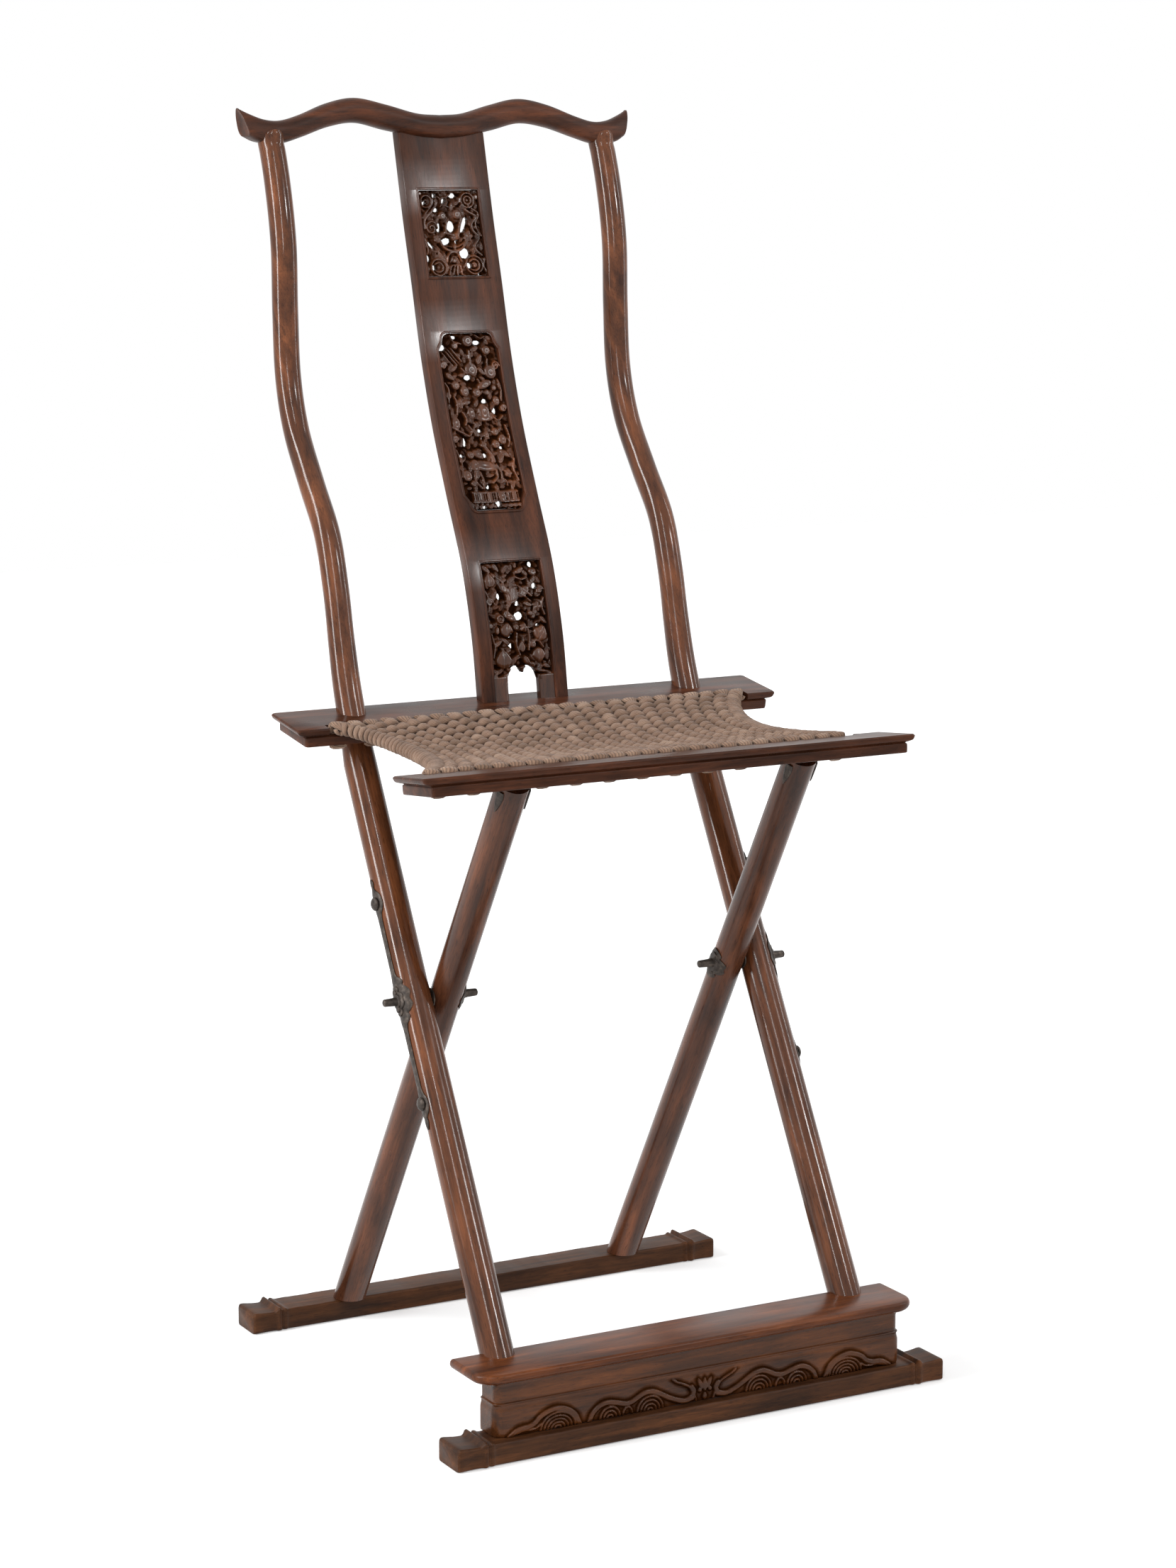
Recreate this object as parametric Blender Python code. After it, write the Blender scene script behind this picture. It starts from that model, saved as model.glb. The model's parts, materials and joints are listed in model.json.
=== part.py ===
"""Folding yoke-back chair with a rope seat and a footrest.

Two wooden frames cross at a pair of iron pins. The back frame holds the front legs, which
run on upwards as the back posts, the crest rail, the splat, the rear seat rail, the front
runner and the footrest. The seat frame holds the rear legs, the front seat rail and the rear
runner. A woven rope seat ties the two seat rails together and stops the frames from opening
any further. Metres, +Z up, the sitter faces -Y, and X = 0 is the plane of symmetry.
"""

import math

import bpy
import bmesh
from mathutils import Matrix, Vector

# Fits
GAP = 0.0003                    # left between two pieces that touch
PIN_CLEARANCE = 0.0003          # between a pivot pin and its bore, on the radius
OVERRUN = 0.010                 # how far a cutter runs past what it cuts

# The crossing of the two frames, measured from the front runner's front face and the floor
PIVOT_Y = 0.2143
PIVOT_Z = 0.3491
FRONT_LEG_RAKE_DEG = 29.33      # the front legs lean back as they rise
REAR_LEG_RAKE_DEG = 31.19       # the rear legs lean forward as they rise

# Front legs and back posts, one long member on each side
FRONT_LEG_X = 0.1730            # at the crossing
FRONT_LEG_SPLAY_DEG = 0.22      # they stand a little wider at the floor
FRONT_LEG_RADIUS = 0.0147
POST_RADIUS = 0.0118
POST_SETBACK = 0.1604           # from the post's place on the seat to its place in the crest
POST_FOOT_AHEAD = 0.0052        # the curve starts this far ahead of the straight leg's line
LEG_SIDES = 20

# Rear legs
REAR_LEG_X = 0.1432
REAR_LEG_SPLAY_DEG = 0.55       # they stand a little wider at the floor
REAR_LEG_RADIUS = 0.01445
TENON_SHARE = 0.5               # a round tenon's radius, as a share of its member's radius
TENON_LENGTH = 0.0095

# Seat rails
FRONT_RAIL_HALF_LENGTH = 0.2400
REAR_RAIL_HALF_LENGTH = 0.2430
RAIL_WIDTH = 0.0606
RAIL_THICKNESS = 0.0160
RAIL_SIDE_MOULD = 0.0026        # depth of the moulding along the rail's sides
RAIL_END_MOULD = 0.0090         # depth of the moulding across its ends
RAIL_CORNER_RADIUS = 0.0030
FRONT_RAIL_TOP = 0.5697         # height of the middle of its top face
FRONT_RAIL_TILT_DEG = -6.4      # its front edge is the higher one
FRONT_RAIL_AHEAD = 0.0030       # its middle stands this far ahead of the rear legs' tops
REAR_RAIL_TOP = 0.5829
REAR_RAIL_TILT_DEG = 7.8        # its rear edge is the higher one
POST_TO_RAIL_BACK = 0.0156      # from the posts' axes to the rail's rear edge
REBATE_HALF_LENGTH = 0.2130     # the sunk ledge for the rope, along each rail's inner edge
REBATE_WIDTH = 0.0120
REBATE_DEPTH = 0.0065

# Runners
REAR_RUNNER_HALF_LENGTH = 0.2465
RUNNER_DEPTH = 0.0370
RUNNER_HEIGHT = 0.0193
RUNNER_CORNER_RADIUS = 0.0024
RUNNER_END_LENGTH = 0.0350      # the shaped block and the beads at each end
RUNNER_END_SWELL = 0.0020       # how far the beads and the block swell past the bar
REAR_RUNNER_BEHIND = 0.0070     # its front face stands this far ahead of the rear legs' axes

# Footrest, a moulded box on the front runner with a board on top
BOARD_FRONT = 0.0045
BOARD_BACK = 0.0660
BOARD_TOP = 0.0754
BOARD_THICKNESS = 0.0085
BOARD_FRONT_CORNER_RADIUS = 0.0210
BOARD_BACK_CORNER_RADIUS = 0.0020
BOARD_EDGE_INSET = 0.0030
BOX_BESIDE_LEG = 0.0071         # from a leg's outer side to the inside of the box's end
BOX_FRONT = 0.0095
BOX_WALL = 0.0070
BOX_WAIST_INSET = 0.0016
BOX_BEAD_SWELL = 0.0008
BOARD_PAST_BOX = 0.0150         # how far the board reaches past the box's ends
RUNNER_PAST_BOX = 0.0394        # the same for the front runner

# Crest rail
CREST_HALF_LENGTH = 0.2005
CREST_HEIGHT = 0.0412           # from its underside over the posts to the top of its humps
CREST_DEPTH = 0.0250
CREST_UNDERSIDE = 0.4985        # over the rear seat rail's top, at the posts
CREST_BOW = 0.0065              # how far humps and tips stand behind the posts
CREST_END_RAKE = 0.0085         # the end faces lean in by this much from top to bottom
POST_TONGUE_SHARE = 0.31        # how far up its height the posts' ends lap over its front
CREST_HOUSING = 0.0060          # how deep the splat runs up into it
CREST_SIDES = 14

# Splat
SPLAT_WIDTH = 0.0880
SPLAT_THICKNESS = 0.0134
SPLAT_AHEAD = 0.0075            # its front face stands this far ahead of the posts' axes at the seat
SPLAT_SETBACK = 0.1636          # how far its front face leans back over its height
SPLAT_HOUSING = 0.0050          # how deep its feet run down into the rear seat rail
SPLAT_STEPS = 26
PANEL_THICKNESS = 0.0080
PANEL_SUNK = 0.0026             # the carved panels lie this far behind the splat's face
PANEL_WIDTH = 0.0610
PANEL_INDENT = 0.0098           # size of the steps in the middle panel's corners
FOOT_WIDTH = 0.0285             # each of the splat's two feet, with its part of the lower panel
LOWER_PANEL_ARCH = 0.0280       # height of the lower panel's cusped edge above the rail

# Pivot pins and the round washers between the legs
PIN_RADIUS = 0.0045
PIN_TIP_RADIUS = 0.0033
PIN_TIP_ROUND = 0.0010
PIN_OUTER_STAND = 0.0155        # how far a pin stands out of the front leg
PIN_INNER_STAND = 0.0160        # how far it stands out of the rear leg's inner face
WASHER_RADIUS = 0.0110
WASHER_THICKNESS = 0.00165
ROUND_SIDES = 16

# Iron plates bent round the legs
STRAP_THICKNESS = 0.0011
STRAP_UPPER_LENGTH = 0.1120     # from the pin up to the strap's tip
STRAP_LOWER_LENGTH = 0.1160     # from the pin down to its other tip
STRAP_HALF_WIDTH = 0.0132       # at the plate round the pin, seen from the side
ROSETTE_THICKNESS = 0.0026
ROSETTE_HALF_LENGTH = 0.0135
ROSETTE_HALF_WIDTH = 0.0085
CLOUD_HALF_LENGTH = 0.0155
CLOUD_HALF_WIDTH = 0.0130
CLOUD_THICKNESS = 0.0022
NAIL_RADIUS = 0.0060
NAIL_HEIGHT = 0.0040
NAIL_UPPER_SHARE = 0.80         # the nails' places, as shares of the strap's two lengths
NAIL_LOWER_SHARE = 0.80
LEAF_LENGTH = 0.0210
LEAF_HALF_WIDTH = 0.0040
LEAF_THICKNESS = 0.0012
LEAF_TURN_DEG = 28.0            # the leaves sit this far round to the front of the legs' sides
PLATE_FACET_DEG = 12.0          # the facets of a plate bent round a leg
PLATE_WRAP_DEG = 72.0           # how far round to each side its blank reaches

# Rope
SEAT_FRONT_HALF_WIDTH = 0.2030  # on the front rail
SEAT_REAR_HALF_WIDTH = 0.2080
SEAT_WAIST = 0.0340             # how far each side is drawn in between the rails
SEAT_SAG = 0.0130
SEAT_THICKNESS = 0.0095
SEAT_LAP = 0.0108               # how far the weave lies on each rail's ledge
SEAT_STEPS_ALONG = 11
SEAT_STEPS_ACROSS = 18
ROPE_RADIUS = 0.0026
ROPE_SIDES = 6
TURN_COUNT = 13                 # turns of rope through a rail, less those that the rear legs bar
TURN_LEG_SHARE = 0.75           # how near a turn may come to a rear leg, as a share of its radius
FRONT_TURN_PITCH = 0.0325
REAR_TURN_PITCH = 0.0335
FRONT_TURNS_SHIFT = -0.0065     # the front row sits this far off the middle
TURN_HALF_SPAN = 0.0065         # from a turn's middle to each of the two holes it comes out of
TURNS_FROM_EDGE = 0.0075        # the row of holes, from each rail's inner edge


# Places worked out from the sizes above

def lean(angle_deg):
    """How far a leaning member moves along Y for each unit of height."""
    return math.tan(math.radians(angle_deg))


def front_leg_y(z):
    return PIVOT_Y + (z - PIVOT_Z) * lean(FRONT_LEG_RAKE_DEG)


def front_leg_x(z):
    return FRONT_LEG_X + (PIVOT_Z - z) * lean(FRONT_LEG_SPLAY_DEG)


def rear_leg_y(z):
    return PIVOT_Y - (z - PIVOT_Z) * lean(REAR_LEG_RAKE_DEG)


def rear_leg_x(z):
    return REAR_LEG_X + (PIVOT_Z - z) * lean(REAR_LEG_SPLAY_DEG)


BOX_HALF_LENGTH = FRONT_LEG_X + FRONT_LEG_RADIUS + BOX_BESIDE_LEG + BOX_WALL
BOARD_HALF_LENGTH = BOX_HALF_LENGTH + BOARD_PAST_BOX
FRONT_RUNNER_HALF_LENGTH = BOX_HALF_LENGTH + RUNNER_PAST_BOX
REAR_RUNNER_FRONT = rear_leg_y(RUNNER_HEIGHT) - REAR_RUNNER_BEHIND
POST_FOOT_Z = REAR_RAIL_TOP
POST_FOOT_Y = front_leg_y(POST_FOOT_Z) - POST_FOOT_AHEAD
POST_TOP_Z = REAR_RAIL_TOP + CREST_UNDERSIDE
POST_TOP_Y = POST_FOOT_Y + POST_SETBACK
REAR_RAIL_Y = POST_FOOT_Y + POST_TO_RAIL_BACK - RAIL_WIDTH / 2
FRONT_RAIL_Y = rear_leg_y(FRONT_RAIL_TOP - RAIL_THICKNESS) - FRONT_RAIL_AHEAD
CREST_Y = POST_TOP_Y
OVERALL_DEPTH = CREST_Y + CREST_BOW + CREST_DEPTH / 2 + RUNNER_END_SWELL
CREST_BASE_Z = POST_TOP_Z
SPLAT_FOOT_Y = POST_FOOT_Y - SPLAT_AHEAD
SPLAT_HEIGHT = CREST_UNDERSIDE + CREST_HEIGHT * 0.10


# Shapes

def smooth_curve(points, steps):
    """Points along a smooth curve through the given ones, with equal steps in their parameter."""
    result = []
    spans = len(points) - 1
    for step in range(steps + 1):
        place = min(step * spans / steps, spans - 1e-9)
        i = int(place)
        t = place - i
        p1 = points[i]
        p2 = points[i + 1]
        p0 = points[i - 1] if i > 0 else p1 * 2 - p2
        p3 = points[i + 2] if i + 2 <= spans else p2 * 2 - p1
        result.append(
            (p1 * 2 + (p2 - p0) * t + (p0 * 2 - p1 * 5 + p2 * 4 - p3) * t ** 2
             + (p1 * 3 - p0 - p2 * 3 + p3) * t ** 3) / 2
        )
    return result


def read_table(table, place):
    """A value read from rows of (place, value), joined by straight lines."""
    for (a, low), (b, high) in zip(table, table[1:]):
        if place <= b:
            return low + (high - low) * max(0.0, (place - a) / (b - a))
    return table[-1][1]


def ring_mesh(rings, closed=False):
    """A solid skinned over rings of points, with flat caps unless the rings close on themselves."""
    shape = bmesh.new()
    rows = [[shape.verts.new(point) for point in ring] for ring in rings]
    pairs = list(zip(rows, rows[1:]))
    if closed:
        pairs.append((rows[-1], rows[0]))
    for near, far in pairs:
        for i in range(len(near)):
            j = (i + 1) % len(near)
            shape.faces.new((near[i], near[j], far[j], far[i]))
    if not closed:
        shape.faces.new(rows[0][::-1])
        shape.faces.new(rows[-1])
    bmesh.ops.recalc_face_normals(shape, faces=shape.faces)
    mesh = bpy.data.meshes.new("solid")
    shape.to_mesh(mesh)
    shape.free()
    return mesh


def merged(meshes):
    """Several closed solids kept side by side in one mesh."""
    shape = bmesh.new()
    for mesh in meshes:
        shape.from_mesh(mesh)
        bpy.data.meshes.remove(mesh)
    mesh = bpy.data.meshes.new("group")
    shape.to_mesh(mesh)
    shape.free()
    return mesh


def rounded_rectangle(half_x, half_y, radius, steps=2):
    """Corner-rounded outline round the origin, anticlockwise, as (x, y) pairs."""
    points = []
    for corner in range(4):
        middle_x = (half_x - radius) * (1 if corner in (0, 3) else -1)
        middle_y = (half_y - radius) * (1 if corner in (0, 1) else -1)
        for step in range(steps + 1):
            angle = math.radians(90 * (corner + step / steps))
            points.append((middle_x + radius * math.cos(angle), middle_y + radius * math.sin(angle)))
    return points


def tube_rings(path, radii, sides, level=Vector((1, 0, 0))):
    """Round rings across a path that bends in the plane square to the level direction."""
    rings = []
    for i, centre in enumerate(path):
        before = (centre - path[i - 1]).normalized() if i > 0 else Vector()
        after = (path[i + 1] - centre).normalized() if i + 1 < len(path) else Vector()
        along = (before + after).normalized()
        side = (level - along * level.dot(along)).normalized()
        up = along.cross(side)
        ring = []
        for k in range(sides):
            turn = 2 * math.pi * (k + 0.5) / sides
            ring.append(centre + side * math.cos(turn) * radii[i] + up * math.sin(turn) * radii[i])
        rings.append(ring)
    return rings


def turned_rings(start, end, profile, sides):
    """Rings of a turned shape between two points; profile holds (share of the way, radius)."""
    along = (end - start).normalized()
    helper = Vector((1, 0, 0)) if abs(along.x) < 0.9 else Vector((0, 0, 1))
    side = along.cross(helper).normalized()
    up = side.cross(along)
    rings = []
    for share, radius in profile:
        centre = start.lerp(end, share)
        rings.append([
            centre + (side * math.cos(2 * math.pi * k / sides) + up * math.sin(2 * math.pi * k / sides)) * radius
            for k in range(sides)
        ])
    return rings


def cylinder(start, end, radius, sides=ROUND_SIDES):
    return ring_mesh(turned_rings(start, end, [(0, radius), (1, radius)], sides))


def box_mesh(low, high):
    rings = [
        [Vector((x, low.y, low.z)), Vector((x, high.y, low.z)), Vector((x, high.y, high.z)), Vector((x, low.y, high.z))]
        for x in (low.x, high.x)
    ]
    return ring_mesh(rings)


def mirrored(mesh):
    """The same solid on the other side of X = 0."""
    copy = mesh.copy()
    copy.transform(Matrix.Scale(-1, 4, Vector((1, 0, 0))))
    copy.flip_normals()
    return copy


# Objects and materials

chair = bpy.data.objects
for thing in list(chair):
    chair.remove(thing, do_unlink=True)


def finish(name, colour, roughness, metallic):
    material = bpy.data.materials.new(name)
    material.use_nodes = True
    surface = material.node_tree.nodes["Principled BSDF"]
    surface.inputs["Base Color"].default_value = (*colour, 1.0)
    surface.inputs["Roughness"].default_value = roughness
    surface.inputs["Metallic"].default_value = metallic
    material.diffuse_color = (*colour, 1.0)
    return material


DARK_WOOD = (0.070, 0.024, 0.013)
WARM_WOOD = (0.105, 0.042, 0.018)
IRON = (0.085, 0.080, 0.074)
ROPE = (0.200, 0.135, 0.088)


def empty(name, place, parent=None):
    thing = bpy.data.objects.new(name, None)
    bpy.context.collection.objects.link(thing)
    thing.location = place
    thing.parent = parent
    return thing


# The chair's origin is on the floor under the middle of its depth
back_frame = empty("back_frame", Vector((0, RUNNER_END_SWELL - OVERALL_DEPTH / 2, 0)))
seat_frame = empty("seat_frame", Vector((0, PIVOT_Y, PIVOT_Z)), back_frame)


def loose(mesh, name="cutter"):
    """An object that only cuts or joins; it is removed once it has done so."""
    thing = bpy.data.objects.new(name, mesh)
    bpy.context.collection.objects.link(thing)
    thing.hide_render = True
    thing.display_type = "WIRE"
    return thing


def shaped(mesh, tools):
    """The mesh after each (operation, tool mesh) in turn."""
    work = loose(mesh, "work")
    for operation, tool_mesh in tools:
        tool = loose(tool_mesh)
        step = work.modifiers.new("shape", "BOOLEAN")
        step.operation = operation
        step.solver = "EXACT"
        step.object = tool
        bpy.context.view_layer.update()
        result = bpy.data.meshes.new_from_object(work.evaluated_get(bpy.context.evaluated_depsgraph_get()))
        work.modifiers.clear()
        work.data = result
        bpy.data.objects.remove(tool, do_unlink=True)
    result = work.data
    bpy.data.objects.remove(work, do_unlink=True)
    return result


def piece(name, mesh, carrier, colour, roughness, metallic=0.0):
    """A named sub-part whose origin is its carrier's, with a material of its own."""
    tidy = bmesh.new()
    tidy.from_mesh(mesh)
    bmesh.ops.dissolve_degenerate(tidy, dist=GAP / 30, edges=tidy.edges)
    tidy.to_mesh(mesh)
    tidy.free()
    if carrier is seat_frame:
        mesh.transform(Matrix.Translation((0, -PIVOT_Y, -PIVOT_Z)))
    mesh.name = name
    mesh.shade_smooth()
    mesh.set_sharp_from_angle(angle=math.radians(35))
    mesh.materials.clear()
    mesh.materials.append(finish(name, colour, roughness, metallic))
    thing = bpy.data.objects.new(name, mesh)
    bpy.context.collection.objects.link(thing)
    thing.parent = carrier
    return thing


def on_both_sides(name, mesh, carrier, colour, roughness, metallic=0.0):
    """The right-hand piece as given, and its mirror image on the left."""
    left = mirrored(mesh)
    piece("right_" + name, mesh, carrier, colour, roughness, metallic)
    piece("left_" + name, left, carrier, colour, roughness, metallic)


# Crest rail: its outline in front view, as shares of its half length and of its height
CREST_TOP_SHARES = [
    (0.00, 0.63), (0.12, 0.67), (0.27, 0.86), (0.42, 1.00), (0.56, 0.88), (0.70, 0.63),
    (0.80, 0.50), (0.88, 0.52), (0.95, 0.64), (1.00, 0.76),
]
CREST_UNDER_SHARES = [
    (0.00, 0.10), (0.12, 0.15), (0.27, 0.29), (0.42, 0.45), (0.56, 0.36), (0.70, 0.14),
    (0.80, 0.00), (0.88, 0.00), (0.95, 0.04), (1.00, 0.14),
]
CREST_BOW_SHARES = [
    (0.00, 0.25), (0.12, 0.35), (0.27, 0.75), (0.42, 1.00), (0.56, 0.75), (0.70, 0.25),
    (0.80, 0.20), (0.88, 0.28), (0.95, 0.60), (1.00, 0.95),
]
CREST_DEPTH_SHARES = [
    (0.00, 1.06), (0.12, 1.05), (0.27, 1.00), (0.42, 0.96), (0.56, 0.94), (0.70, 0.89),
    (0.80, 0.84), (0.88, 0.86), (0.95, 0.98), (1.00, 1.06),
]


def crest_mesh(grow=0.0):
    """The crest rail, skinned over oval sections; grow makes the larger one that cuts seats for it."""
    half = [
        [Vector((share, row, 0)) for share, row in table]
        for table in (CREST_TOP_SHARES, CREST_UNDER_SHARES, CREST_BOW_SHARES, CREST_DEPTH_SHARES)
    ]
    tops, unders, bows, depths = [smooth_curve(points, 18) for points in half]
    rings = []
    for side in (-1, 1):
        order = range(len(tops) - 1, 0, -1) if side < 0 else range(len(tops))
        for i in order:
            top = CREST_BASE_Z + tops[i].y * CREST_HEIGHT + grow
            under = CREST_BASE_Z + unders[i].y * CREST_HEIGHT - grow
            half_height = (top - under) / 2
            middle = (top + under) / 2
            half_depth = CREST_DEPTH * depths[i].y / 2 + grow
            x = CREST_HALF_LENGTH * tops[i].x
            end_share = max(0.0, (tops[i].x - 0.84) / 0.16)
            ring = []
            for k in range(CREST_SIDES):
                turn = 2 * math.pi * (k + 0.5) / CREST_SIDES
                across = math.copysign(abs(math.cos(turn)) ** 0.85, math.cos(turn))
                rise = math.copysign(abs(math.sin(turn)) ** 0.85, math.sin(turn))
                lean_in = CREST_END_RAKE * end_share * (1 - rise) / 2
                ring.append(Vector((
                    side * (x - lean_in + grow * end_share),
                    CREST_Y + CREST_BOW * bows[i].y + half_depth * across,
                    middle + half_height * rise,
                )))
            rings.append(ring)
    return ring_mesh(rings)


# Front legs: the S-curve of the posts, as shares of the height and of the setback
POST_CURVE_SHARES = [
    (0.035, 0.036), (0.120, 0.112), (0.217, 0.184), (0.312, 0.294), (0.398, 0.497),
    (0.489, 0.696), (0.585, 0.800), (0.700, 0.829), (0.820, 0.842), (0.929, 0.917), (1.030, 1.030),
]


def front_leg_path():
    """Centre line of a front leg and its post, from below the floor to inside the crest."""
    straight_top = PIVOT_Z + (REAR_RAIL_TOP - PIVOT_Z) * 0.82
    points = [
        Vector((front_leg_x(z), front_leg_y(z), z))
        for z in (-OVERRUN, straight_top)
    ]
    radii = [FRONT_LEG_RADIUS, FRONT_LEG_RADIUS]
    bend = [points[-1]]
    for height, setback in POST_CURVE_SHARES:
        z = POST_FOOT_Z + height * (POST_TOP_Z - POST_FOOT_Z)
        bend.append(Vector((front_leg_x(z), POST_FOOT_Y + setback * POST_SETBACK, z)))
    curve = smooth_curve(bend, 26)
    for point in curve[1:]:
        taper = min(1.0, max(0.0, (point.z - straight_top) / (REAR_RAIL_TOP - RAIL_THICKNESS - straight_top)))
        points.append(point)
        radii.append(FRONT_LEG_RADIUS + (POST_RADIUS - FRONT_LEG_RADIUS) * taper)
    return points, radii


def front_leg_solid(grow=0.0):
    points, radii = front_leg_path()
    return ring_mesh(tube_rings(points, [radius + grow for radius in radii], LEG_SIDES))


def rear_leg_ends():
    low = Vector((rear_leg_x(-OVERRUN), rear_leg_y(-OVERRUN), -OVERRUN))
    high_z = FRONT_RAIL_TOP + OVERRUN
    return low, Vector((rear_leg_x(high_z), rear_leg_y(high_z), high_z))


def rear_leg_solid(grow=0.0):
    low, high = rear_leg_ends()
    return ring_mesh(tube_rings([low, high], [REAR_LEG_RADIUS + grow] * 2, LEG_SIDES))


def tenon(start, direction, radius, grow=0.0):
    """A round tenon that starts inside its member and stands TENON_LENGTH past the shoulder."""
    direction = direction.normalized()
    return cylinder(start - direction * TENON_LENGTH, start + direction * (TENON_LENGTH + grow), radius + grow)


def runner_box(front, grow):
    return box_mesh(
        Vector((-REAR_RUNNER_HALF_LENGTH, front - grow, -OVERRUN * 2)),
        Vector((REAR_RUNNER_HALF_LENGTH, front + RUNNER_DEPTH + grow, RUNNER_HEIGHT + grow)),
    )


FLOOR_CUT_LOW = Vector((-1, -1, -1)) * (OVERALL_DEPTH * 2)
FLOOR_CUT_HIGH = Vector((OVERALL_DEPTH * 2, OVERALL_DEPTH * 2, GAP))
FRONT_TENON_DOWN = Vector((lean(FRONT_LEG_SPLAY_DEG), -lean(FRONT_LEG_RAKE_DEG), -1))
REAR_TENON_DOWN = Vector((lean(REAR_LEG_SPLAY_DEG), lean(REAR_LEG_RAKE_DEG), -1))
FRONT_FOOT = Vector((front_leg_x(RUNNER_HEIGHT), front_leg_y(RUNNER_HEIGHT), RUNNER_HEIGHT))
REAR_FOOT = Vector((rear_leg_x(RUNNER_HEIGHT), rear_leg_y(RUNNER_HEIGHT), RUNNER_HEIGHT))
POST_HEAD = Vector((front_leg_x(POST_TOP_Z), POST_TOP_Y, POST_TOP_Z))
REAR_HEAD_Z = FRONT_RAIL_TOP - RAIL_THICKNESS
REAR_HEAD = Vector((rear_leg_x(REAR_HEAD_Z), rear_leg_y(REAR_HEAD_Z), REAR_HEAD_Z))
PIN_AXIS = Vector((1, 0, 0))
PIN_CENTRE = Vector((0, PIVOT_Y, PIVOT_Z))
FRONT_LEG_INSIDE = FRONT_LEG_X - FRONT_LEG_RADIUS
REAR_LEG_OUTSIDE = REAR_LEG_X + REAR_LEG_RADIUS
WASHER_MIDDLE = (FRONT_LEG_INSIDE + REAR_LEG_OUTSIDE) / 2


def pin_bore():
    reach = FRONT_LEG_X + FRONT_LEG_RADIUS * 2
    return cylinder(PIN_CENTRE, PIN_CENTRE + PIN_AXIS * reach, PIN_RADIUS + PIN_CLEARANCE)


def washer_seat(inwards):
    """The shallow round seat for the washer, cut in the face of a leg."""
    start = WASHER_MIDDLE + inwards * (WASHER_THICKNESS / 2 + GAP)
    low, high = sorted((start - inwards * OVERRUN, start))
    return cylinder(PIN_CENTRE + PIN_AXIS * low, PIN_CENTRE + PIN_AXIS * high, WASHER_RADIUS + GAP * 2)


def post_end_cut():
    """What is cut off a post's end, to leave a round-topped tongue that laps over the crest's front."""
    half = POST_RADIUS * 1.1
    far = POST_RADIUS * 3
    rise = CREST_HEIGHT * POST_TONGUE_SHARE
    outline = [(-far, 0), (-half, 0)]
    for k in range(1, 10):
        turn = math.pi * k / 10
        outline.append((-half * math.cos(turn), rise * math.sin(turn) ** 0.8))
    outline += [(half, 0), (far, 0), (far, far), (-far, far)]
    return ring_mesh([
        [POST_HEAD + Vector((x, y, z)) for x, z in outline]
        for y in (-far, far)
    ])


# Seat rails: the moulding as (share of the thickness, share of side depth, share of end depth)
RAIL_PROFILE_SHARES = [
    (0.00, 0.45, 0.12), (0.05, 0.12, 0.03), (0.12, 0.00, 0.00), (0.30, 0.05, 0.20), (0.38, 0.50, 0.62),
    (0.43, 1.00, 0.92), (0.48, 0.60, 0.95), (0.53, 0.35, 0.88), (0.94, 0.35, 0.92), (1.00, 0.80, 1.00),
]


FRONT_RAIL_PLACE = (
    Matrix.Translation((0, FRONT_RAIL_Y, FRONT_RAIL_TOP)) @ Matrix.Rotation(math.radians(FRONT_RAIL_TILT_DEG), 4, "X")
)
REAR_RAIL_PLACE = (
    Matrix.Translation((0, REAR_RAIL_Y, REAR_RAIL_TOP)) @ Matrix.Rotation(math.radians(REAR_RAIL_TILT_DEG), 4, "X")
)


def rail_mesh(place, half_length, grow=0.0):
    """A seat rail with the moulding carried round all four sides, tilted about its own length."""
    rings = []
    for drop, side, end in RAIL_PROFILE_SHARES:
        outline = rounded_rectangle(
            half_length - RAIL_END_MOULD * end + grow,
            RAIL_WIDTH / 2 - RAIL_SIDE_MOULD * side + grow,
            RAIL_CORNER_RADIUS,
        )
        rise = -drop * RAIL_THICKNESS + (grow if drop == 0 else -grow if drop == 1 else 0)
        rings.append([Vector((x, y, rise)) for x, y in outline])
    mesh = ring_mesh(rings)
    mesh.transform(place)
    return mesh


def front_rail(grow=0.0):
    return rail_mesh(FRONT_RAIL_PLACE, FRONT_RAIL_HALF_LENGTH, grow)


def rear_rail(grow=0.0):
    return rail_mesh(REAR_RAIL_PLACE, REAR_RAIL_HALF_LENGTH, grow)


def rebate(place, inwards):
    """The cutter for the ledge along a rail's inner edge; inwards is 1 if that edge looks to +Y."""
    near, far = sorted((inwards * (RAIL_WIDTH / 2 - REBATE_WIDTH), inwards * (RAIL_WIDTH / 2 + OVERRUN)))
    cutter = box_mesh(
        Vector((-REBATE_HALF_LENGTH, near, -REBATE_DEPTH)), Vector((REBATE_HALF_LENGTH, far, OVERRUN)),
    )
    cutter.transform(place)
    return cutter


# Runners: (share of the end's length, share of the swell sideways, share of the swell upwards)
RUNNER_END_SHARES = [
    (0.00, -0.60, -0.90), (0.04, 0.30, 0.10), (0.12, 0.45, 0.30), (0.26, 0.20, -0.60), (0.44, 0.00, -1.00),
    (0.60, 0.10, -0.50), (0.67, 0.45, 0.50), (0.71, 0.95, 1.20), (0.76, 1.00, 1.30), (0.80, 0.50, 0.50),
    (0.84, 0.05, -0.20), (0.89, 0.45, 0.50), (0.94, 0.45, 0.50), (1.00, 0.00, 0.00),
]


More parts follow.
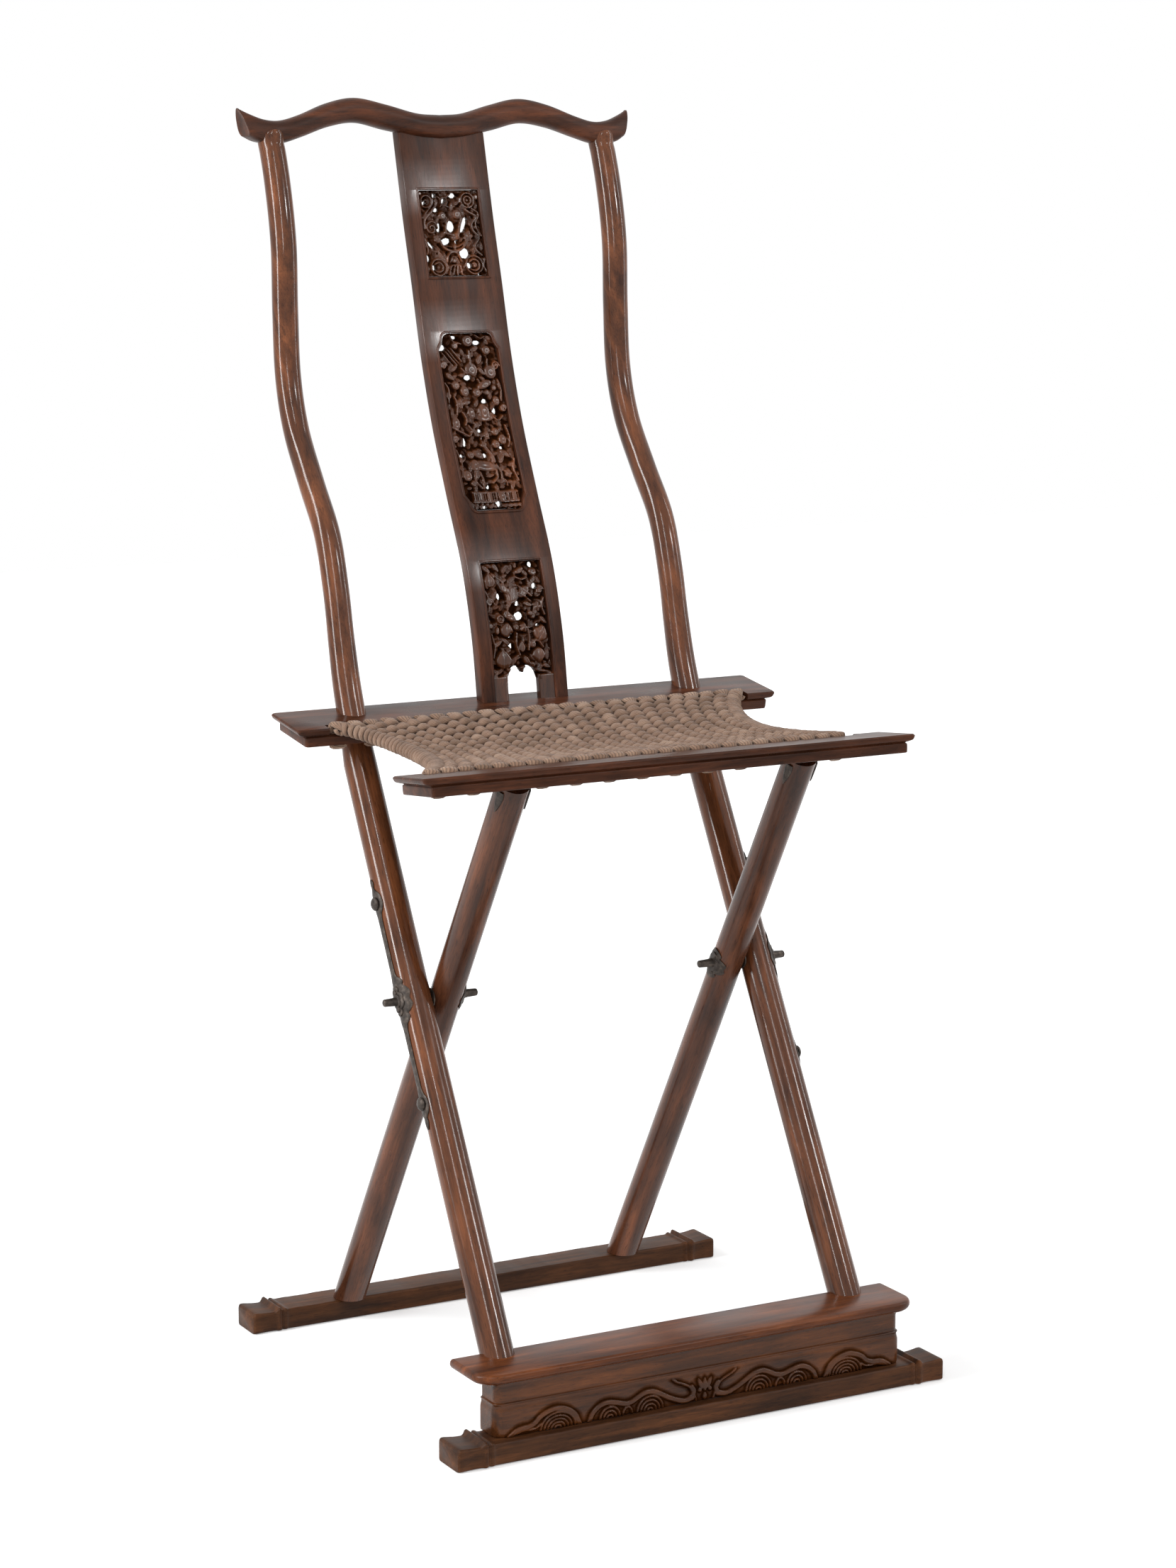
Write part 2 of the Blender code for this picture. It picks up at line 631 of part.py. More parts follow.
def runner_mesh(front, half_length):
    """A runner: a plain bar whose ends are a dished block, a collar and a small bead."""
    stations = [
        (-half_length + share * RUNNER_END_LENGTH, side, rise) for share, side, rise in RUNNER_END_SHARES
    ]
    stations += [(-x, side, rise) for x, side, rise in reversed(stations)]
    rings = []
    for x, side, rise in stations:
        half_depth = RUNNER_DEPTH / 2 + RUNNER_END_SWELL * side
        height = RUNNER_HEIGHT + RUNNER_END_SWELL * rise
        outline = rounded_rectangle(half_depth, height / 2, RUNNER_CORNER_RADIUS)
        rings.append([Vector((x, front + RUNNER_DEPTH / 2 + y, height / 2 + z)) for y, z in outline])
    return ring_mesh(rings)


# Footrest: the box's face from the runner up to the board, as (share of its height, inset)
BOX_HEIGHT = BOARD_TOP - BOARD_THICKNESS - RUNNER_HEIGHT - GAP * 2
BOX_FACE_SHARES = [
    (0.00, 0.0), (0.61, 0.0), (0.64, -1.0), (0.67, -1.0), (0.70, 0.3), (0.73, 1.0), (1.00, 1.0),
]


def box_side(start, end, start_mitre, end_mitre, outwards):
    """One side of the footrest's box. A mitred end is cut at 45 degrees, a plain one square."""
    along = (end - start).normalized()
    rings = []
    for corner, mitre, way in ((start, start_mitre, 1), (end, end_mitre, -1)):
        ring = []
        for share, inset in BOX_FACE_SHARES:
            depth = inset * BOX_WAIST_INSET if inset > 0 else inset * BOX_BEAD_SWELL
            shift = depth + GAP if mitre else 0
            ring.append(corner - outwards * depth + along * way * shift + Vector((0, 0, share * BOX_HEIGHT)))
        for share, depth in ((1.00, BOX_WALL), (0.00, BOX_WALL)):
            shift = depth + GAP if mitre else 0
            ring.append(corner - outwards * depth + along * way * shift + Vector((0, 0, share * BOX_HEIGHT)))
        rings.append(ring)
    return ring_mesh(rings)


BOARD_EDGE_SHARES = [(0.00, 1.00), (0.18, 0.35), (0.45, 0.00), (0.75, 0.10), (0.92, 0.45), (1.00, 1.00)]


def board_mesh():
    rings = []
    half_depth = (BOARD_BACK - BOARD_FRONT) / 2
    for share, inset in BOARD_EDGE_SHARES:
        shrink = inset * BOARD_EDGE_INSET
        ring = []
        for corner in range(4):
            radius = BOARD_BACK_CORNER_RADIUS if corner in (0, 1) else BOARD_FRONT_CORNER_RADIUS
            steps = 2 if corner in (0, 1) else 5
            middle_x = (BOARD_HALF_LENGTH - radius) * (1 if corner in (0, 3) else -1)
            middle_y = (half_depth - radius) * (1 if corner in (0, 1) else -1)
            reach = max(radius - shrink, GAP)
            for step in range(steps + 1):
                angle = math.radians(90 * (corner + step / steps))
                ring.append(Vector((
                    middle_x + reach * math.cos(angle),
                    BOARD_FRONT + half_depth + middle_y + reach * math.sin(angle),
                    BOARD_TOP - BOARD_THICKNESS * (1 - share),
                )))
        rings.append(ring)
    return ring_mesh(rings)


# Splat: its curve in side view, as shares of its height and of its setback
SPLAT_CURVE_SHARES = [
    (0.000, 0.000), (0.117, 0.064), (0.241, 0.182), (0.363, 0.362), (0.487, 0.537),
    (0.613, 0.675), (0.739, 0.782), (0.866, 0.895), (1.000, 1.000), (1.060, 1.045),
]
SPLAT_CURVE = smooth_curve(
    [
        Vector((0, SPLAT_FOOT_Y + setback * SPLAT_SETBACK, REAR_RAIL_TOP + height * SPLAT_HEIGHT))
        for height, setback in SPLAT_CURVE_SHARES
    ],
    SPLAT_STEPS,
)


def splat_face_y(z):
    """Where the splat's front face lies at a height."""
    return read_table([(point.z, point.y) for point in SPLAT_CURVE], z)


def curved_slab(half_width, low, high, sunk, thickness):
    """A slab bent to the splat's curve, between two heights."""
    rings = []
    for z in [low] + [point.z for point in SPLAT_CURVE if low < point.z < high] + [high]:
        rings.append([
            Vector((x, splat_face_y(z) + sunk + y, z))
            for x, y in ((-half_width, 0), (half_width, 0), (half_width, thickness), (-half_width, thickness))
        ])
    return ring_mesh(rings)


def splat_z(share):
    return REAR_RAIL_TOP + share * SPLAT_HEIGHT


# The three carved panels, by the shares of the splat's height that they span
UPPER_PANEL_SHARES = (0.752, 0.908)
MIDDLE_PANEL_SHARES = (0.336, 0.650)
LOWER_PANEL_SHARES = (0.000, 0.247)


def through_prism(outline):
    """A prism that runs through the splat along Y, from an outline of (x, z) points."""
    front = SPLAT_FOOT_Y - OVERRUN * 2
    back = SPLAT_FOOT_Y + SPLAT_SETBACK + OVERRUN * 4
    return ring_mesh([[Vector((x, y, z)) for x, z in outline] for y in (front, back)])


def rectangle(half, low, high):
    return [(-half, low), (half, low), (half, high), (-half, high)]


def panel_outline(shares, indent, shrink=0.0):
    """A panel's outline in front view, with stepped corners where indent isn't zero."""
    half = PANEL_WIDTH / 2 - shrink
    low = splat_z(shares[0]) + shrink
    high = splat_z(shares[1]) - shrink
    if indent == 0:
        return rectangle(half, low, high)
    quarter = [
        (half, high - indent * 1.5), (half - indent * 0.35, high - indent * 0.95),
        (half - indent * 0.60, high - indent * 0.25), (half - indent, high),
    ]
    top_left = [(-x, z) for x, z in reversed(quarter)]
    bottom_left = [(x, low + high - z) for x, z in reversed(top_left)]
    bottom_right = [(-x, z) for x, z in reversed(bottom_left)]
    return bottom_right + quarter + top_left + bottom_left


def lower_panel_outline(shrink=0.0):
    """The lower panel: it stands on two pads beside an arch with a cusped edge."""
    half = PANEL_WIDTH / 2 - shrink
    pad = SPLAT_WIDTH / 2 - FOOT_WIDTH
    foot = REAR_RAIL_TOP - SPLAT_HOUSING * 2
    arch = REAR_RAIL_TOP + LOWER_PANEL_ARCH
    high = splat_z(LOWER_PANEL_SHARES[1]) - shrink
    right = [
        (pad, foot), (half, foot), (half, high),
    ]
    left = [(-x, z) for x, z in reversed(right)]
    cusps = [(-1.00, -0.34), (-0.80, -0.06), (-0.34, 0.10), (0.00, -0.12), (0.34, 0.10), (0.80, -0.06), (1.00, -0.34)]
    edge = [(share * pad, arch + rise * LOWER_PANEL_ARCH) for share, rise in cusps]
    return right + left + edge


def hole(x, z, half_width, half_height, turn_deg, sides=6):
    """The outline of one pierced hole."""
    turn = math.radians(turn_deg)
    points = []
    for k in range(sides):
        angle = 2 * math.pi * k / sides
        across = half_width * math.cos(angle)
        rise = half_height * math.sin(angle)
        points.append((
            x + across * math.cos(turn) - rise * math.sin(turn),
            z + across * math.sin(turn) + rise * math.cos(turn),
        ))
    return points


# Pierced holes: (x, z) and half sizes as shares of the panel's half width and half height, and a turn
UPPER_HOLES_SHARES = [
    (0.40, 0.78, 0.10, 0.09, 30), (0.86, 0.34, 0.06, 0.08, 0), (0.62, 0.20, 0.10, 0.12, -20),
    (0.00, 0.10, 0.15, 0.14, 0), (0.28, -0.26, 0.15, 0.07, 10), (0.70, -0.48, 0.08, 0.11, 35),
    (0.86, -0.80, 0.07, 0.07, 0), (0.12, 0.58, 0.07, 0.07, 0),
]
MIDDLE_HOLES_SHARES = [
    (0.55, 0.82, 0.20, 0.035, 5), (0.20, 0.62, 0.08, 0.05, -40), (0.70, 0.55, 0.08, 0.05, 20),
    (0.45, 0.36, 0.08, 0.05, 0), (0.84, 0.22, 0.06, 0.06, 0), (0.15, 0.10, 0.08, 0.04, 30),
    (0.62, -0.06, 0.09, 0.04, -20), (0.30, -0.30, 0.10, 0.04, 15), (0.80, -0.40, 0.07, 0.05, 0),
    (0.22, -0.62, 0.08, 0.04, -20), (0.40, -0.90, 0.16, 0.035, 0),
]
LOWER_HOLES_SHARES = [
    (0.78, 0.78, 0.07, 0.08, 20), (0.30, 0.60, 0.07, 0.06, 0), (0.60, 0.36, 0.07, 0.08, -30),
    (0.12, 0.16, 0.10, 0.08, 0), (0.50, -0.04, 0.06, 0.08, 0), (0.20, -0.26, 0.06, 0.07, 20),
]


def pierced_panel(outline, shares, holes):
    """A thin panel bent to the splat's curve, cut to its outline and pierced."""
    low = splat_z(shares[0]) - OVERRUN
    high = splat_z(shares[1]) + OVERRUN
    slab = curved_slab(PANEL_WIDTH, low, high, PANEL_SUNK, PANEL_THICKNESS)
    tools = [("INTERSECT", through_prism(outline))]
    middle = splat_z((shares[0] + shares[1]) / 2)
    half_height = SPLAT_HEIGHT * (shares[1] - shares[0]) / 2
    cuts = []
    for x, z, half_x, half_z, turn in holes:
        for side in (-1, 1):
            if x == 0 and side < 0:
                continue
            cuts.append(through_prism(hole(
                side * x * PANEL_WIDTH / 2, middle + z * half_height,
                half_x * PANEL_WIDTH / 2, half_z * half_height, side * turn,
            )))
    tools.append(("DIFFERENCE", merged(cuts)))
    return shaped(slab, tools)


# Iron plates that lie round a leg

def leg_plate(centre, along, outwards, base_radius, thickness, outline):
    """A plate bent round a leg. outline holds (distance along the leg, half width seen from outside)."""
    along = along.normalized()
    outwards = (outwards - along * outwards.dot(along)).normalized()
    side = along.cross(outwards)
    reach = max(abs(distance) for distance, half_width in outline) + OVERRUN
    facet = math.radians(PLATE_FACET_DEG)
    steps = math.ceil(math.radians(PLATE_WRAP_DEG) / facet)
    rings = []
    for distance in (-reach, reach):
        ring = []
        for radius, way in ((base_radius / math.cos(facet / 2) + thickness, 1), (base_radius / math.cos(facet / 2), -1)):
            for step in range(-steps, steps + 1):
                turn = way * step * facet
                ring.append(centre + along * distance + (outwards * math.cos(turn) + side * math.sin(turn)) * radius)
        rings.append(ring)
    shell = ring_mesh(rings)
    edge = [(distance, half_width) for distance, half_width in outline]
    edge += [(distance, -half_width) for distance, half_width in reversed(outline)]
    blank = ring_mesh([
        [centre + along * distance + side * across + outwards * rise for distance, across in edge]
        for rise in (0, (base_radius + thickness) * 2)
    ])
    return shaped(shell, [("INTERSECT", blank)])


# The outer strap from its upper tip to its lower one: (share of the length that side, share of half width)
STRAP_UPPER_SHARES = [
    (1.000, 0.03), (0.985, 0.14), (0.960, 0.20), (0.930, 0.12), (0.905, 0.22), (0.870, 0.50), (0.830, 0.62),
    (0.780, 0.64), (0.740, 0.52), (0.700, 0.34), (0.620, 0.28), (0.300, 0.28), (0.205, 0.34), (0.170, 0.58),
    (0.140, 0.74), (0.112, 0.68), (0.090, 0.86), (0.050, 1.00), (0.000, 0.93),
]
STRAP_LOWER_SHARES = [
    (0.050, 1.00), (0.090, 0.86), (0.112, 0.68), (0.140, 0.74), (0.170, 0.58), (0.205, 0.34), (0.300, 0.28),
    (0.640, 0.28), (0.720, 0.36), (0.770, 0.55), (0.820, 0.60), (0.870, 0.48), (0.910, 0.22), (0.940, 0.24),
    (0.965, 0.20), (0.985, 0.12), (1.000, 0.03),
]
# The cloud plates round the pins, from tip to tip along the leg
CLOUD_SHARES = [
    (-1.00, 0.06), (-0.95, 0.30), (-0.82, 0.52), (-0.66, 0.56), (-0.58, 0.50), (-0.46, 0.82), (-0.26, 1.00),
    (-0.06, 0.96), (0.06, 0.96), (0.26, 1.00), (0.46, 0.82), (0.58, 0.50), (0.66, 0.56), (0.82, 0.52), (0.95, 0.30),
    (1.00, 0.06),
]
LEAF_SHARES = [(0.00, 0.75), (0.20, 1.00), (0.45, 0.90), (0.75, 0.55), (0.92, 0.25), (1.00, 0.06)]


def nail_mesh(seat, outwards):
    """A domed nail head that stands on its seat."""
    start = seat + outwards * GAP
    dome = [(0.00, 0.96), (0.25, 1.00), (0.55, 0.86), (0.82, 0.58), (1.00, 0.18)]
    profile = [(share, NAIL_RADIUS * radius) for share, radius in dome]
    return ring_mesh(turned_rings(start, start + outwards * NAIL_HEIGHT, profile, 12))


# Rope

def turn_middles(pitch, shift=0.0):
    return [shift + (i - (TURN_COUNT - 1) / 2) * pitch for i in range(TURN_COUNT)]


def clear_of_rear_legs(x):
    return abs(abs(x) - REAR_HEAD.x) > TURN_HALF_SPAN + ROPE_RADIUS + REAR_LEG_RADIUS * TURN_LEG_SHARE


# Each row of holes: where it lies, with its own origin on the rail's top face, and the middles
# of its turns. There are none right behind the tops of the rear legs.
FRONT_ROW = (
    FRONT_RAIL_PLACE @ Matrix.Translation((0, RAIL_WIDTH / 2 - TURNS_FROM_EDGE, 0)),
    [x for x in turn_middles(FRONT_TURN_PITCH, FRONT_TURNS_SHIFT) if clear_of_rear_legs(x)],
)
REAR_ROW = (
    REAR_RAIL_PLACE @ Matrix.Translation((0, TURNS_FROM_EDGE - RAIL_WIDTH / 2, 0)),
    turn_middles(REAR_TURN_PITCH),
)


def row_tubes(row, path, radius):
    """The same short tube at each turn of a row, from a path of (x, z) points."""
    place, middles = row
    level = Vector((0, 1, 0))
    tubes = []
    for middle in middles:
        points = [Vector((middle + x, 0, z)) for x, z in path]
        tubes.append(ring_mesh(tube_rings(points, [radius] * len(points), ROPE_SIDES, level)))
    group = merged(tubes)
    group.transform(place)
    return group


def rope_holes(row):
    """The two holes of each turn, as cutters that run right through the rail."""
    holes = []
    for side in (-TURN_HALF_SPAN, TURN_HALF_SPAN):
        path = [(side, OVERRUN), (side, -RAIL_THICKNESS - OVERRUN)]
        holes.append(row_tubes(row, path, ROPE_RADIUS + GAP))
    return merged(holes)


def rope_turns(row):
    """Each turn goes down one hole, across the rail's underside and up the next."""
    under = -RAIL_THICKNESS - ROPE_RADIUS - GAP
    half = [
        (TURN_HALF_SPAN, SEAT_THICKNESS / 2 - REBATE_DEPTH), (TURN_HALF_SPAN, -RAIL_THICKNESS - GAP),
        (TURN_HALF_SPAN - ROPE_RADIUS / 2, under),
    ]
    return row_tubes(row, [(-x, z) for x, z in half] + half[::-1], ROPE_RADIUS)


def ledge_top(place, y):
    """Height of a rail's ledge at y."""
    top = place @ Vector((0, 0, -REBATE_DEPTH))
    along = place.to_3x3() @ Vector((0, 1, 0))
    return top.z + (y - top.y) * along.z / along.y


def rope_seat_mesh():
    """The woven seat as one soft slab: it lies on both ledges, sags and is drawn in at its sides."""
    front_edge = FRONT_RAIL_Y + RAIL_WIDTH / 2
    rear_edge = REAR_RAIL_Y - RAIL_WIDTH / 2
    stations = [front_edge - SEAT_LAP, front_edge - SEAT_LAP / 2]
    stations += [front_edge + (rear_edge - front_edge) * i / SEAT_STEPS_ALONG for i in range(SEAT_STEPS_ALONG + 1)]
    stations += [rear_edge + SEAT_LAP]
    front_height = ledge_top(FRONT_RAIL_PLACE, front_edge)
    rear_height = ledge_top(REAR_RAIL_PLACE, rear_edge)
    rings = []
    for y in stations:
        free = min(1.0, max(0.0, (y - front_edge) / (rear_edge - front_edge)))
        draw = math.sin(math.pi * free)
        base = front_height + (rear_height - front_height) * free + GAP
        if y < front_edge:
            base = ledge_top(FRONT_RAIL_PLACE, y) + GAP
        if y > rear_edge:
            base = ledge_top(REAR_RAIL_PLACE, y) + GAP
        widest = SEAT_FRONT_HALF_WIDTH + (SEAT_REAR_HALF_WIDTH - SEAT_FRONT_HALF_WIDTH) * free
        half_width = widest - SEAT_WAIST * draw ** 0.6
        shift = FRONT_TURNS_SHIFT * (1 - free)
        top = []
        under = []
        for j in range(SEAT_STEPS_ACROSS + 1):
            across = 2 * j / SEAT_STEPS_ACROSS - 1
            z = base - SEAT_SAG * draw * (1 - across ** 2 / 2)
            rounding = math.sqrt(max(0.0, 1 - across ** 8))
            top.append(Vector((shift + across * half_width, y, z + SEAT_THICKNESS * (1 + rounding) / 2)))
            under.append(Vector((shift + across * half_width, y, z)))
        rings.append(top + under[::-1])
    return ring_mesh(rings)


# Build: back frame

crest = shaped(crest_mesh(), [
    ("DIFFERENCE", tenon(POST_HEAD, Vector((0, 0, 1)), POST_RADIUS * TENON_SHARE, GAP)),
    ("DIFFERENCE", mirrored(tenon(POST_HEAD, Vector((0, 0, 1)), POST_RADIUS * TENON_SHARE, GAP))),
    ("DIFFERENCE", curved_slab(
        SPLAT_WIDTH / 2 + GAP, CREST_BASE_Z - OVERRUN, splat_z(1) + CREST_HOUSING + GAP, -GAP,
        SPLAT_THICKNESS + GAP * 2,
    )),
])
piece("crest_rail", crest, back_frame, DARK_WOOD, 0.28)

front_leg = shaped(front_leg_solid(), [
    ("DIFFERENCE", crest_mesh(GAP)),
    ("DIFFERENCE", post_end_cut()),
    ("UNION", tenon(POST_HEAD, Vector((0, 0, 1)), POST_RADIUS * TENON_SHARE)),
    ("DIFFERENCE", runner_box(0, GAP)),
    ("DIFFERENCE", box_mesh(FLOOR_CUT_LOW, FLOOR_CUT_HIGH)),
    ("UNION", tenon(FRONT_FOOT, FRONT_TENON_DOWN, FRONT_LEG_RADIUS * TENON_SHARE)),
    ("DIFFERENCE", pin_bore()),
    ("DIFFERENCE", washer_seat(1)),
])
on_both_sides("front_leg", front_leg, back_frame, DARK_WOOD, 0.25)

splat = shaped(
    curved_slab(
        SPLAT_WIDTH / 2, REAR_RAIL_TOP - SPLAT_HOUSING, splat_z(1) + CREST_HOUSING, 0, SPLAT_THICKNESS,
    ),
    [
        ("DIFFERENCE", through_prism(panel_outline(UPPER_PANEL_SHARES, 0))),
        ("DIFFERENCE", through_prism(panel_outline(MIDDLE_PANEL_SHARES, PANEL_INDENT))),
        ("DIFFERENCE", through_prism(
            rectangle(PANEL_WIDTH / 2, REAR_RAIL_TOP - OVERRUN, splat_z(LOWER_PANEL_SHARES[1])),
        )),
    ],
)
piece("splat", splat, back_frame, DARK_WOOD, 0.32)

upper_panel = pierced_panel(panel_outline(UPPER_PANEL_SHARES, 0, GAP), UPPER_PANEL_SHARES, UPPER_HOLES_SHARES)
piece("upper_carved_panel", upper_panel, back_frame, DARK_WOOD, 0.38)
middle_panel = pierced_panel(
    panel_outline(MIDDLE_PANEL_SHARES, PANEL_INDENT, GAP), MIDDLE_PANEL_SHARES, MIDDLE_HOLES_SHARES,
)
piece("middle_carved_panel", middle_panel, back_frame, DARK_WOOD, 0.38)
lower_panel = pierced_panel(lower_panel_outline(GAP), LOWER_PANEL_SHARES, LOWER_HOLES_SHARES)
lower_panel = shaped(lower_panel, [("DIFFERENCE", rear_rail(GAP))])
piece("lower_carved_panel", lower_panel, back_frame, DARK_WOOD, 0.38)

rear_seat_rail = shaped(rear_rail(), [
    ("DIFFERENCE", front_leg_solid(GAP)),
    ("DIFFERENCE", mirrored(front_leg_solid(GAP))),
    ("DIFFERENCE", curved_slab(
        SPLAT_WIDTH / 2 + GAP, REAR_RAIL_TOP - SPLAT_HOUSING - GAP, REAR_RAIL_TOP + OVERRUN, -GAP,
        SPLAT_THICKNESS + GAP * 2,
    )),
    ("DIFFERENCE", rebate(REAR_RAIL_PLACE, -1)),
    ("DIFFERENCE", rope_holes(REAR_ROW)),
])
piece("rear_seat_rail", rear_seat_rail, back_frame, DARK_WOOD, 0.30)

front_runner = shaped(runner_mesh(0, FRONT_RUNNER_HALF_LENGTH), [
    ("DIFFERENCE", tenon(FRONT_FOOT, FRONT_TENON_DOWN, FRONT_LEG_RADIUS * TENON_SHARE, GAP)),
    ("DIFFERENCE", mirrored(tenon(FRONT_FOOT, FRONT_TENON_DOWN, FRONT_LEG_RADIUS * TENON_SHARE, GAP))),
])
piece("front_runner", front_runner, back_frame, WARM_WOOD, 0.32)

footrest_board = shaped(board_mesh(), [
    ("DIFFERENCE", front_leg_solid(GAP)),
    ("DIFFERENCE", mirrored(front_leg_solid(GAP))),
])
piece("footrest_board", footrest_board, back_frame, WARM_WOOD, 0.35)

BOX_LOW = RUNNER_HEIGHT + GAP
BOX_BACK = RUNNER_DEPTH
apron = box_side(
    Vector((-BOX_HALF_LENGTH, BOX_FRONT, BOX_LOW)), Vector((BOX_HALF_LENGTH, BOX_FRONT, BOX_LOW)),
    True, True, Vector((0, -1, 0)),
)
apron = shaped(apron, [
    ("DIFFERENCE", front_leg_solid(GAP)),
    ("DIFFERENCE", mirrored(front_leg_solid(GAP))),
])
piece("footrest_apron", apron, back_frame, WARM_WOOD, 0.33)
box_end = box_side(
    Vector((BOX_HALF_LENGTH, BOX_FRONT, BOX_LOW)), Vector((BOX_HALF_LENGTH, BOX_BACK, BOX_LOW)),
    True, False, Vector((1, 0, 0)),
)
on_both_sides("footrest_end", box_end, back_frame, WARM_WOOD, 0.33)

# Build: seat frame

rear_leg = shaped(rear_leg_solid(), [
    ("DIFFERENCE", front_rail(GAP)),
    ("DIFFERENCE", box_mesh(
        Vector((0, FRONT_RAIL_Y - RAIL_WIDTH, FRONT_RAIL_TOP - RAIL_THICKNESS / 2)),
        Vector((FRONT_RAIL_HALF_LENGTH * 2, FRONT_RAIL_Y + RAIL_WIDTH, FRONT_RAIL_TOP + OVERRUN * 4)),
    )),
    ("UNION", tenon(REAR_HEAD, -REAR_TENON_DOWN, REAR_LEG_RADIUS * TENON_SHARE)),
    ("DIFFERENCE", runner_box(REAR_RUNNER_FRONT, GAP)),
    ("DIFFERENCE", box_mesh(FLOOR_CUT_LOW, FLOOR_CUT_HIGH)),
    ("UNION", tenon(REAR_FOOT, REAR_TENON_DOWN, REAR_LEG_RADIUS * TENON_SHARE)),
    ("DIFFERENCE", pin_bore()),
    ("DIFFERENCE", washer_seat(-1)),
])
on_both_sides("rear_leg", rear_leg, seat_frame, DARK_WOOD, 0.25)

front_seat_rail = shaped(front_rail(), [
    ("DIFFERENCE", tenon(REAR_HEAD, -REAR_TENON_DOWN, REAR_LEG_RADIUS * TENON_SHARE, GAP)),
    ("DIFFERENCE", mirrored(tenon(REAR_HEAD, -REAR_TENON_DOWN, REAR_LEG_RADIUS * TENON_SHARE, GAP))),
    ("DIFFERENCE", rebate(FRONT_RAIL_PLACE, 1)),
    ("DIFFERENCE", rope_holes(FRONT_ROW)),
])
piece("front_seat_rail", front_seat_rail, seat_frame, DARK_WOOD, 0.30)

rear_runner = shaped(runner_mesh(REAR_RUNNER_FRONT, REAR_RUNNER_HALF_LENGTH), [
    ("DIFFERENCE", tenon(REAR_FOOT, REAR_TENON_DOWN, REAR_LEG_RADIUS * TENON_SHARE, GAP)),
    ("DIFFERENCE", mirrored(tenon(REAR_FOOT, REAR_TENON_DOWN, REAR_LEG_RADIUS * TENON_SHARE, GAP))),
])
piece("rear_runner", rear_runner, seat_frame, DARK_WOOD, 0.32)

# Build: pivots and ironwork

pin_start = FRONT_LEG_X + FRONT_LEG_RADIUS + PIN_OUTER_STAND
pin_end = REAR_LEG_X - REAR_LEG_RADIUS - PIN_INNER_STAND
pin_length = pin_start - pin_end
outer_root = (PIN_OUTER_STAND + STRAP_THICKNESS) / pin_length
inner_root = 1 - PIN_INNER_STAND / pin_length
pin = ring_mesh(turned_rings(
    PIN_CENTRE + PIN_AXIS * pin_start,
    PIN_CENTRE + PIN_AXIS * pin_end,
    [
        (0, PIN_TIP_RADIUS - PIN_TIP_ROUND / 2), (PIN_TIP_ROUND / pin_length, PIN_TIP_RADIUS), (outer_root, PIN_RADIUS),
        (inner_root, PIN_RADIUS), (1 - PIN_TIP_ROUND / pin_length, PIN_TIP_RADIUS), (1, PIN_TIP_RADIUS - PIN_TIP_ROUND / 2),
    ],
    ROUND_SIDES,
))
on_both_sides("pivot_pin", pin, back_frame, IRON, 0.45, 0.9)

washer = shaped(
    cylinder(
        PIN_CENTRE + PIN_AXIS * (WASHER_MIDDLE - WASHER_THICKNESS / 2),
        PIN_CENTRE + PIN_AXIS * (WASHER_MIDDLE + WASHER_THICKNESS / 2), WASHER_RADIUS, ROUND_SIDES,
    ),
    [("DIFFERENCE", pin_bore())],
)
on_both_sides("pivot_washer", washer, seat_frame, IRON, 0.45, 0.9)

front_up = -FRONT_TENON_DOWN.normalized()
rear_up = -REAR_TENON_DOWN.normalized()
OUT = Vector((1, 0, 0))
front_crossing = Vector((FRONT_LEG_X, PIVOT_Y, PIVOT_Z))
rear_crossing = Vector((REAR_LEG_X, PIVOT_Y, PIVOT_Z))
strap_base = FRONT_LEG_RADIUS + GAP

strap_stations = [(share * STRAP_UPPER_LENGTH, width * STRAP_HALF_WIDTH) for share, width in STRAP_UPPER_SHARES]
strap_stations += [(-share * STRAP_LOWER_LENGTH, width * STRAP_HALF_WIDTH) for share, width in STRAP_LOWER_SHARES]
strap = shaped(
    leg_plate(front_crossing, front_up, OUT, strap_base, STRAP_THICKNESS, strap_stations),
    [("DIFFERENCE", pin_bore())],
)
on_both_sides("outer_strap", strap, back_frame, IRON, 0.45, 0.9)

rosette = shaped(
    leg_plate(
        front_crossing, front_up, OUT, strap_base + STRAP_THICKNESS + GAP, ROSETTE_THICKNESS,
        [(share * ROSETTE_HALF_LENGTH, width * ROSETTE_HALF_WIDTH) for share, width in CLOUD_SHARES],
    ),
    [("DIFFERENCE", pin_bore())],
)
on_both_sides("outer_rosette", rosette, back_frame, IRON, 0.45, 0.9)

strap_face = front_crossing + OUT * (strap_base + STRAP_THICKNESS)
upper_seat = strap_face + front_up * STRAP_UPPER_LENGTH * NAIL_UPPER_SHARE
on_both_sides("upper_nail", nail_mesh(upper_seat, OUT), back_frame, IRON, 0.40, 0.9)
lower_seat = strap_face - front_up * STRAP_LOWER_LENGTH * NAIL_LOWER_SHARE
on_both_sides("lower_nail", nail_mesh(lower_seat, OUT), back_frame, IRON, 0.40, 0.9)

cloud_plate = shaped(
    leg_plate(
        rear_crossing, rear_up, -OUT, REAR_LEG_RADIUS + GAP, CLOUD_THICKNESS,
        [(share * CLOUD_HALF_LENGTH, width * CLOUD_HALF_WIDTH) for share, width in CLOUD_SHARES],
    ),
    [("DIFFERENCE", pin_bore())],
)
on_both_sides("inner_cloud_plate", cloud_plate, seat_frame, IRON, 0.45, 0.9)

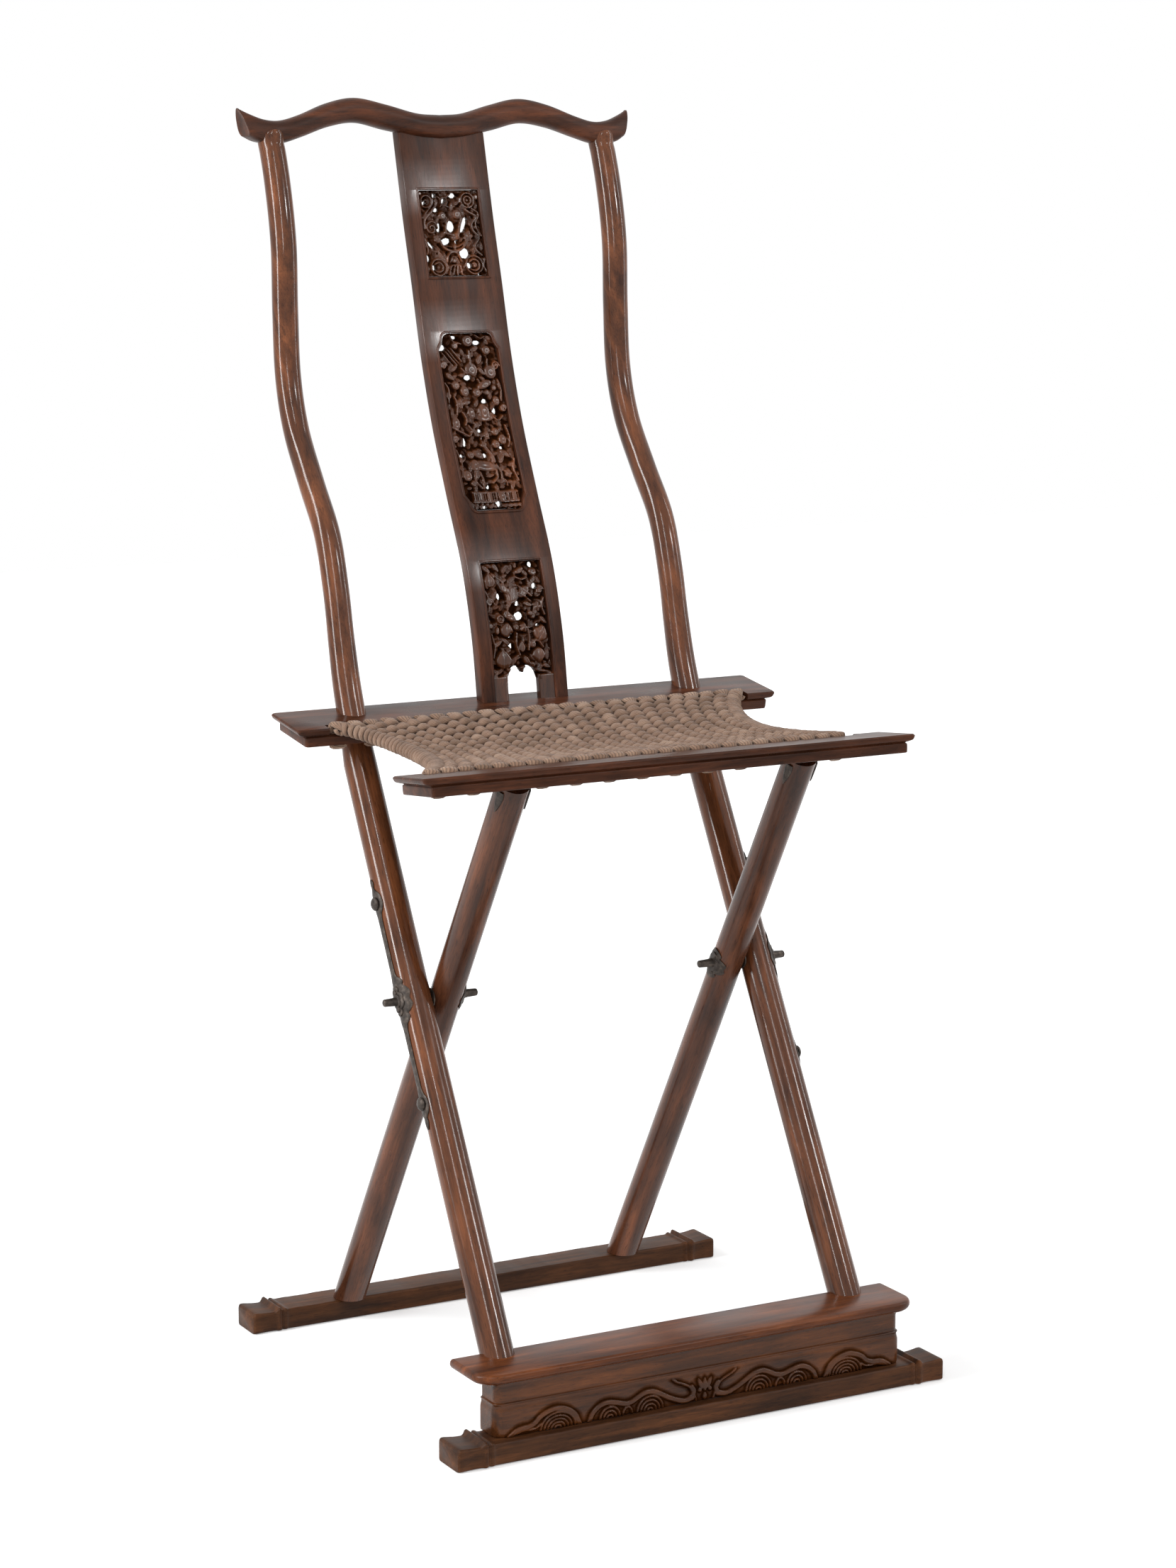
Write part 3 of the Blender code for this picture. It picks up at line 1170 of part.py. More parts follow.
leaf_turn = math.radians(LEAF_TURN_DEG)
leaf_stations = [(-share * LEAF_LENGTH, width * LEAF_HALF_WIDTH) for share, width in LEAF_SHARES]
for name, side in (("outer_leaf", 1), ("inner_leaf", -1)):
    outwards = Vector((side * math.cos(leaf_turn), -math.sin(leaf_turn), 0))
    leaf = leg_plate(REAR_HEAD, rear_up, outwards, REAR_LEG_RADIUS + GAP, LEAF_THICKNESS, leaf_stations)
    on_both_sides(name, leaf, seat_frame, IRON, 0.5, 0.9)

# Build: rope

rope_seat = shaped(rope_seat_mesh(), [
    ("UNION", rope_turns(FRONT_ROW)),
    ("UNION", rope_turns(REAR_ROW)),
])
piece("rope_seat", rope_seat, back_frame, ROPE, 0.9)
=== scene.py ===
# %% [markdown]
# # A folding yoke-back chair with a rope seat
# This lesson dresses the solid model of an old Chinese folding chair: dark polished hardwood,
# black ironwork, a pierced and carved back splat and a seat woven from fibre rope.
# The solids come in as a fixed frame. Everything made here sits on them, in metres.

# %% Load the frame
import json
import math
import random

import bmesh
import bpy
import numpy as np
from mathutils import Matrix, Vector

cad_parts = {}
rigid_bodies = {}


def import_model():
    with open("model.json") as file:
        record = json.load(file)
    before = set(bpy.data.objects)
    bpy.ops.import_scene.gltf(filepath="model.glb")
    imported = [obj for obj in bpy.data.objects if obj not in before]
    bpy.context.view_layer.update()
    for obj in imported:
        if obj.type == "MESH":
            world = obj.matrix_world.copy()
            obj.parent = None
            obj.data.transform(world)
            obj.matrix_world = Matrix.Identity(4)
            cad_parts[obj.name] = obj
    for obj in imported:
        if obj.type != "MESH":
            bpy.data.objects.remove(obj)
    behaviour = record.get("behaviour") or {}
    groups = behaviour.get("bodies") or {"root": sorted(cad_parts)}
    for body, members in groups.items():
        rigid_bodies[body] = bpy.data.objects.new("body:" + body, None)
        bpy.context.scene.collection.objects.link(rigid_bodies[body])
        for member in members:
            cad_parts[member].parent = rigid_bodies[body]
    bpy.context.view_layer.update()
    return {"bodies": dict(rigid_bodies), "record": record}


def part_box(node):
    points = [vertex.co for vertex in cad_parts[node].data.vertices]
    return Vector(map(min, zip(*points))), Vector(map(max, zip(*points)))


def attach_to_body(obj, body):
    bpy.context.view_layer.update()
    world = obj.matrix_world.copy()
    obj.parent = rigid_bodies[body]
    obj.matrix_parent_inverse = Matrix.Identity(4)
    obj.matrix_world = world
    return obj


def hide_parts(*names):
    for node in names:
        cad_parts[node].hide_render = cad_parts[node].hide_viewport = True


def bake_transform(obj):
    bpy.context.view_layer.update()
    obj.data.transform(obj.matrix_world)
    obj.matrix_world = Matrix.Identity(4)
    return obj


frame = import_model()

# %% [markdown]
# ## Colours
# Colours are noted as sRGB hex values, which is how they are read off a picture. A shader works
# with linear light, so one function turns them over. Doing it in one place keeps every finish
# comparable.

# %% Hex to linear
def linear(hex_colour):
    """An sRGB hex colour as the linear RGBA that a shader takes."""
    parts = [int(hex_colour[i:i + 2], 16) / 255 for i in (1, 3, 5)]
    return tuple(c / 12.92 if c <= 0.04045 else ((c + 0.055) / 1.055) ** 2.4 for c in parts) + (1.0,)


print("mid brown in linear light:", [round(c, 3) for c in linear("#533326")])

# %% [markdown]
# ## Building a material from nodes
# Every finish here is a small graph of noise, ramps and a Principled shader. One helper adds a
# node, sets its options, fills or links each input, and lays out a ramp's stops, so a graph
# reads from top to bottom like a recipe.

# %% One helper for all nodes
def add(tree, kind, inputs=None, stops=None, **options):
    """Adds a node. An input's value is linked if it is a socket, and set if it isn't."""
    node = tree.nodes.new(kind)
    for name, value in options.items():
        setattr(node, name, value)
    for key, value in (inputs or {}).items():
        socket = node.inputs[key] if isinstance(key, int) else next(
            s for s in node.inputs if s.enabled and key in (s.name, s.identifier))
        if isinstance(value, bpy.types.NodeSocket):
            tree.links.new(value, socket)
        else:
            socket.default_value = linear(value) if isinstance(value, str) else value
    if stops:
        points = node.color_ramp.elements
        while len(points) < len(stops):
            points.new(0.5)
        for point, (place, colour) in zip(points, stops):
            point.position = place
            point.color = linear(colour) if isinstance(colour, str) else (colour, colour, colour, 1.0)
    return next(s for s in node.outputs if s.enabled) if node.outputs else node


def start_material(name):
    material = bpy.data.materials.new(name)
    material.use_nodes = True
    tree = material.node_tree
    shader = tree.nodes["Principled BSDF"]
    return material, tree, shader


def stretched(place, size_mm, grain=(0, 0, 1), shift=0.0):
    """Inputs of a mapping after which one unit is size_mm across and along the grain."""
    turn = Vector((0, 0, 1)).rotation_difference(Vector(grain).normalized()).to_euler()
    across, along = size_mm
    return {
        "Vector": place, "Location": (shift, shift * 0.7, shift * 0.4), "Rotation": turn,
        "Scale": (across / 1000, across / 1000, along / 1000),
    }


# %% [markdown]
# ## Polished hardwood
# The frame is a dense rosewood-like hardwood, planed, scraped and waxed by hand for a long time.
# Such wood gives the eye a deep red-brown with near-black mineral streaks a few millimetres
# wide and a hand's breadth long, fine pores, and a shine that breaks up over small dents.
# Noise stretched along the grain makes the streaks. Each member gets its own grain direction,
# because a tree grows along the stick that is cut from it. The wax film is thin, so the specular
# level is kept low: in a white room a full one would lay a grey veil over the dark wood. Carved
# pieces carry a note of their hollows, where the colour is darkened as painted shade and the shine
# is taken down. The splat carries a note of the places that hands have rubbed, which shine more.

# %% Hardwood
# Sizes of the wood's patterns in mm, across and along the grain
WOOD_PATTERNS_MM = {
    "bands": (11, 120), "fibre": (1.3, 26), "minerals": (13, 120), "pores": (0.9, 9), "wear": (34, 60),
    "dents": (7, 16),
}


def hardwood(name, grain, seed, light="#8b5231", middle="#653a22", dark="#3f2112", streak="#1a0d08",
             streak_share=0.55, roughness=0.11, specular=0.30, paint_hollow_shade=False, rubbed=False):
    material, tree, shader = start_material(name)
    place = add(tree, "ShaderNodeTexCoord").node.outputs["Object"]
    space = {}
    for step, (pattern, size_mm) in enumerate(WOOD_PATTERNS_MM.items()):
        space[pattern] = add(tree, "ShaderNodeMapping", stretched(place, size_mm, grain, seed + 3 * step),
                             vector_type="TEXTURE")
    bands = add(tree, "ShaderNodeTexNoise", {
        "Vector": space["bands"], "Scale": 1.0, "Detail": 5.0, "Roughness": 0.62, "Distortion": 0.35,
    })
    tone = add(tree, "ShaderNodeValToRGB", {"Fac": bands}, [(0.26, dark), (0.50, middle), (0.76, light)])
    fibre = add(tree, "ShaderNodeTexNoise", {
        "Vector": space["fibre"], "Scale": 1.0, "Detail": 4.0, "Roughness": 0.7,
    })
    lines = add(tree, "ShaderNodeValToRGB", {"Fac": fibre}, [(0.25, 0.66), (0.55, 1.0), (0.80, 1.0)])
    tone = add(tree, "ShaderNodeMix", {"Factor_Float": 1.0, "A_Color": tone, "B_Color": lines},
               data_type="RGBA", blend_type="MULTIPLY")
    minerals = add(tree, "ShaderNodeTexNoise", {
        "Vector": space["minerals"], "Scale": 1.0, "Detail": 6.0, "Roughness": 0.7, "Distortion": 0.8,
    })
    mask = add(tree, "ShaderNodeValToRGB", {"Fac": minerals}, [(0.54, 0.0), (0.68, streak_share)])
    tone = add(tree, "ShaderNodeMix", {"Factor_Float": mask, "A_Color": tone, "B_Color": streak},
               data_type="RGBA")
    pores = add(tree, "ShaderNodeTexNoise", {"Vector": space["pores"], "Scale": 1.0, "Detail": 1.0})
    mask = add(tree, "ShaderNodeValToRGB", {"Fac": pores}, [(0.62, 0.0), (0.72, 0.5)])
    tone = add(tree, "ShaderNodeMix", {"Factor_Float": mask, "A_Color": tone, "B_Color": streak},
               data_type="RGBA")
    wear = add(tree, "ShaderNodeTexNoise", {"Vector": space["wear"], "Scale": 1.0, "Detail": 3.0})
    worn = add(tree, "ShaderNodeValToRGB", {"Fac": wear}, [(0.34, 0.62), (0.62, 1.0)])
    tone = add(tree, "ShaderNodeMix", {"Factor_Float": 1.0, "A_Color": tone, "B_Color": worn},
               data_type="RGBA", blend_type="MULTIPLY")
    if paint_hollow_shade:
        # Painted shade: the noted hollows darken the colour and lose their shine.
        painted_recess_shade = add(tree, "ShaderNodeAttribute", attribute_name="painted_recess_shade").node.outputs["Fac"]
        shade = add(tree, "ShaderNodeValToRGB", {"Fac": painted_recess_shade}, [(0.15, 1.0), (0.95, 0.14)])
        tone = add(tree, "ShaderNodeMix", {"Factor_Float": 1.0, "A_Color": tone, "B_Color": shade},
                   data_type="RGBA", blend_type="MULTIPLY")
        shine = add(tree, "ShaderNodeMapRange", {
            "Value": painted_recess_shade, "From Max": 0.6, "To Min": specular, "To Max": 0.0,
        })
        tree.links.new(shine, shader.inputs["Specular IOR Level"])
    tree.links.new(tone, shader.inputs["Base Color"])
    sheen = add(tree, "ShaderNodeValToRGB", {"Fac": wear}, [(0.3, roughness - 0.03), (0.7, roughness + 0.09)])
    if rubbed:
        polish = add(tree, "ShaderNodeAttribute", attribute_name="polish").node.outputs["Fac"]
        shine = add(tree, "ShaderNodeMapRange", {"Value": polish, "To Min": specular, "To Max": 0.6})
        tree.links.new(shine, shader.inputs["Specular IOR Level"])
        sheen = add(tree, "ShaderNodeMix", {
            "Factor_Float": polish, "A_Color": sheen, "B_Color": (0.17, 0.17, 0.17, 1.0),
        }, data_type="RGBA")
    tree.links.new(sheen, shader.inputs["Roughness"])
    dents = add(tree, "ShaderNodeTexNoise", {"Vector": space["dents"], "Scale": 1.0, "Detail": 2.0})
    soft = add(tree, "ShaderNodeBump", {"Height": dents, "Strength": 0.12, "Distance": 0.0005})
    fine = add(tree, "ShaderNodeBump", {
        "Height": fibre, "Strength": 0.12, "Distance": 0.0002, "Normal": soft,
    })
    tree.links.new(fine, shader.inputs["Normal"])
    shader.inputs["IOR"].default_value = 1.50
    if not (paint_hollow_shade or rubbed):
        shader.inputs["Specular IOR Level"].default_value = specular
    return material


front_leg_grain = (0, 0.490, 0.872)
rear_leg_grain = (0, -0.518, 0.855)
splat_grain = (0, 0.30, 0.95)
woods = {
    "front_legs": hardwood("waxed_hardwood_front_legs", front_leg_grain, 1.3),
    "rear_legs": hardwood("waxed_hardwood_rear_legs", rear_leg_grain, 2.1, light="#7f4a2d",
                          middle="#593320", roughness=0.20),
    "crest": hardwood("waxed_hardwood_crest", (1, 0, 0), 3.7, light="#6f3e26", middle="#4c2a1a",
                      dark="#2d170d", roughness=0.42, specular=0.20),
    "splat": hardwood("waxed_hardwood_splat", splat_grain, 4.9, light="#673a25", middle="#4a2919",
                      dark="#2e180f", roughness=0.33, specular=0.15, rubbed=True),
    "carving": hardwood("waxed_carved_hardwood", splat_grain, 8.3, light="#7f4726", middle="#5a321b",
                        dark="#371c0f", roughness=0.18, specular=0.48, paint_hollow_shade=True),
    "rails": hardwood("waxed_hardwood_rails", (1, 0, 0), 5.2, light="#70402a", middle="#4b2a1a",
                      dark="#2b170e", roughness=0.27, specular=0.12),
    "runners": hardwood("waxed_hardwood_runners", (1, 0, 0), 6.4, light="#704427", middle="#4e2f1a",
                        dark="#2d190e", roughness=0.40, specular=0.14),
    "board": hardwood("rubbed_hardwood_footboard", (1, 0, 0), 7.8, light="#8c4f2a", middle="#66371c",
                      dark="#3e1f0f", streak_share=0.50, roughness=0.30, specular=0.18),
    "footrest": hardwood("waxed_hardwood_footrest", (1, 0, 0), 9.1, light="#7c4621", middle="#573015",
                         dark="#321909", roughness=0.25, specular=0.26, paint_hollow_shade=True),
}
print("woods:", ", ".join(woods))

# %% [markdown]
# ## Ironwork
# The straps, pins and cloud plates are wrought iron, forged and filed, with an old brown-black
# patina that has rubbed bright along the edges. It is a metal under a thin oxide, so it is
# partly metallic with a rough, uneven surface.

# %% Iron
def wrought_iron(name, dark="#1e1916", base="#3a322c", bright="#62564d"):
    material, tree, shader = start_material(name)
    place = add(tree, "ShaderNodeTexCoord").node.outputs["Object"]
    patches = add(tree, "ShaderNodeMapping", stretched(place, (5, 5)), vector_type="TEXTURE")
    mottle = add(tree, "ShaderNodeTexNoise", {
        "Vector": patches, "Scale": 1.0, "Detail": 6.0, "Roughness": 0.7,
    })
    tone = add(tree, "ShaderNodeValToRGB", {"Fac": mottle}, [(0.30, dark), (0.52, base), (0.78, bright)])
    tree.links.new(tone, shader.inputs["Base Color"])
    rough = add(tree, "ShaderNodeValToRGB", {"Fac": mottle}, [(0.3, 0.58), (0.8, 0.36)])
    tree.links.new(rough, shader.inputs["Roughness"])
    specks = add(tree, "ShaderNodeMapping", stretched(place, (1.6, 1.6)), vector_type="TEXTURE")
    pits = add(tree, "ShaderNodeTexNoise", {"Vector": specks, "Scale": 1.0, "Detail": 3.0})
    bump = add(tree, "ShaderNodeBump", {"Height": pits, "Strength": 0.3, "Distance": 0.0002})
    tree.links.new(bump, shader.inputs["Normal"])
    shader.inputs["Metallic"].default_value = 0.55
    return material


iron = wrought_iron("patinated_wrought_iron")

# %% [markdown]
# ## Rope
# The seat is woven from twisted palm or hemp cord, once pale and now a dusty warm grey-brown.
# Dry fibre scatters light softly and has no shine, so the shader is very rough with a little
# sheen, and fine stripes across the lay stand for the yarns: bumps, with painted shade in the grooves.

# %% Rope fibre
def dry_fibre(name, dark="#7b604d", middle="#927460", light="#a88b76"):
    material, tree, shader = start_material(name)
    place = add(tree, "ShaderNodeTexCoord").node.outputs["Object"]
    lay = add(tree, "ShaderNodeAttribute", attribute_name="lay").node.outputs["Vector"]
    parts = add(tree, "ShaderNodeSeparateXYZ", {"Vector": lay}).node.outputs
    strand, around = parts["Z"], parts["X"]
    patches = add(tree, "ShaderNodeMapping", stretched(place, (16, 16)), vector_type="TEXTURE")
    patch = add(tree, "ShaderNodeTexNoise", {"Vector": patches, "Scale": 1.0, "Detail": 5.0})
    tint = add(tree, "ShaderNodeMath", {0: strand, 1: 0.25, 2: patch}, operation="MULTIPLY_ADD")
    tone = add(tree, "ShaderNodeValToRGB", {"Fac": tint}, [(0.42, dark), (0.62, middle), (0.85, light)])
    turn = add(tree, "ShaderNodeMath", {0: around, 1: 2 * math.pi}, operation="MULTIPLY")
    wave = add(tree, "ShaderNodeMath", {0: turn}, operation="SINE")
    groove = add(tree, "ShaderNodeMapRange", {"Value": wave, "From Min": -1.0})
    # Painted shade: the colour darkens in the grooves between the yarns.
    shade = add(tree, "ShaderNodeValToRGB", {"Fac": groove}, [(0.0, 0.48), (0.38, 0.92), (1.0, 1.0)])
    tone = add(tree, "ShaderNodeMix", {"Factor_Float": 1.0, "A_Color": tone, "B_Color": shade},
               data_type="RGBA", blend_type="MULTIPLY")
    tree.links.new(tone, shader.inputs["Base Color"])
    hairs = add(tree, "ShaderNodeMapping", stretched(place, (0.7, 0.7)), vector_type="TEXTURE")
    hair = add(tree, "ShaderNodeTexNoise", {"Vector": hairs, "Scale": 1.0, "Detail": 2.0})
    rough = add(tree, "ShaderNodeBump", {"Height": hair, "Strength": 0.7, "Distance": 0.0005})
    relief = add(tree, "ShaderNodeBump", {
        "Height": groove, "Strength": 0.8, "Distance": 0.0004, "Normal": rough,
    })
    tree.links.new(relief, shader.inputs["Normal"])
    shader.inputs["Roughness"].default_value = 0.9
    shader.inputs["Sheen Weight"].default_value = 0.15
    shader.inputs["Specular IOR Level"].default_value = 0.3
    return material


rope_fibre = dry_fibre("twisted_palm_fibre")
print("finishes ready:", len(bpy.data.materials))

# %% [markdown]
# ## From numbers to meshes
# Most members of a chair are a section carried along a line: a turned leg, a moulded rail, a
# bent post. So each piece is a stack of rings of points with a skin over them, which gives clean
# quads and full control of every section. Modifiers could make them too, but rings keep the real
# measures in view.

# %% Curves and skins
def curve_through(points, count):
    """Points, in even steps of the parameter, on a smooth curve through the given ones."""
    given = np.array([tuple(point) for point in points], float)
    row = np.vstack([2 * given[0] - given[1], given, 2 * given[-1] - given[-2]])
    place = np.linspace(0, len(given) - 1 - 1e-9, count)
    i = place.astype(int)
    t = (place - i)[:, None]
    a, b, c, d = (row[i + k] for k in range(4))
    return (2 * b + (c - a) * t + (2 * a - 5 * b + 4 * c - d) * t ** 2 + (3 * b - a - 3 * c + d) * t ** 3) / 2


def skin(rings, looped=False):
    """Points and faces over rings of equal size, capped at both ends unless the rings close up."""
    rings = np.asarray(rings, float)
    count, size = rings.shape[:2]
    ids = np.arange(count * size).reshape(count, size)
    near, far = (ids, np.roll(ids, -1, 0)) if looped else (ids[:-1], ids[1:])
    quads = np.stack([near, np.roll(near, -1, 1), np.roll(far, -1, 1), far], -1).reshape(-1, 4)
    faces = quads.tolist()
    if not looped:
        faces += [ids[0, ::-1].tolist(), ids[-1].tolist()]
    return rings.reshape(-1, 3).tolist(), faces


def tube_rings(path, radii, sides=48, level=(1, 0, 0)):
    """Round rings across a path that bends in the plane square to the level direction."""
    path = np.asarray(path, float)
    along = np.gradient(path, axis=0)
    along /= np.linalg.norm(along, axis=1)[:, None]
    level = np.array(level, float)
    side = level - along * (along @ level)[:, None]
    side /= np.linalg.norm(side, axis=1)[:, None]
    up = np.cross(along, side)
    turn = np.linspace(0, 2 * math.pi, sides, endpoint=False)[None, :, None]
    radii = np.broadcast_to(radii, len(path))[:, None, None]
    return path[:, None] + radii * (side[:, None] * np.cos(turn) + up[:, None] * np.sin(turn))


def rounded_outline(half_x, half_y, radius, steps=6):
    """A rectangle round the origin with rounded corners, anticlockwise."""
    points = []
    for corner in range(4):
        middle = np.array([(half_x - radius) * (1 if corner in (0, 3) else -1),
                           (half_y - radius) * (1 if corner in (0, 1) else -1)])
        for step in range(steps + 1):
            turn = math.radians(90 * (corner + step / steps))
            points.append(middle + radius * np.array([math.cos(turn), math.sin(turn)]))
    return np.array(points)


# %% Pieces
def mirrored(solid):
    """The same points and faces on the other side of X = 0."""
    points, faces = solid
    return [(-x, y, z) for x, y, z in points], [list(face)[::-1] for face in faces]


def make(name, solid, material, body, nodes, sharp_deg=35):
    """One finished piece: it rides on a body, and stands for the solids of these nodes."""
    points, faces = solid
    mesh = bpy.data.meshes.new(name)
    mesh.from_pydata(points, [], faces)
    shape = bmesh.new()
    shape.from_mesh(mesh)
    bmesh.ops.recalc_face_normals(shape, faces=shape.faces)
    shape.to_mesh(mesh)
    shape.free()
    mesh.materials.append(material)
    mesh.shade_smooth()
    mesh.set_sharp_from_angle(angle=math.radians(sharp_deg))
    piece = bpy.data.objects.new(name, mesh)
    bpy.context.collection.objects.link(piece)
    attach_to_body(piece, body)
    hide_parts(*nodes)
    return piece


def make_pair(name, solid, material, body, node, sharp_deg=35):
    """The right-hand piece as given, and its mirror image on the left."""
    make("right_" + name, solid, material, body, ["right_" + node], sharp_deg)
    make("left_" + name, mirrored(solid), material, body, ["left_" + node], sharp_deg)


def cut(piece, solid):
    """Takes a solid out of a piece."""
    mesh = bpy.data.meshes.new("cutter")
    mesh.from_pydata(solid[0], [], solid[1])
    shape = bmesh.new()
    shape.from_mesh(mesh)
    bmesh.ops.recalc_face_normals(shape, faces=shape.faces)
    shape.to_mesh(mesh)
    shape.free()
    tool = bpy.data.objects.new("cutter", mesh)
    bpy.context.collection.objects.link(tool)
    step = piece.modifiers.new("cut", "BOOLEAN")
    step.operation = "DIFFERENCE"
    step.solver = "EXACT"
    step.object = tool
    bpy.context.view_layer.update()
    result = bpy.data.meshes.new_from_object(piece.evaluated_get(bpy.context.evaluated_depsgraph_get()))
    piece.modifiers.clear()
    piece.data = result
    result.shade_smooth()
    result.set_sharp_from_angle(angle=math.radians(35))
    bpy.data.objects.remove(tool, do_unlink=True)


def attach(piece, solid):
    """Adds another closed solid to a piece's mesh."""
    mesh = bpy.data.meshes.new("added")
    mesh.from_pydata(solid[0], [], solid[1])
    shape = bmesh.new()
    shape.from_mesh(piece.data)
    old = set(shape.faces)
    shape.from_mesh(mesh)
    bmesh.ops.recalc_face_normals(shape, faces=[face for face in shape.faces if face not in old])
    shape.to_mesh(piece.data)
    shape.free()
    piece.data.shade_smooth()
    piece.data.set_sharp_from_angle(angle=math.radians(35))
    bpy.data.meshes.remove(mesh)


def note(piece, name, values):
    """Notes one number for each of a piece's points, for its finish to read."""
    numbers = piece.data.attributes.new(name, "FLOAT", "POINT")
    numbers.data.foreach_set("value", np.asarray(values, np.float32))


def joined(*solids):
    """Several closed solids as one set of points and faces."""
    points, faces = [], []
    for more_points, more_faces in solids:
        faces += [[index + len(points) for index in face] for face in more_faces]
        points += list(more_points)
    return points, faces


def placed(solid, place):
    return [tuple(place @ Vector(point)) for point in solid[0]], solid[1]


# %% [markdown]
# ## Legs
# Each front leg and back post is one stick: round and straight up to the seat, then bent like an
# S up to the crest, where its end laps over the crest's front as a round tongue. The rear legs
# are plain round sticks. A swept round section is all they need; the bend follows a table of
# heights and setbacks, as a maker's template would.

# %% Where the legs run
PIVOT = Vector(frame["record"]["behaviour"]["joints"][0]["pos_m"])
PIVOT_TO_FRONT = 0.2143
FRONT_Y = PIVOT.y - PIVOT_TO_FRONT  # the front runner's front face
RUNNER_TOP = 0.0193
REAR_RAIL_TOP = 0.5829
FRONT_RAIL_TOP = 0.5697
RAIL_WIDTH, RAIL_THICKNESS = 0.0606, 0.0160
LEG_RADIUS, POST_RADIUS, REAR_LEG_RADIUS = 0.0147, 0.0118, 0.01445
FRONT_LEG_X, REAR_LEG_X = 0.1730, 0.1432  # at the crossing
FRONT_LEG_SPLAY_DEG, REAR_LEG_SPLAY_DEG = 0.22, 0.55  # the legs stand wider at the floor
FRONT_LEG_RAKE_DEG, REAR_LEG_RAKE_DEG = 29.33, 31.19  # back and forward as they rise
POST_SETBACK = 0.1604
POST_FOOT_AHEAD = 0.0052  # the bend starts this far ahead of the leg's line
BACK_RISE = 0.4985  # from the rear rail's top to the crest's underside
CREST_UNDERSIDE = REAR_RAIL_TOP + BACK_RISE
CREST_HEIGHT = 0.0412


def lean(degrees):
    """How far something that leans moves sideways for each unit that it rises."""
    return math.tan(math.radians(degrees))


def front_leg_point(z):
    rise = z - PIVOT.z
    x = FRONT_LEG_X - rise * lean(FRONT_LEG_SPLAY_DEG)
    return Vector((x, PIVOT.y + rise * lean(FRONT_LEG_RAKE_DEG), z))


def rear_leg_point(z):
    rise = z - PIVOT.z
    x = REAR_LEG_X - rise * lean(REAR_LEG_SPLAY_DEG)
    return Vector((x, PIVOT.y - rise * lean(REAR_LEG_RAKE_DEG), z))


POST_FOOT_Y = front_leg_point(REAR_RAIL_TOP).y - POST_FOOT_AHEAD
POST_TOP_Y = POST_FOOT_Y + POST_SETBACK
print("post's foot and top along Y:", round(POST_FOOT_Y, 4), round(POST_TOP_Y, 4))

# %% Front legs and posts
POST_CURVE_SHARES = [
    (0.035, 0.036), (0.120, 0.112), (0.217, 0.184), (0.312, 0.294), (0.398, 0.497),
    (0.489, 0.696), (0.585, 0.800), (0.700, 0.829), (0.820, 0.842), (0.929, 0.917), (1.030, 1.030),
]
TONGUE_RISE = CREST_HEIGHT * 0.31
TONGUE_STEPS = 6
POST_FLARE = 0.0012  # how much thicker a post is where it leaves the seat
FLARE_HEIGHT = 0.080
STRAIGHT_SHARE = 0.82  # of the way from the crossing to the seat


def front_leg():
    straight_top = PIVOT.z + (REAR_RAIL_TOP - PIVOT.z) * STRAIGHT_SHARE
    bend = [front_leg_point(straight_top)]
    for height, setback in POST_CURVE_SHARES:
        z = REAR_RAIL_TOP + height * (CREST_UNDERSIDE - REAR_RAIL_TOP)
        bend.append(Vector((front_leg_point(z).x, POST_FOOT_Y + setback * POST_SETBACK, z)))
    straight = [front_leg_point(RUNNER_TOP + (straight_top - RUNNER_TOP) * i / 40) for i in range(40)]
    curve = curve_through(bend, 150)
    path = np.vstack([np.array(straight), curve])
    taper = np.clip((path[:, 2] - straight_top) / (REAR_RAIL_TOP - RAIL_THICKNESS - straight_top), 0, 1)
    foot = POST_FLARE * taper * np.clip(1 - (path[:, 2] - REAR_RAIL_TOP) / FLARE_HEIGHT, 0, 1)
    rings = tube_rings(path, LEG_RADIUS + (POST_RADIUS - LEG_RADIUS) * taper + foot)
    rings[0] += ((RUNNER_TOP - rings[0][:, 2]) / (path[1] - path[0])[2])[:, None] * (path[1] - path[0])
    keep = [ring for ring in rings if ring[:, 2].max() < CREST_UNDERSIDE]
    middle = np.array([front_leg_point(CREST_UNDERSIDE).x, POST_TOP_Y, CREST_UNDERSIDE])
    slope = path[-1] - path[-2]
    last = keep[-1] + slope * ((CREST_UNDERSIDE - keep[-1][:, 2]) / slope[2])[:, None]
    last += middle - last.mean(axis=0)
    across = np.clip((last[:, 0] - middle[0]) / (POST_RADIUS * 1.1), -1, 1)
    rise = TONGUE_RISE * np.sin(np.arccos(across)) ** 0.8
    for step in range(TONGUE_STEPS + 1):
        ring = last.copy()
        ring[:, 2] += rise * step / TONGUE_STEPS
        if step == TONGUE_STEPS:
            ring[:, :2] = middle[:2] + (ring[:, :2] - middle[:2]) * 0.90
        keep.append(ring)
    return skin(keep)


make_pair("front_leg_and_post", front_leg(), woods["front_legs"], "back_frame", "front_leg")

# %% Rear legs
def rear_leg():
    top = FRONT_RAIL_TOP - RAIL_THICKNESS * 0.8
    path = [rear_leg_point(RUNNER_TOP + (top - RUNNER_TOP) * i / 30) for i in range(31)]
    rings = tube_rings(path, REAR_LEG_RADIUS)
    slope = np.array(path[1] - path[0])
    rings[0] += ((RUNNER_TOP - rings[0][:, 2]) / slope[2])[:, None] * slope
    return skin(rings)


make_pair("round_rear_leg", rear_leg(), woods["rear_legs"], "seat_frame", "rear_leg")

# %% [markdown]
# ## Crest rail
# The yoke is shaped with a spokeshave from one billet: in front view it rises in two humps and
# drops at the middle and over the posts, and its ends are cut off clean with a slight hollow.
# Oval sections whose height, place and depth come from four tables follow that form closely.
# Towards the ends the oval gets squarer and its upper edge sharper, as the old tips are.

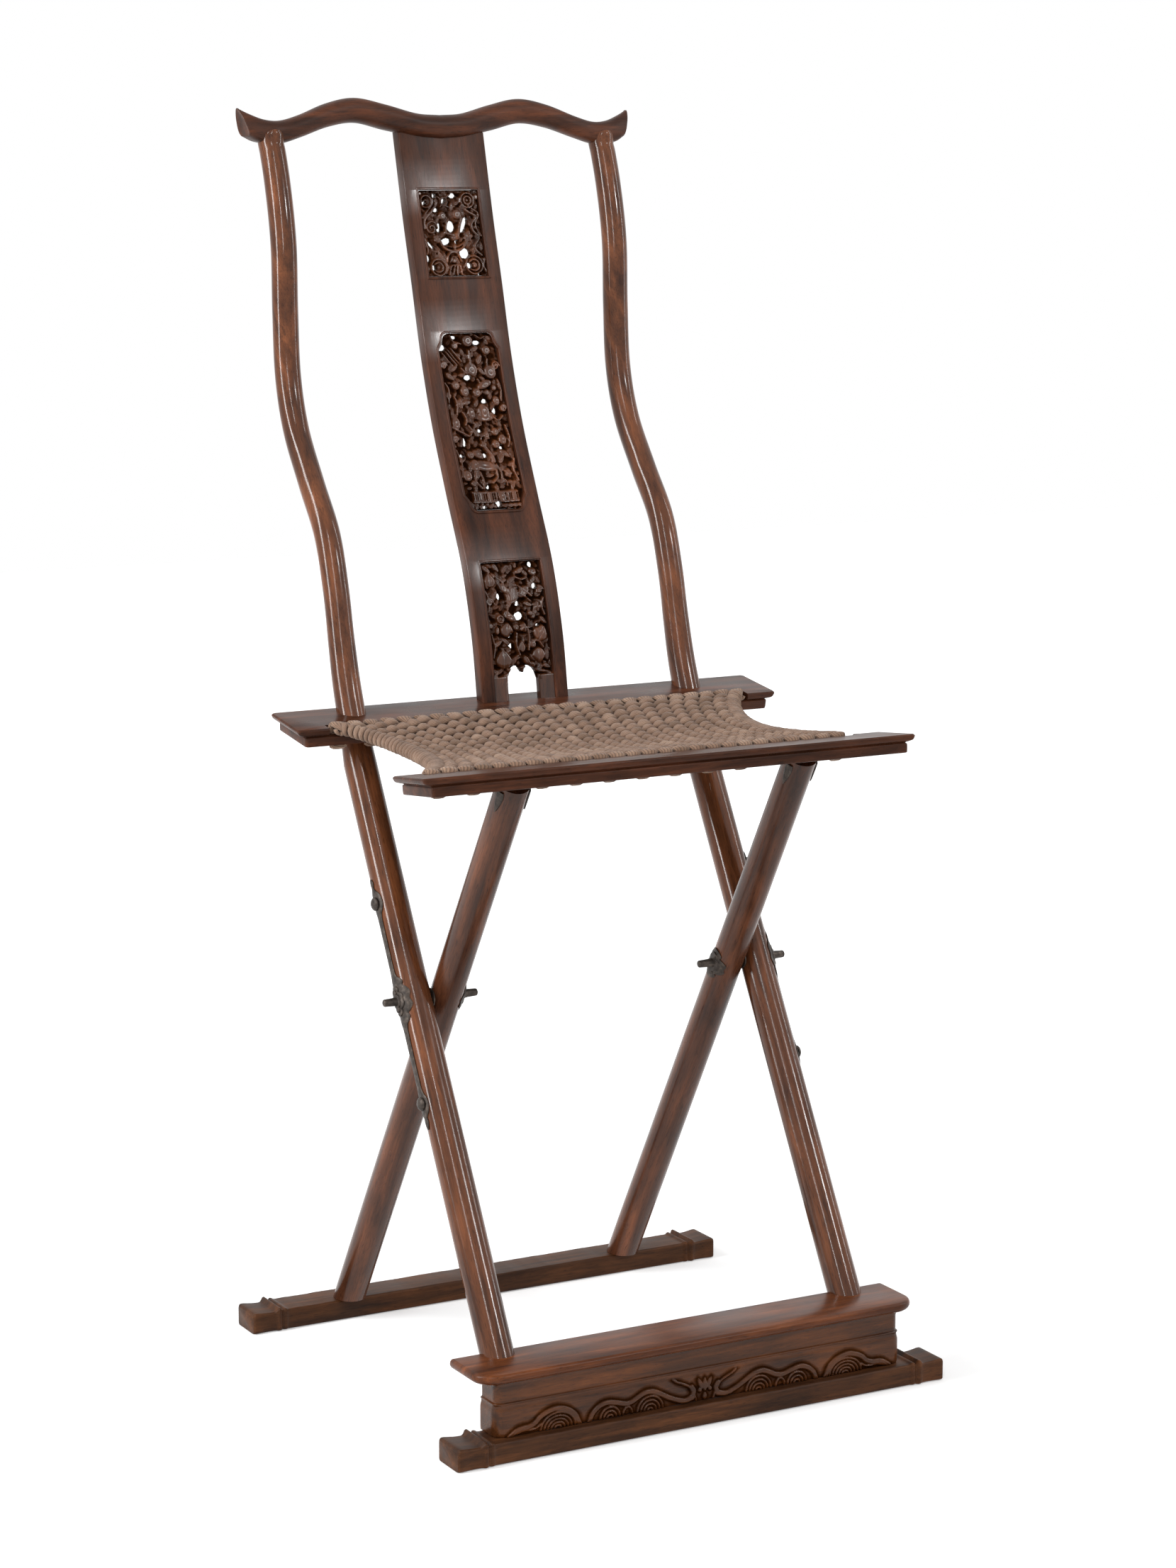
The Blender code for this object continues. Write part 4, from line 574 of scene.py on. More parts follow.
# %% Crest
CREST_HALF_LENGTH = 0.2005
CREST_DEPTH = 0.0250
CREST_BOW = 0.0065
CREST_END_RAKE = 0.0085
CREST_TOP_SHARES = [
    (0.00, 0.63), (0.12, 0.67), (0.27, 0.86), (0.42, 1.00), (0.56, 0.88), (0.70, 0.63),
    (0.80, 0.50), (0.88, 0.52), (0.95, 0.64), (1.00, 0.76),
]
CREST_UNDER_SHARES = [
    (0.00, 0.10), (0.12, 0.15), (0.27, 0.29), (0.42, 0.45), (0.56, 0.36), (0.70, 0.14),
    (0.80, 0.00), (0.88, 0.00), (0.95, 0.04), (1.00, 0.14),
]
CREST_BOW_SHARES = [
    (0.00, 0.25), (0.12, 0.35), (0.27, 0.75), (0.42, 1.00), (0.56, 0.75), (0.70, 0.25),
    (0.80, 0.20), (0.88, 0.28), (0.95, 0.60), (1.00, 0.95),
]
CREST_DEPTH_SHARES = [
    (0.00, 1.06), (0.12, 1.05), (0.27, 1.00), (0.42, 0.96), (0.56, 0.94), (0.70, 0.89),
    (0.80, 0.84), (0.88, 0.86), (0.95, 0.98), (1.00, 1.06),
]
CREST_STEPS = 90
CREST_SIDES = 64
END_HOLLOW = 0.0012
END_ROUND_SHARES = [
    (1.000, 0.00), (0.985, 0.55), (0.950, 0.80), (0.80, 0.40), (0.60, -0.20), (0.30, -0.80), (0.08, -1.00),
]


def crest_rail():
    tables = (CREST_TOP_SHARES, CREST_UNDER_SHARES, CREST_BOW_SHARES, CREST_DEPTH_SHARES)
    tops, unders, bows, depths = [curve_through(table, CREST_STEPS) for table in tables]
    turn = 2 * math.pi * (np.arange(CREST_SIDES) + 0.5) / CREST_SIDES
    half = []
    for top, under, bow, depth in zip(tops, unders, bows, depths):
        end_share = max(0.0, (top[0] - 0.84) / 0.16)
        squareness = 0.85 - 0.35 * end_share
        across = np.copysign(np.abs(np.cos(turn)) ** squareness, np.cos(turn))
        rise = np.copysign(np.abs(np.sin(turn)) ** squareness, np.sin(turn))
        x = CREST_HALF_LENGTH * top[0] - CREST_END_RAKE * end_share * (1 - rise) / 2
        pointed = 1 - 0.75 * end_share * ((1 + rise) / 2) ** 2
        y = POST_TOP_Y + CREST_BOW * bow[1] + CREST_DEPTH * depth[1] / 2 * across * pointed
        z = CREST_UNDERSIDE + CREST_HEIGHT * ((top[1] + under[1]) / 2 + (top[1] - under[1]) / 2 * rise)
        half.append(np.stack([x, y, z], -1))
    last = half[-1]
    middle = last.mean(axis=0)
    for share, outwards in END_ROUND_SHARES:
        ring = middle + (last - middle) * share
        ring[:, 0] += END_HOLLOW * (outwards - 0.6)
        half.append(ring)
    flipped = [ring * np.array([-1, 1, 1]) for ring in reversed(half[1:])]
    return skin(flipped + half)


make("yoke_crest_rail", crest_rail(), woods["crest"], "back_frame", ["crest_rail"])
print("crest: half length", CREST_HALF_LENGTH)

# %% [markdown]
# ## Seat rails
# Both rails are flat bars with the same moulding run round all four sides, and a ledge sunk
# along the inner edge for the rope. A plane and a scratch stock would shape them. Here the
# profile is a stack of rounded rectangles, and one Boolean takes the ledge out.

# %% Rails
FRONT_RAIL_AHEAD = 0.0030  # its middle stands this far ahead of the rear legs' tops
POST_TO_RAIL_BACK = 0.0156
FRONT_RAIL_TILT_DEG, REAR_RAIL_TILT_DEG = -6.4, 7.8
FRONT_RAIL_HALF_LENGTH, REAR_RAIL_HALF_LENGTH = 0.2400, 0.2430
FRONT_RAIL_Y = rear_leg_point(FRONT_RAIL_TOP - RAIL_THICKNESS).y - FRONT_RAIL_AHEAD
REAR_RAIL_Y = POST_FOOT_Y + POST_TO_RAIL_BACK - RAIL_WIDTH / 2
FRONT_RAIL_PLACE = (
    Matrix.Translation((0, FRONT_RAIL_Y, FRONT_RAIL_TOP))
    @ Matrix.Rotation(math.radians(FRONT_RAIL_TILT_DEG), 4, "X")
)
REAR_RAIL_PLACE = (
    Matrix.Translation((0, REAR_RAIL_Y, REAR_RAIL_TOP))
    @ Matrix.Rotation(math.radians(REAR_RAIL_TILT_DEG), 4, "X")
)
RAIL_SIDE_MOULD, RAIL_END_MOULD, RAIL_CORNER = 0.0026, 0.0090, 0.0030
REBATE_HALF_LENGTH, REBATE_WIDTH, REBATE_DEPTH = 0.2130, 0.0120, 0.0065
OVERRUN = 0.0100  # how far a cutter runs past what it cuts
# Moulding: share of the thickness, share of the depth along the sides, the same across the ends
RAIL_PROFILE_SHARES = [
    (0.00, 0.45, 0.12), (0.05, 0.12, 0.03), (0.12, 0.00, 0.00), (0.30, 0.05, 0.20), (0.38, 0.50, 0.62),
    (0.43, 1.00, 0.92), (0.48, 0.60, 0.95), (0.53, 0.35, 0.88), (0.94, 0.35, 0.92), (1.00, 0.80, 1.00),
]


def seat_rail(name, place, half_length, body, node, inwards):
    rings = []
    for drop, side, end in curve_through(RAIL_PROFILE_SHARES, 56):
        half_width = RAIL_WIDTH / 2 - RAIL_SIDE_MOULD * side
        outline = rounded_outline(half_length - RAIL_END_MOULD * end, half_width, RAIL_CORNER)
        rings.append([(x, y, -drop * RAIL_THICKNESS) for x, y in outline])
    rail = make(name, placed(skin(rings), place), woods["rails"], body, [node])
    near, far = sorted((inwards * (RAIL_WIDTH / 2 - REBATE_WIDTH), inwards * (RAIL_WIDTH / 2 + OVERRUN)))
    section = [(near, -REBATE_DEPTH), (far, -REBATE_DEPTH), (far, OVERRUN), (near, OVERRUN)]
    ends = (-REBATE_HALF_LENGTH, REBATE_HALF_LENGTH)
    cut(rail, placed(skin([[(x, y, z) for y, z in section] for x in ends]), place))


seat_rail("moulded_front_seat_rail", FRONT_RAIL_PLACE, FRONT_RAIL_HALF_LENGTH, "seat_frame",
          "front_seat_rail", 1)
seat_rail("moulded_rear_seat_rail", REAR_RAIL_PLACE, REAR_RAIL_HALF_LENGTH, "back_frame",
          "rear_seat_rail", -1)
print("rails' middles along Y:", round(FRONT_RAIL_Y, 4), round(REAR_RAIL_Y, 4))

# %% [markdown]
# ## Runners
# The frames stand on two bars. Each end is worked as a soft block with a groove and a collar,
# and the long top edges have been chipped and rubbed by feet, which catches small lights.

# %% Runner bars
RUNNER_DEPTH = 0.0370
RUNNER_END_LENGTH = 0.0350
RUNNER_END_SWELL = 0.0020
RUNNER_CORNER = 0.0024
WORN_BAND = 0.0030  # how far in from a runner's edges the chips reach
FRONT_WEAR, REAR_WEAR = 0.0012, 0.0008
# Ends: share of the end's length, share of the swell sideways, share of the swell upwards
RUNNER_END_SHARES = [
    (0.00, -0.60, -0.90), (0.04, 0.30, -0.10), (0.12, 0.45, 0.05), (0.26, 0.20, -0.20), (0.44, 0.00, -0.50),
    (0.60, 0.10, -0.50), (0.67, 0.45, 0.50), (0.71, 0.95, 1.20), (0.76, 1.00, 1.30), (0.80, 0.50, 0.50),
    (0.84, 0.05, -0.20), (0.89, 0.45, 0.50), (0.94, 0.45, 0.50), (1.00, 0.00, 0.00),
]


def runner(name, front, half_length, wear, body, node):
    end = curve_through(RUNNER_END_SHARES, 90)
    block = [(share * RUNNER_END_LENGTH, side, rise) for share, side, rise in end]
    stations = [(-half_length + x, side, rise, 0.0) for x, side, rise in block]
    bar = np.linspace(-half_length + RUNNER_END_LENGTH + 0.002, half_length - RUNNER_END_LENGTH - 0.002, 170)
    chips = np.convolve(np.random.default_rng(5).random(len(bar) + 4) ** 3, np.ones(5) / 5, "valid")
    stations += [(x, 0.0, 0.0, wear * chip) for x, chip in zip(bar, chips)]
    stations += [(half_length - x, side, rise, 0.0) for x, side, rise in reversed(block)]
    rings = []
    for x, side, rise, chip in stations:
        half_depth = RUNNER_DEPTH / 2 + RUNNER_END_SWELL * side
        height = RUNNER_TOP + RUNNER_END_SWELL * rise
        outline = rounded_outline(half_depth, height / 2, RUNNER_CORNER)
        ring = []
        for y, z in outline:
            worn = chip if z > 0 and abs(y) > half_depth - WORN_BAND else 0.0
            ring.append((x, front + RUNNER_DEPTH / 2 + y * (1 - worn * 20), height / 2 + z - worn))
        rings.append(ring)
    make(name, skin(rings), woods["runners"], body, [node])


REAR_RUNNER_AHEAD = 0.0070  # from the rear legs' feet to the runner's front face
REAR_RUNNER_HALF_LENGTH = 0.2465
BOX_BESIDE_LEG = 0.0141
RUNNER_BEYOND_BOX = 0.0394
REAR_RUNNER_FRONT = rear_leg_point(RUNNER_TOP).y - REAR_RUNNER_AHEAD
BOX_HALF = FRONT_LEG_X + LEG_RADIUS + BOX_BESIDE_LEG
runner("front_runner_bar", FRONT_Y, BOX_HALF + RUNNER_BEYOND_BOX, FRONT_WEAR, "back_frame", "front_runner")
runner("rear_runner_bar", REAR_RUNNER_FRONT, REAR_RUNNER_HALF_LENGTH, REAR_WEAR, "seat_frame", "rear_runner")
print("runners: half lengths", round(BOX_HALF + RUNNER_BEYOND_BOX, 4), REAR_RUNNER_HALF_LENGTH)

# %% [markdown]
# ## Relief carving
# Low relief and pierced work are both a height over a board: the carver leaves motifs standing
# and sinks the ground between them. So a carving is a grid of heights in millimetres. Each motif
# raises the grid to its own dome, stem or leaf, wherever it is the higher one, just as later
# cuts never put wood back. Points marked open are pierced right through.

# %% A carving as a grid of heights
def spread(where, keep, steps):
    """1 in a region, and fading outwards: the share kept from one grid point to the next."""
    reach = where.astype(float)
    for step in range(steps):
        edged = np.pad(reach, 1)
        beside = np.max([edged[:-2, 1:-1], edged[2:, 1:-1], edged[1:-1, :-2], edged[1:-1, 2:]], axis=0)
        reach = np.maximum(reach, beside * keep)
    return reach


class Carving:
    """Heights in mm over a grid of points; each motif raises them."""

    def __init__(self, x_mm, z_mm, ground):
        self.x, self.z = np.meshgrid(x_mm, z_mm)
        self.height = np.full(self.x.shape, float(ground))
        self.open = np.zeros(self.x.shape, bool)

    def own_axes(self, at, turn_deg):
        """Distances from a point, along and across a motif's own direction."""
        turn = math.radians(turn_deg)
        x, z = self.x - at[0], self.z - at[1]
        return x * math.cos(turn) + z * math.sin(turn), z * math.cos(turn) - x * math.sin(turn)

    def lay(self, where, height):
        self.height = np.where(where, np.maximum(self.height, height), self.height)

    def stem(self, points, width, top, count=80, rise=0.5, groove=0.0):
        """A half-round stem along a smooth curve, or a ribbon with a groove down its middle."""
        away = np.full(self.x.shape, np.inf)
        for x, z in curve_through(points, count):
            away = np.minimum(away, np.hypot(self.x - x, self.z - z))
        share = np.minimum(away * 2 / width, 1)
        height = top - width * rise * (1 - np.sqrt(1 - share ** 2)) - groove * np.exp(-(away / 0.6) ** 2)
        self.lay(share < 1, height)

    def dome(self, at, halves, top, turn_deg=0, depth=2.2, dimple=0.0):
        """A bud or fruit; a dimple sinks its middle."""
        along, across = self.own_axes(at, turn_deg)
        share = (along / halves[0]) ** 2 + (across / halves[1]) ** 2
        height = top - depth * (1 - np.sqrt(np.maximum(0, 1 - share))) - dimple * np.exp(-share * 12)
        self.lay(share < 1, height)

    def peach(self, at, radius, top, turn_deg=90):
        """A round fruit with a cleft that runs up to its tip."""
        along, across = self.own_axes(at, turn_deg)
        narrow = np.clip(1.12 - np.maximum(along, 0) / radius * 0.45, 0.2, 2)
        share = (along / (radius * 1.15)) ** 2 + (across / (radius * narrow)) ** 2
        height = top - 2.4 * (1 - np.sqrt(np.maximum(0, 1 - share))) - 0.8 * np.exp(-(across / 0.5) ** 2)
        self.lay(share < 1, height)

    def leaf(self, at, turn_deg, length, width, top):
        """A leaf with a midrib groove and side veins."""
        along, across = self.own_axes(at, turn_deg)
        place = np.clip(along / length + 0.5, 0, 1)
        half = width / 2 * np.sin(math.pi * place ** 0.8) ** 0.8 + 0.001
        share = np.abs(across) / half
        veins = 0.22 * (1 + np.cos((along - np.abs(across)) * 2 * math.pi / 1.9))
        height = top - 1.5 * share ** 2 - 0.7 * np.exp(-(across / 0.45) ** 2) - veins
        self.lay((share < 1) & (np.abs(along) < length / 2), height)

    def ring(self, at, radius, width, top):
        away = np.abs(np.hypot(self.x - at[0], self.z - at[1]) - radius)
        share = np.minimum(away * 2 / width, 1)
        self.lay(share < 1, top - width * 0.5 * (1 - np.sqrt(1 - share ** 2)))

    def spiral(self, at, radius, top, turns=1.6, width=2.0):
        points = []
        for i in range(14):
            turn, reach = 2 * math.pi * turns * i / 13, radius * (1 - 0.85 * i / 13)
            points.append((at[0] + reach * math.cos(turn), at[1] + reach * math.sin(turn)))
        self.stem(points, width, top, 120)

    def blossom(self, at, radius, top, petals=5):
        """A flower seen from above, with a ball in its middle."""
        x, z = self.own_axes(at, 0)
        lobes = np.abs(np.cos(np.arctan2(z, x) * petals / 2))
        share = np.hypot(x, z) / (radius * (0.78 + 0.22 * lobes))
        self.lay(share < 1, top - 1.2 * share ** 2 - 0.9 * (1 - lobes) * np.minimum(share, 1))
        self.dome(at, (radius * 0.3, radius * 0.3), top + 0.5, depth=1.0)

    def pierce(self, at, halves, turn_deg=0):
        along, across = self.own_axes(at, turn_deg)
        self.open |= (along / halves[0]) ** 2 + (across / halves[1]) ** 2 < 1

    def ease_holes(self, depth=2.4):
        """Lets the wood fall away round each hole."""
        self.height = self.height - depth * spread(self.open, 0.72, 6)

    def soften(self):
        """Rounds every edge off a little, as sanding and handling do."""
        padded = np.pad(self.height, 1, mode="edge")
        rows, columns = self.height.shape
        shifted = [padded[i:i + rows, j:j + columns] for i in range(3) for j in range(3)]
        self.height = self.height * 0.4 + sum(shifted) / 9 * 0.6


# %% [markdown]
# ## Footrest
# The footrest is a shallow box on the front runner under a rubbed board with rolled edges. The
# box's face is one moulding, run round its rounded corners: a soft cushion with carved waves,
# a bead, and a narrow waist. The waves stand out about two millimetres.

# %% Board
GAP = 0.0003  # left between two pieces that touch
BOARD_TOP, BOARD_THICKNESS = 0.0754, 0.0085
BOARD_OVERHANG = 0.0150
BOARD_FRONT_SETBACK, BOARD_BACK_SETBACK = 0.0045, 0.0660
BOARD_BACK_CORNER, BOARD_FRONT_CORNER = 0.0035, 0.0210
BOARD_EDGE = 0.0030  # how far its edges are rolled in
BOARD_HALF = BOX_HALF + BOARD_OVERHANG
BOARD_FRONT, BOARD_BACK = FRONT_Y + BOARD_FRONT_SETBACK, FRONT_Y + BOARD_BACK_SETBACK
BOARD_EDGE_SHARES = [(0.00, 1.00), (0.18, 0.35), (0.45, 0.00), (0.75, 0.10), (0.92, 0.45), (1.00, 1.00)]


def footrest_board():
    rings = []
    half_depth = (BOARD_BACK - BOARD_FRONT) / 2
    for share, inset in curve_through(BOARD_EDGE_SHARES, 24):
        shrink = inset * BOARD_EDGE
        ring = []
        for corner in range(4):
            back = corner in (0, 1)
            radius, steps = (BOARD_BACK_CORNER, 4) if back else (BOARD_FRONT_CORNER, 14)
            middle_x = (BOARD_HALF - radius) * (1 if corner in (0, 3) else -1)
            middle_y = (BOARD_FRONT + BOARD_BACK) / 2 + (half_depth - radius) * (1 if back else -1)
            for step in range(steps + 1):
                turn = math.radians(90 * (corner + step / steps))
                x = middle_x + (radius - shrink) * math.cos(turn)
                y = middle_y + (radius - shrink) * math.sin(turn)
                ring.append((x, y, BOARD_TOP - BOARD_THICKNESS * (1 - share)))
        rings.append(ring)
    return skin(rings)


make("rubbed_footrest_board", footrest_board(), woods["board"], "back_frame", ["footrest_board"])

# %% Waves on the box's front
BOX_SETBACK = 0.0095
BOX_WALL = 0.0070
BOX_CORNER = 0.0085
BOX_FRONT, BOX_BACK = FRONT_Y + BOX_SETBACK, FRONT_Y + RUNNER_DEPTH
BOX_LOW, BOX_HIGH = RUNNER_TOP + GAP, BOARD_TOP - BOARD_THICKNESS - GAP
DIE_SHARE = 0.61  # the cushion's part of the box's face, up to its bead
DIE_MM = (BOX_HIGH - BOX_LOW) * DIE_SHARE * 1000
WAVE_RISE = 2.3  # mm
RIBBON = 5.0  # mm, the waves' width
RIBBON_DROP_SHARE = 0.07  # from a wave's upper edge to its middle line
ARCH_STEP = 3.4  # mm, from one nested arch to the next
SMALLEST_ARCH = 2.0  # mm, half width
# Upper edges of the waves: x in mm from the middle, and share of the die's height
OUTER_WAVE_SHARES = [
    (189, 0.06), (182, 0.22), (176, 0.26), (171, 0.27), (165, 0.35), (161, 0.48), (156, 0.58),
    (149, 0.66), (143, 0.67), (134, 0.58), (127, 0.40), (124, 0.20), (122, 0.04),
]
INNER_WAVE_SHARES = [
    (113, 0.06), (110, 0.30), (104, 0.48), (96, 0.56), (87, 0.50), (79, 0.42), (72, 0.44), (65, 0.56),
    (58, 0.65), (50, 0.62), (42, 0.48), (35, 0.34), (27, 0.22), (20, 0.16), (13, 0.25), (11, 0.42),
    (13, 0.54),
]
TIP_SHARES = [(13, 0.36), (15.5, 0.50), (21, 0.61), (27, 0.70), (31, 0.80)]
TAIL_SHARES = [(186, 0.02), (176, 0.11), (170, 0.10), (164, 0.12), (159, 0.22)]
# Nested arches: middle, half width in mm and height as a share, of each outermost arch
NESTED_ARCHES_SHARES = [(143, 16.5, 0.48), (93, 9.5, 0.34), (76, 4.5, 0.24), (54, 12.5, 0.44)]

waves = Carving(np.arange(-193.2, 193.3, 0.6), np.linspace(0, DIE_MM, 60), 0.0)
for side in (-1, 1):
    for table in (OUTER_WAVE_SHARES, INNER_WAVE_SHARES):
        middle_line = [(side * x, (share - RIBBON_DROP_SHARE) * DIE_MM) for x, share in table]
        waves.stem(middle_line, RIBBON, WAVE_RISE, 300, 0.46, groove=0.6)
    waves.stem([(side * x, share * DIE_MM) for x, share in TAIL_SHARES], 2.0, WAVE_RISE * 0.8, 80, 0.4)
    waves.stem([(side * x, share * DIE_MM) for x, share in TIP_SHARES], 2.2, WAVE_RISE * 0.8, 80, 0.5)
    for x, half, top in NESTED_ARCHES_SHARES:
        reach = 1.0
        while half * reach > SMALLEST_ARCH:
            arch = [
                (side * x + half * reach * math.cos(turn), top * reach * math.sin(turn) * DIE_MM)
                for turn in np.linspace(math.pi, 0, 9)
            ]
            waves.stem(arch, 2.1, WAVE_RISE * 0.85, 80, 0.45)
            reach -= ARCH_STEP / half
    waves.leaf((side * 4.4, DIE_MM * 0.54), 90 - side * 26, 12, 5.0, WAVE_RISE)
    waves.dome((side * 5.0, DIE_MM * 0.34), (2.0, 2.0), WAVE_RISE, depth=1.2)
    waves.stem([(side * 8.5, DIE_MM * 0.03), (side * 10.0, DIE_MM * 0.20)], 1.8, WAVE_RISE * 0.8, 30, 0.4)
    crescent = [(side * x, share * DIE_MM) for x, share in ((26, 0.10), (19, 0.06), (12, 0.12))]
    waves.stem(crescent, 3.0, WAVE_RISE, 60, 0.4)
waves.leaf((0, DIE_MM * 0.50), 90, 13, 5.0, WAVE_RISE + 0.3)
waves.leaf((0, DIE_MM * 0.14), 90, 7, 5.0, WAVE_RISE)
waves.soften()
print("waves: grid", waves.height.shape)

# %% Box
# The face from the runner up to the board: share of its height, and inset in mm
BOX_FACE_SHARES = [
    (0.00, 0.6), (0.015, 0.25), (0.05, 0.05), (0.10, 0.0), (0.44, 0.0), (0.47, 0.15), (0.50, 0.5),
    (0.53, 0.9), (0.56, 1.0), (0.58, 0.9), (0.59, 0.3), (0.605, 0.2), (0.615, 0.6), (0.625, 1.5),
    (0.64, 1.8), (0.92, 1.8), (0.96, 1.3), (1.00, 0.4),
]
face_shares = np.linspace(0, 1, 92)
face_insets = np.interp(face_shares, *zip(*BOX_FACE_SHARES)) / 1000


def box_ring(middle, normal, reach, rise=0.0):
    """The box's section where its outer face is reach out from a point in plan."""
    ring = []
    for share, inset in zip(face_shares, face_insets - rise):
        out = reach - inset
        z = BOX_LOW + share * (BOX_HIGH - BOX_LOW)
        ring.append((middle[0] + normal[0] * out, middle[1] + normal[1] * out, z))
    inner = reach - BOX_WALL
    for z in (BOX_HIGH, BOX_LOW):
        ring.append((middle[0] + normal[0] * inner, middle[1] + normal[1] * inner, z))
    return ring


def corner_rings(side, start_deg, end_deg):
    middle = (side * (BOX_HALF - BOX_CORNER), BOX_FRONT + BOX_CORNER)
    turns = np.radians(np.linspace(start_deg, end_deg, 9))
    return [box_ring(middle, (math.cos(turn), math.sin(turn)), BOX_CORNER) for turn in turns]


WAVE_END_SHARE, WAVE_FADE_SHARE = 0.53, 0.05  # of the face: where the waves have run out
apron = corner_rings(-1, 225, 270)
painted_apron_shade = [np.zeros(len(face_shares) + 2)] * len(apron)
# Painted shade: the ground round the waves and inside their arches is darkened, most next to the raised
# parts.
painted_wave_shade = spread(waves.height > 0.6, 0.84, 7) * np.clip(1.1 - waves.height / 1.5, 0, 1)
die_shares = np.minimum(face_shares / DIE_SHARE, 1)
fade = np.clip((WAVE_END_SHARE - face_shares) / WAVE_FADE_SHARE, 0, 1)
for column, x in enumerate(waves.x[0]):
    rise = np.interp(die_shares * DIE_MM, waves.z[:, column], waves.height[:, column]) * fade / 1000
    apron.append(box_ring((x / 1000, BOX_FRONT), (0, -1), 0.0, rise))
    painted_column_shade = np.interp(die_shares * DIE_MM, waves.z[:, column], painted_wave_shade[:, column]) * fade
    painted_apron_shade.append(np.append(painted_column_shade, (0, 0)))
apron += corner_rings(1, 270, 315)
painted_apron_shade += [np.zeros(len(face_shares) + 2)] * (len(apron) - len(painted_apron_shade))
apron_piece = make("carved_footrest_apron", skin(apron), woods["footrest"], "back_frame", ["footrest_apron"])
note(apron_piece, "painted_recess_shade", np.concatenate(painted_apron_shade))

box_end = corner_rings(1, 315, 360)
for y in np.linspace(BOX_FRONT + BOX_CORNER + 0.001, BOX_BACK, 8):
    box_end.append(box_ring((BOX_HALF, y), (1, 0), 0.0))
make_pair("moulded_footrest_end", skin(box_end), woods["footrest"], "back_frame", "footrest_end")
print("footrest's box: faces", len(apron_piece.data.polygons))

# %% [markdown]
# ## Splat
# The back splat is a thick board sawn and scraped to the same long curve as the posts, with three
# framed openings: a rectangle, a tall one with stepped corners, and one that stands on the rail.
# A thin bead runs round each opening. The board is a stack of rounded sections along the curve,
# the openings are Boolean cuts, and the beads are swept. Hands have rubbed the board brightest
# just above each opening, and that polish is noted on its points for the finish to read.

# %% Board of the splat
SPLAT_FOOT_AHEAD = 0.0075  # its front face at the foot, ahead of the posts' axes
SPLAT_SETBACK = 0.1636
SPLAT_FOOT_Y = POST_FOOT_Y - SPLAT_FOOT_AHEAD
SPLAT_HEIGHT = BACK_RISE + CREST_HEIGHT * 0.10
SPLAT_WIDTH, SPLAT_THICKNESS = 0.0880, 0.0134
SPLAT_EDGE = 0.0014
BEAD_RADIUS = 0.0013
PANEL_WIDTH = 0.0610
PANEL_INDENT = 0.0098
SPLAT_CURVE_SHARES = [
    (0.000, 0.000), (0.117, 0.064), (0.241, 0.182), (0.363, 0.362), (0.487, 0.537),
    (0.613, 0.675), (0.739, 0.782), (0.866, 0.895), (1.000, 1.000), (1.060, 1.045),
]
splat_curve = curve_through(SPLAT_CURVE_SHARES, 120)
splat_rows = REAR_RAIL_TOP + splat_curve[:, 0] * SPLAT_HEIGHT
splat_faces = SPLAT_FOOT_Y + splat_curve[:, 1] * SPLAT_SETBACK
UPPER_PANEL_SHARES = (0.752, 0.908)
MIDDLE_PANEL_SHARES = (0.336, 0.650)
LOWER_PANEL_SHARES = (0.000, 0.247)


def splat_y(z):
    """Where the splat's front face lies at a height."""
    return np.interp(z, splat_rows, splat_faces)


def splat_z(share):
    return REAR_RAIL_TOP + share * SPLAT_HEIGHT


def opening(shares, stepped=False, foot=0.0):
    """An opening's outline, anticlockwise as (x, z)."""
    half, low, high = PANEL_WIDTH / 2, splat_z(shares[0]) - foot, splat_z(shares[1])
    if not stepped:
        return [(-half, low), (half, low), (half, high), (-half, high)]
    i = PANEL_INDENT
    corner = [(half, high - i * 1.5), (half - i * 0.35, high - i * 0.95), (half - i * 0.60, high - i * 0.25),
              (half - i, high)]
    quarter = [tuple(point) for point in curve_through(corner, 12)]
    top_left = [(-x, z) for x, z in reversed(quarter)]
    bottom_left = [(x, low + high - z) for x, z in reversed(top_left)]
    bottom_right = [(-x, z) for x, z in reversed(bottom_left)]
    return bottom_right + quarter + top_left + bottom_left


def bead(outline, radius=BEAD_RADIUS, closed=True):
    """A half-round bead on the splat's face, just outside an opening's outline."""
    points = []
    for (x, z), (next_x, next_z) in zip(outline, outline[1:] + (outline[:1] if closed else [])):
        steps = max(1, round(math.hypot(next_x - x, next_z - z) / 0.004))
        points += [(x + (next_x - x) * i / steps, z + (next_z - z) * i / steps) for i in range(steps)]
    if not closed:
        points.append(outline[-1])
    middle_z = (min(z for x, z in outline) + max(z for x, z in outline)) / 2
    path = []
    for x, z in points:
        x += math.copysign(radius, x) if abs(x) > 0.0005 else 0
        z += math.copysign(radius, z - middle_z)
        path.append((x, float(splat_y(z)) + 0.0002, z))
    if closed:
        rings = tube_rings([path[-1]] + path + [path[0]], radius, 12, (0, 1, 0))[1:-1]
        return skin(rings, looped=True)
    return skin(tube_rings(path, radius, 12, (0, 1, 0)))


rings = []
for z in np.linspace(REAR_RAIL_TOP - 0.0050, splat_z(1) + 0.0060, 110):
    outline = rounded_outline(SPLAT_WIDTH / 2, SPLAT_THICKNESS / 2, SPLAT_EDGE, 4)
    rings.append([(x, splat_y(z) + SPLAT_THICKNESS / 2 + y, z) for x, y in outline])
splat = make("bent_back_splat", skin(rings), woods["splat"], "back_frame", ["splat"])
upper_opening = opening(UPPER_PANEL_SHARES)
middle_opening = opening(MIDDLE_PANEL_SHARES, stepped=True)
lower_opening = opening(LOWER_PANEL_SHARES, foot=0.0200)
through = (SPLAT_FOOT_Y - 0.05, SPLAT_FOOT_Y + 0.25)  # the cutters' ends, clear of the board
for outline in (upper_opening, middle_opening, lower_opening):
    cut(splat, skin([[(x, y, z) for x, z in outline] for y in through]))
for outline in (upper_opening, middle_opening):
    attach(splat, bead(outline))
low = REAR_RAIL_TOP + 0.001
half, high = PANEL_WIDTH / 2, splat_z(LOWER_PANEL_SHARES[1])
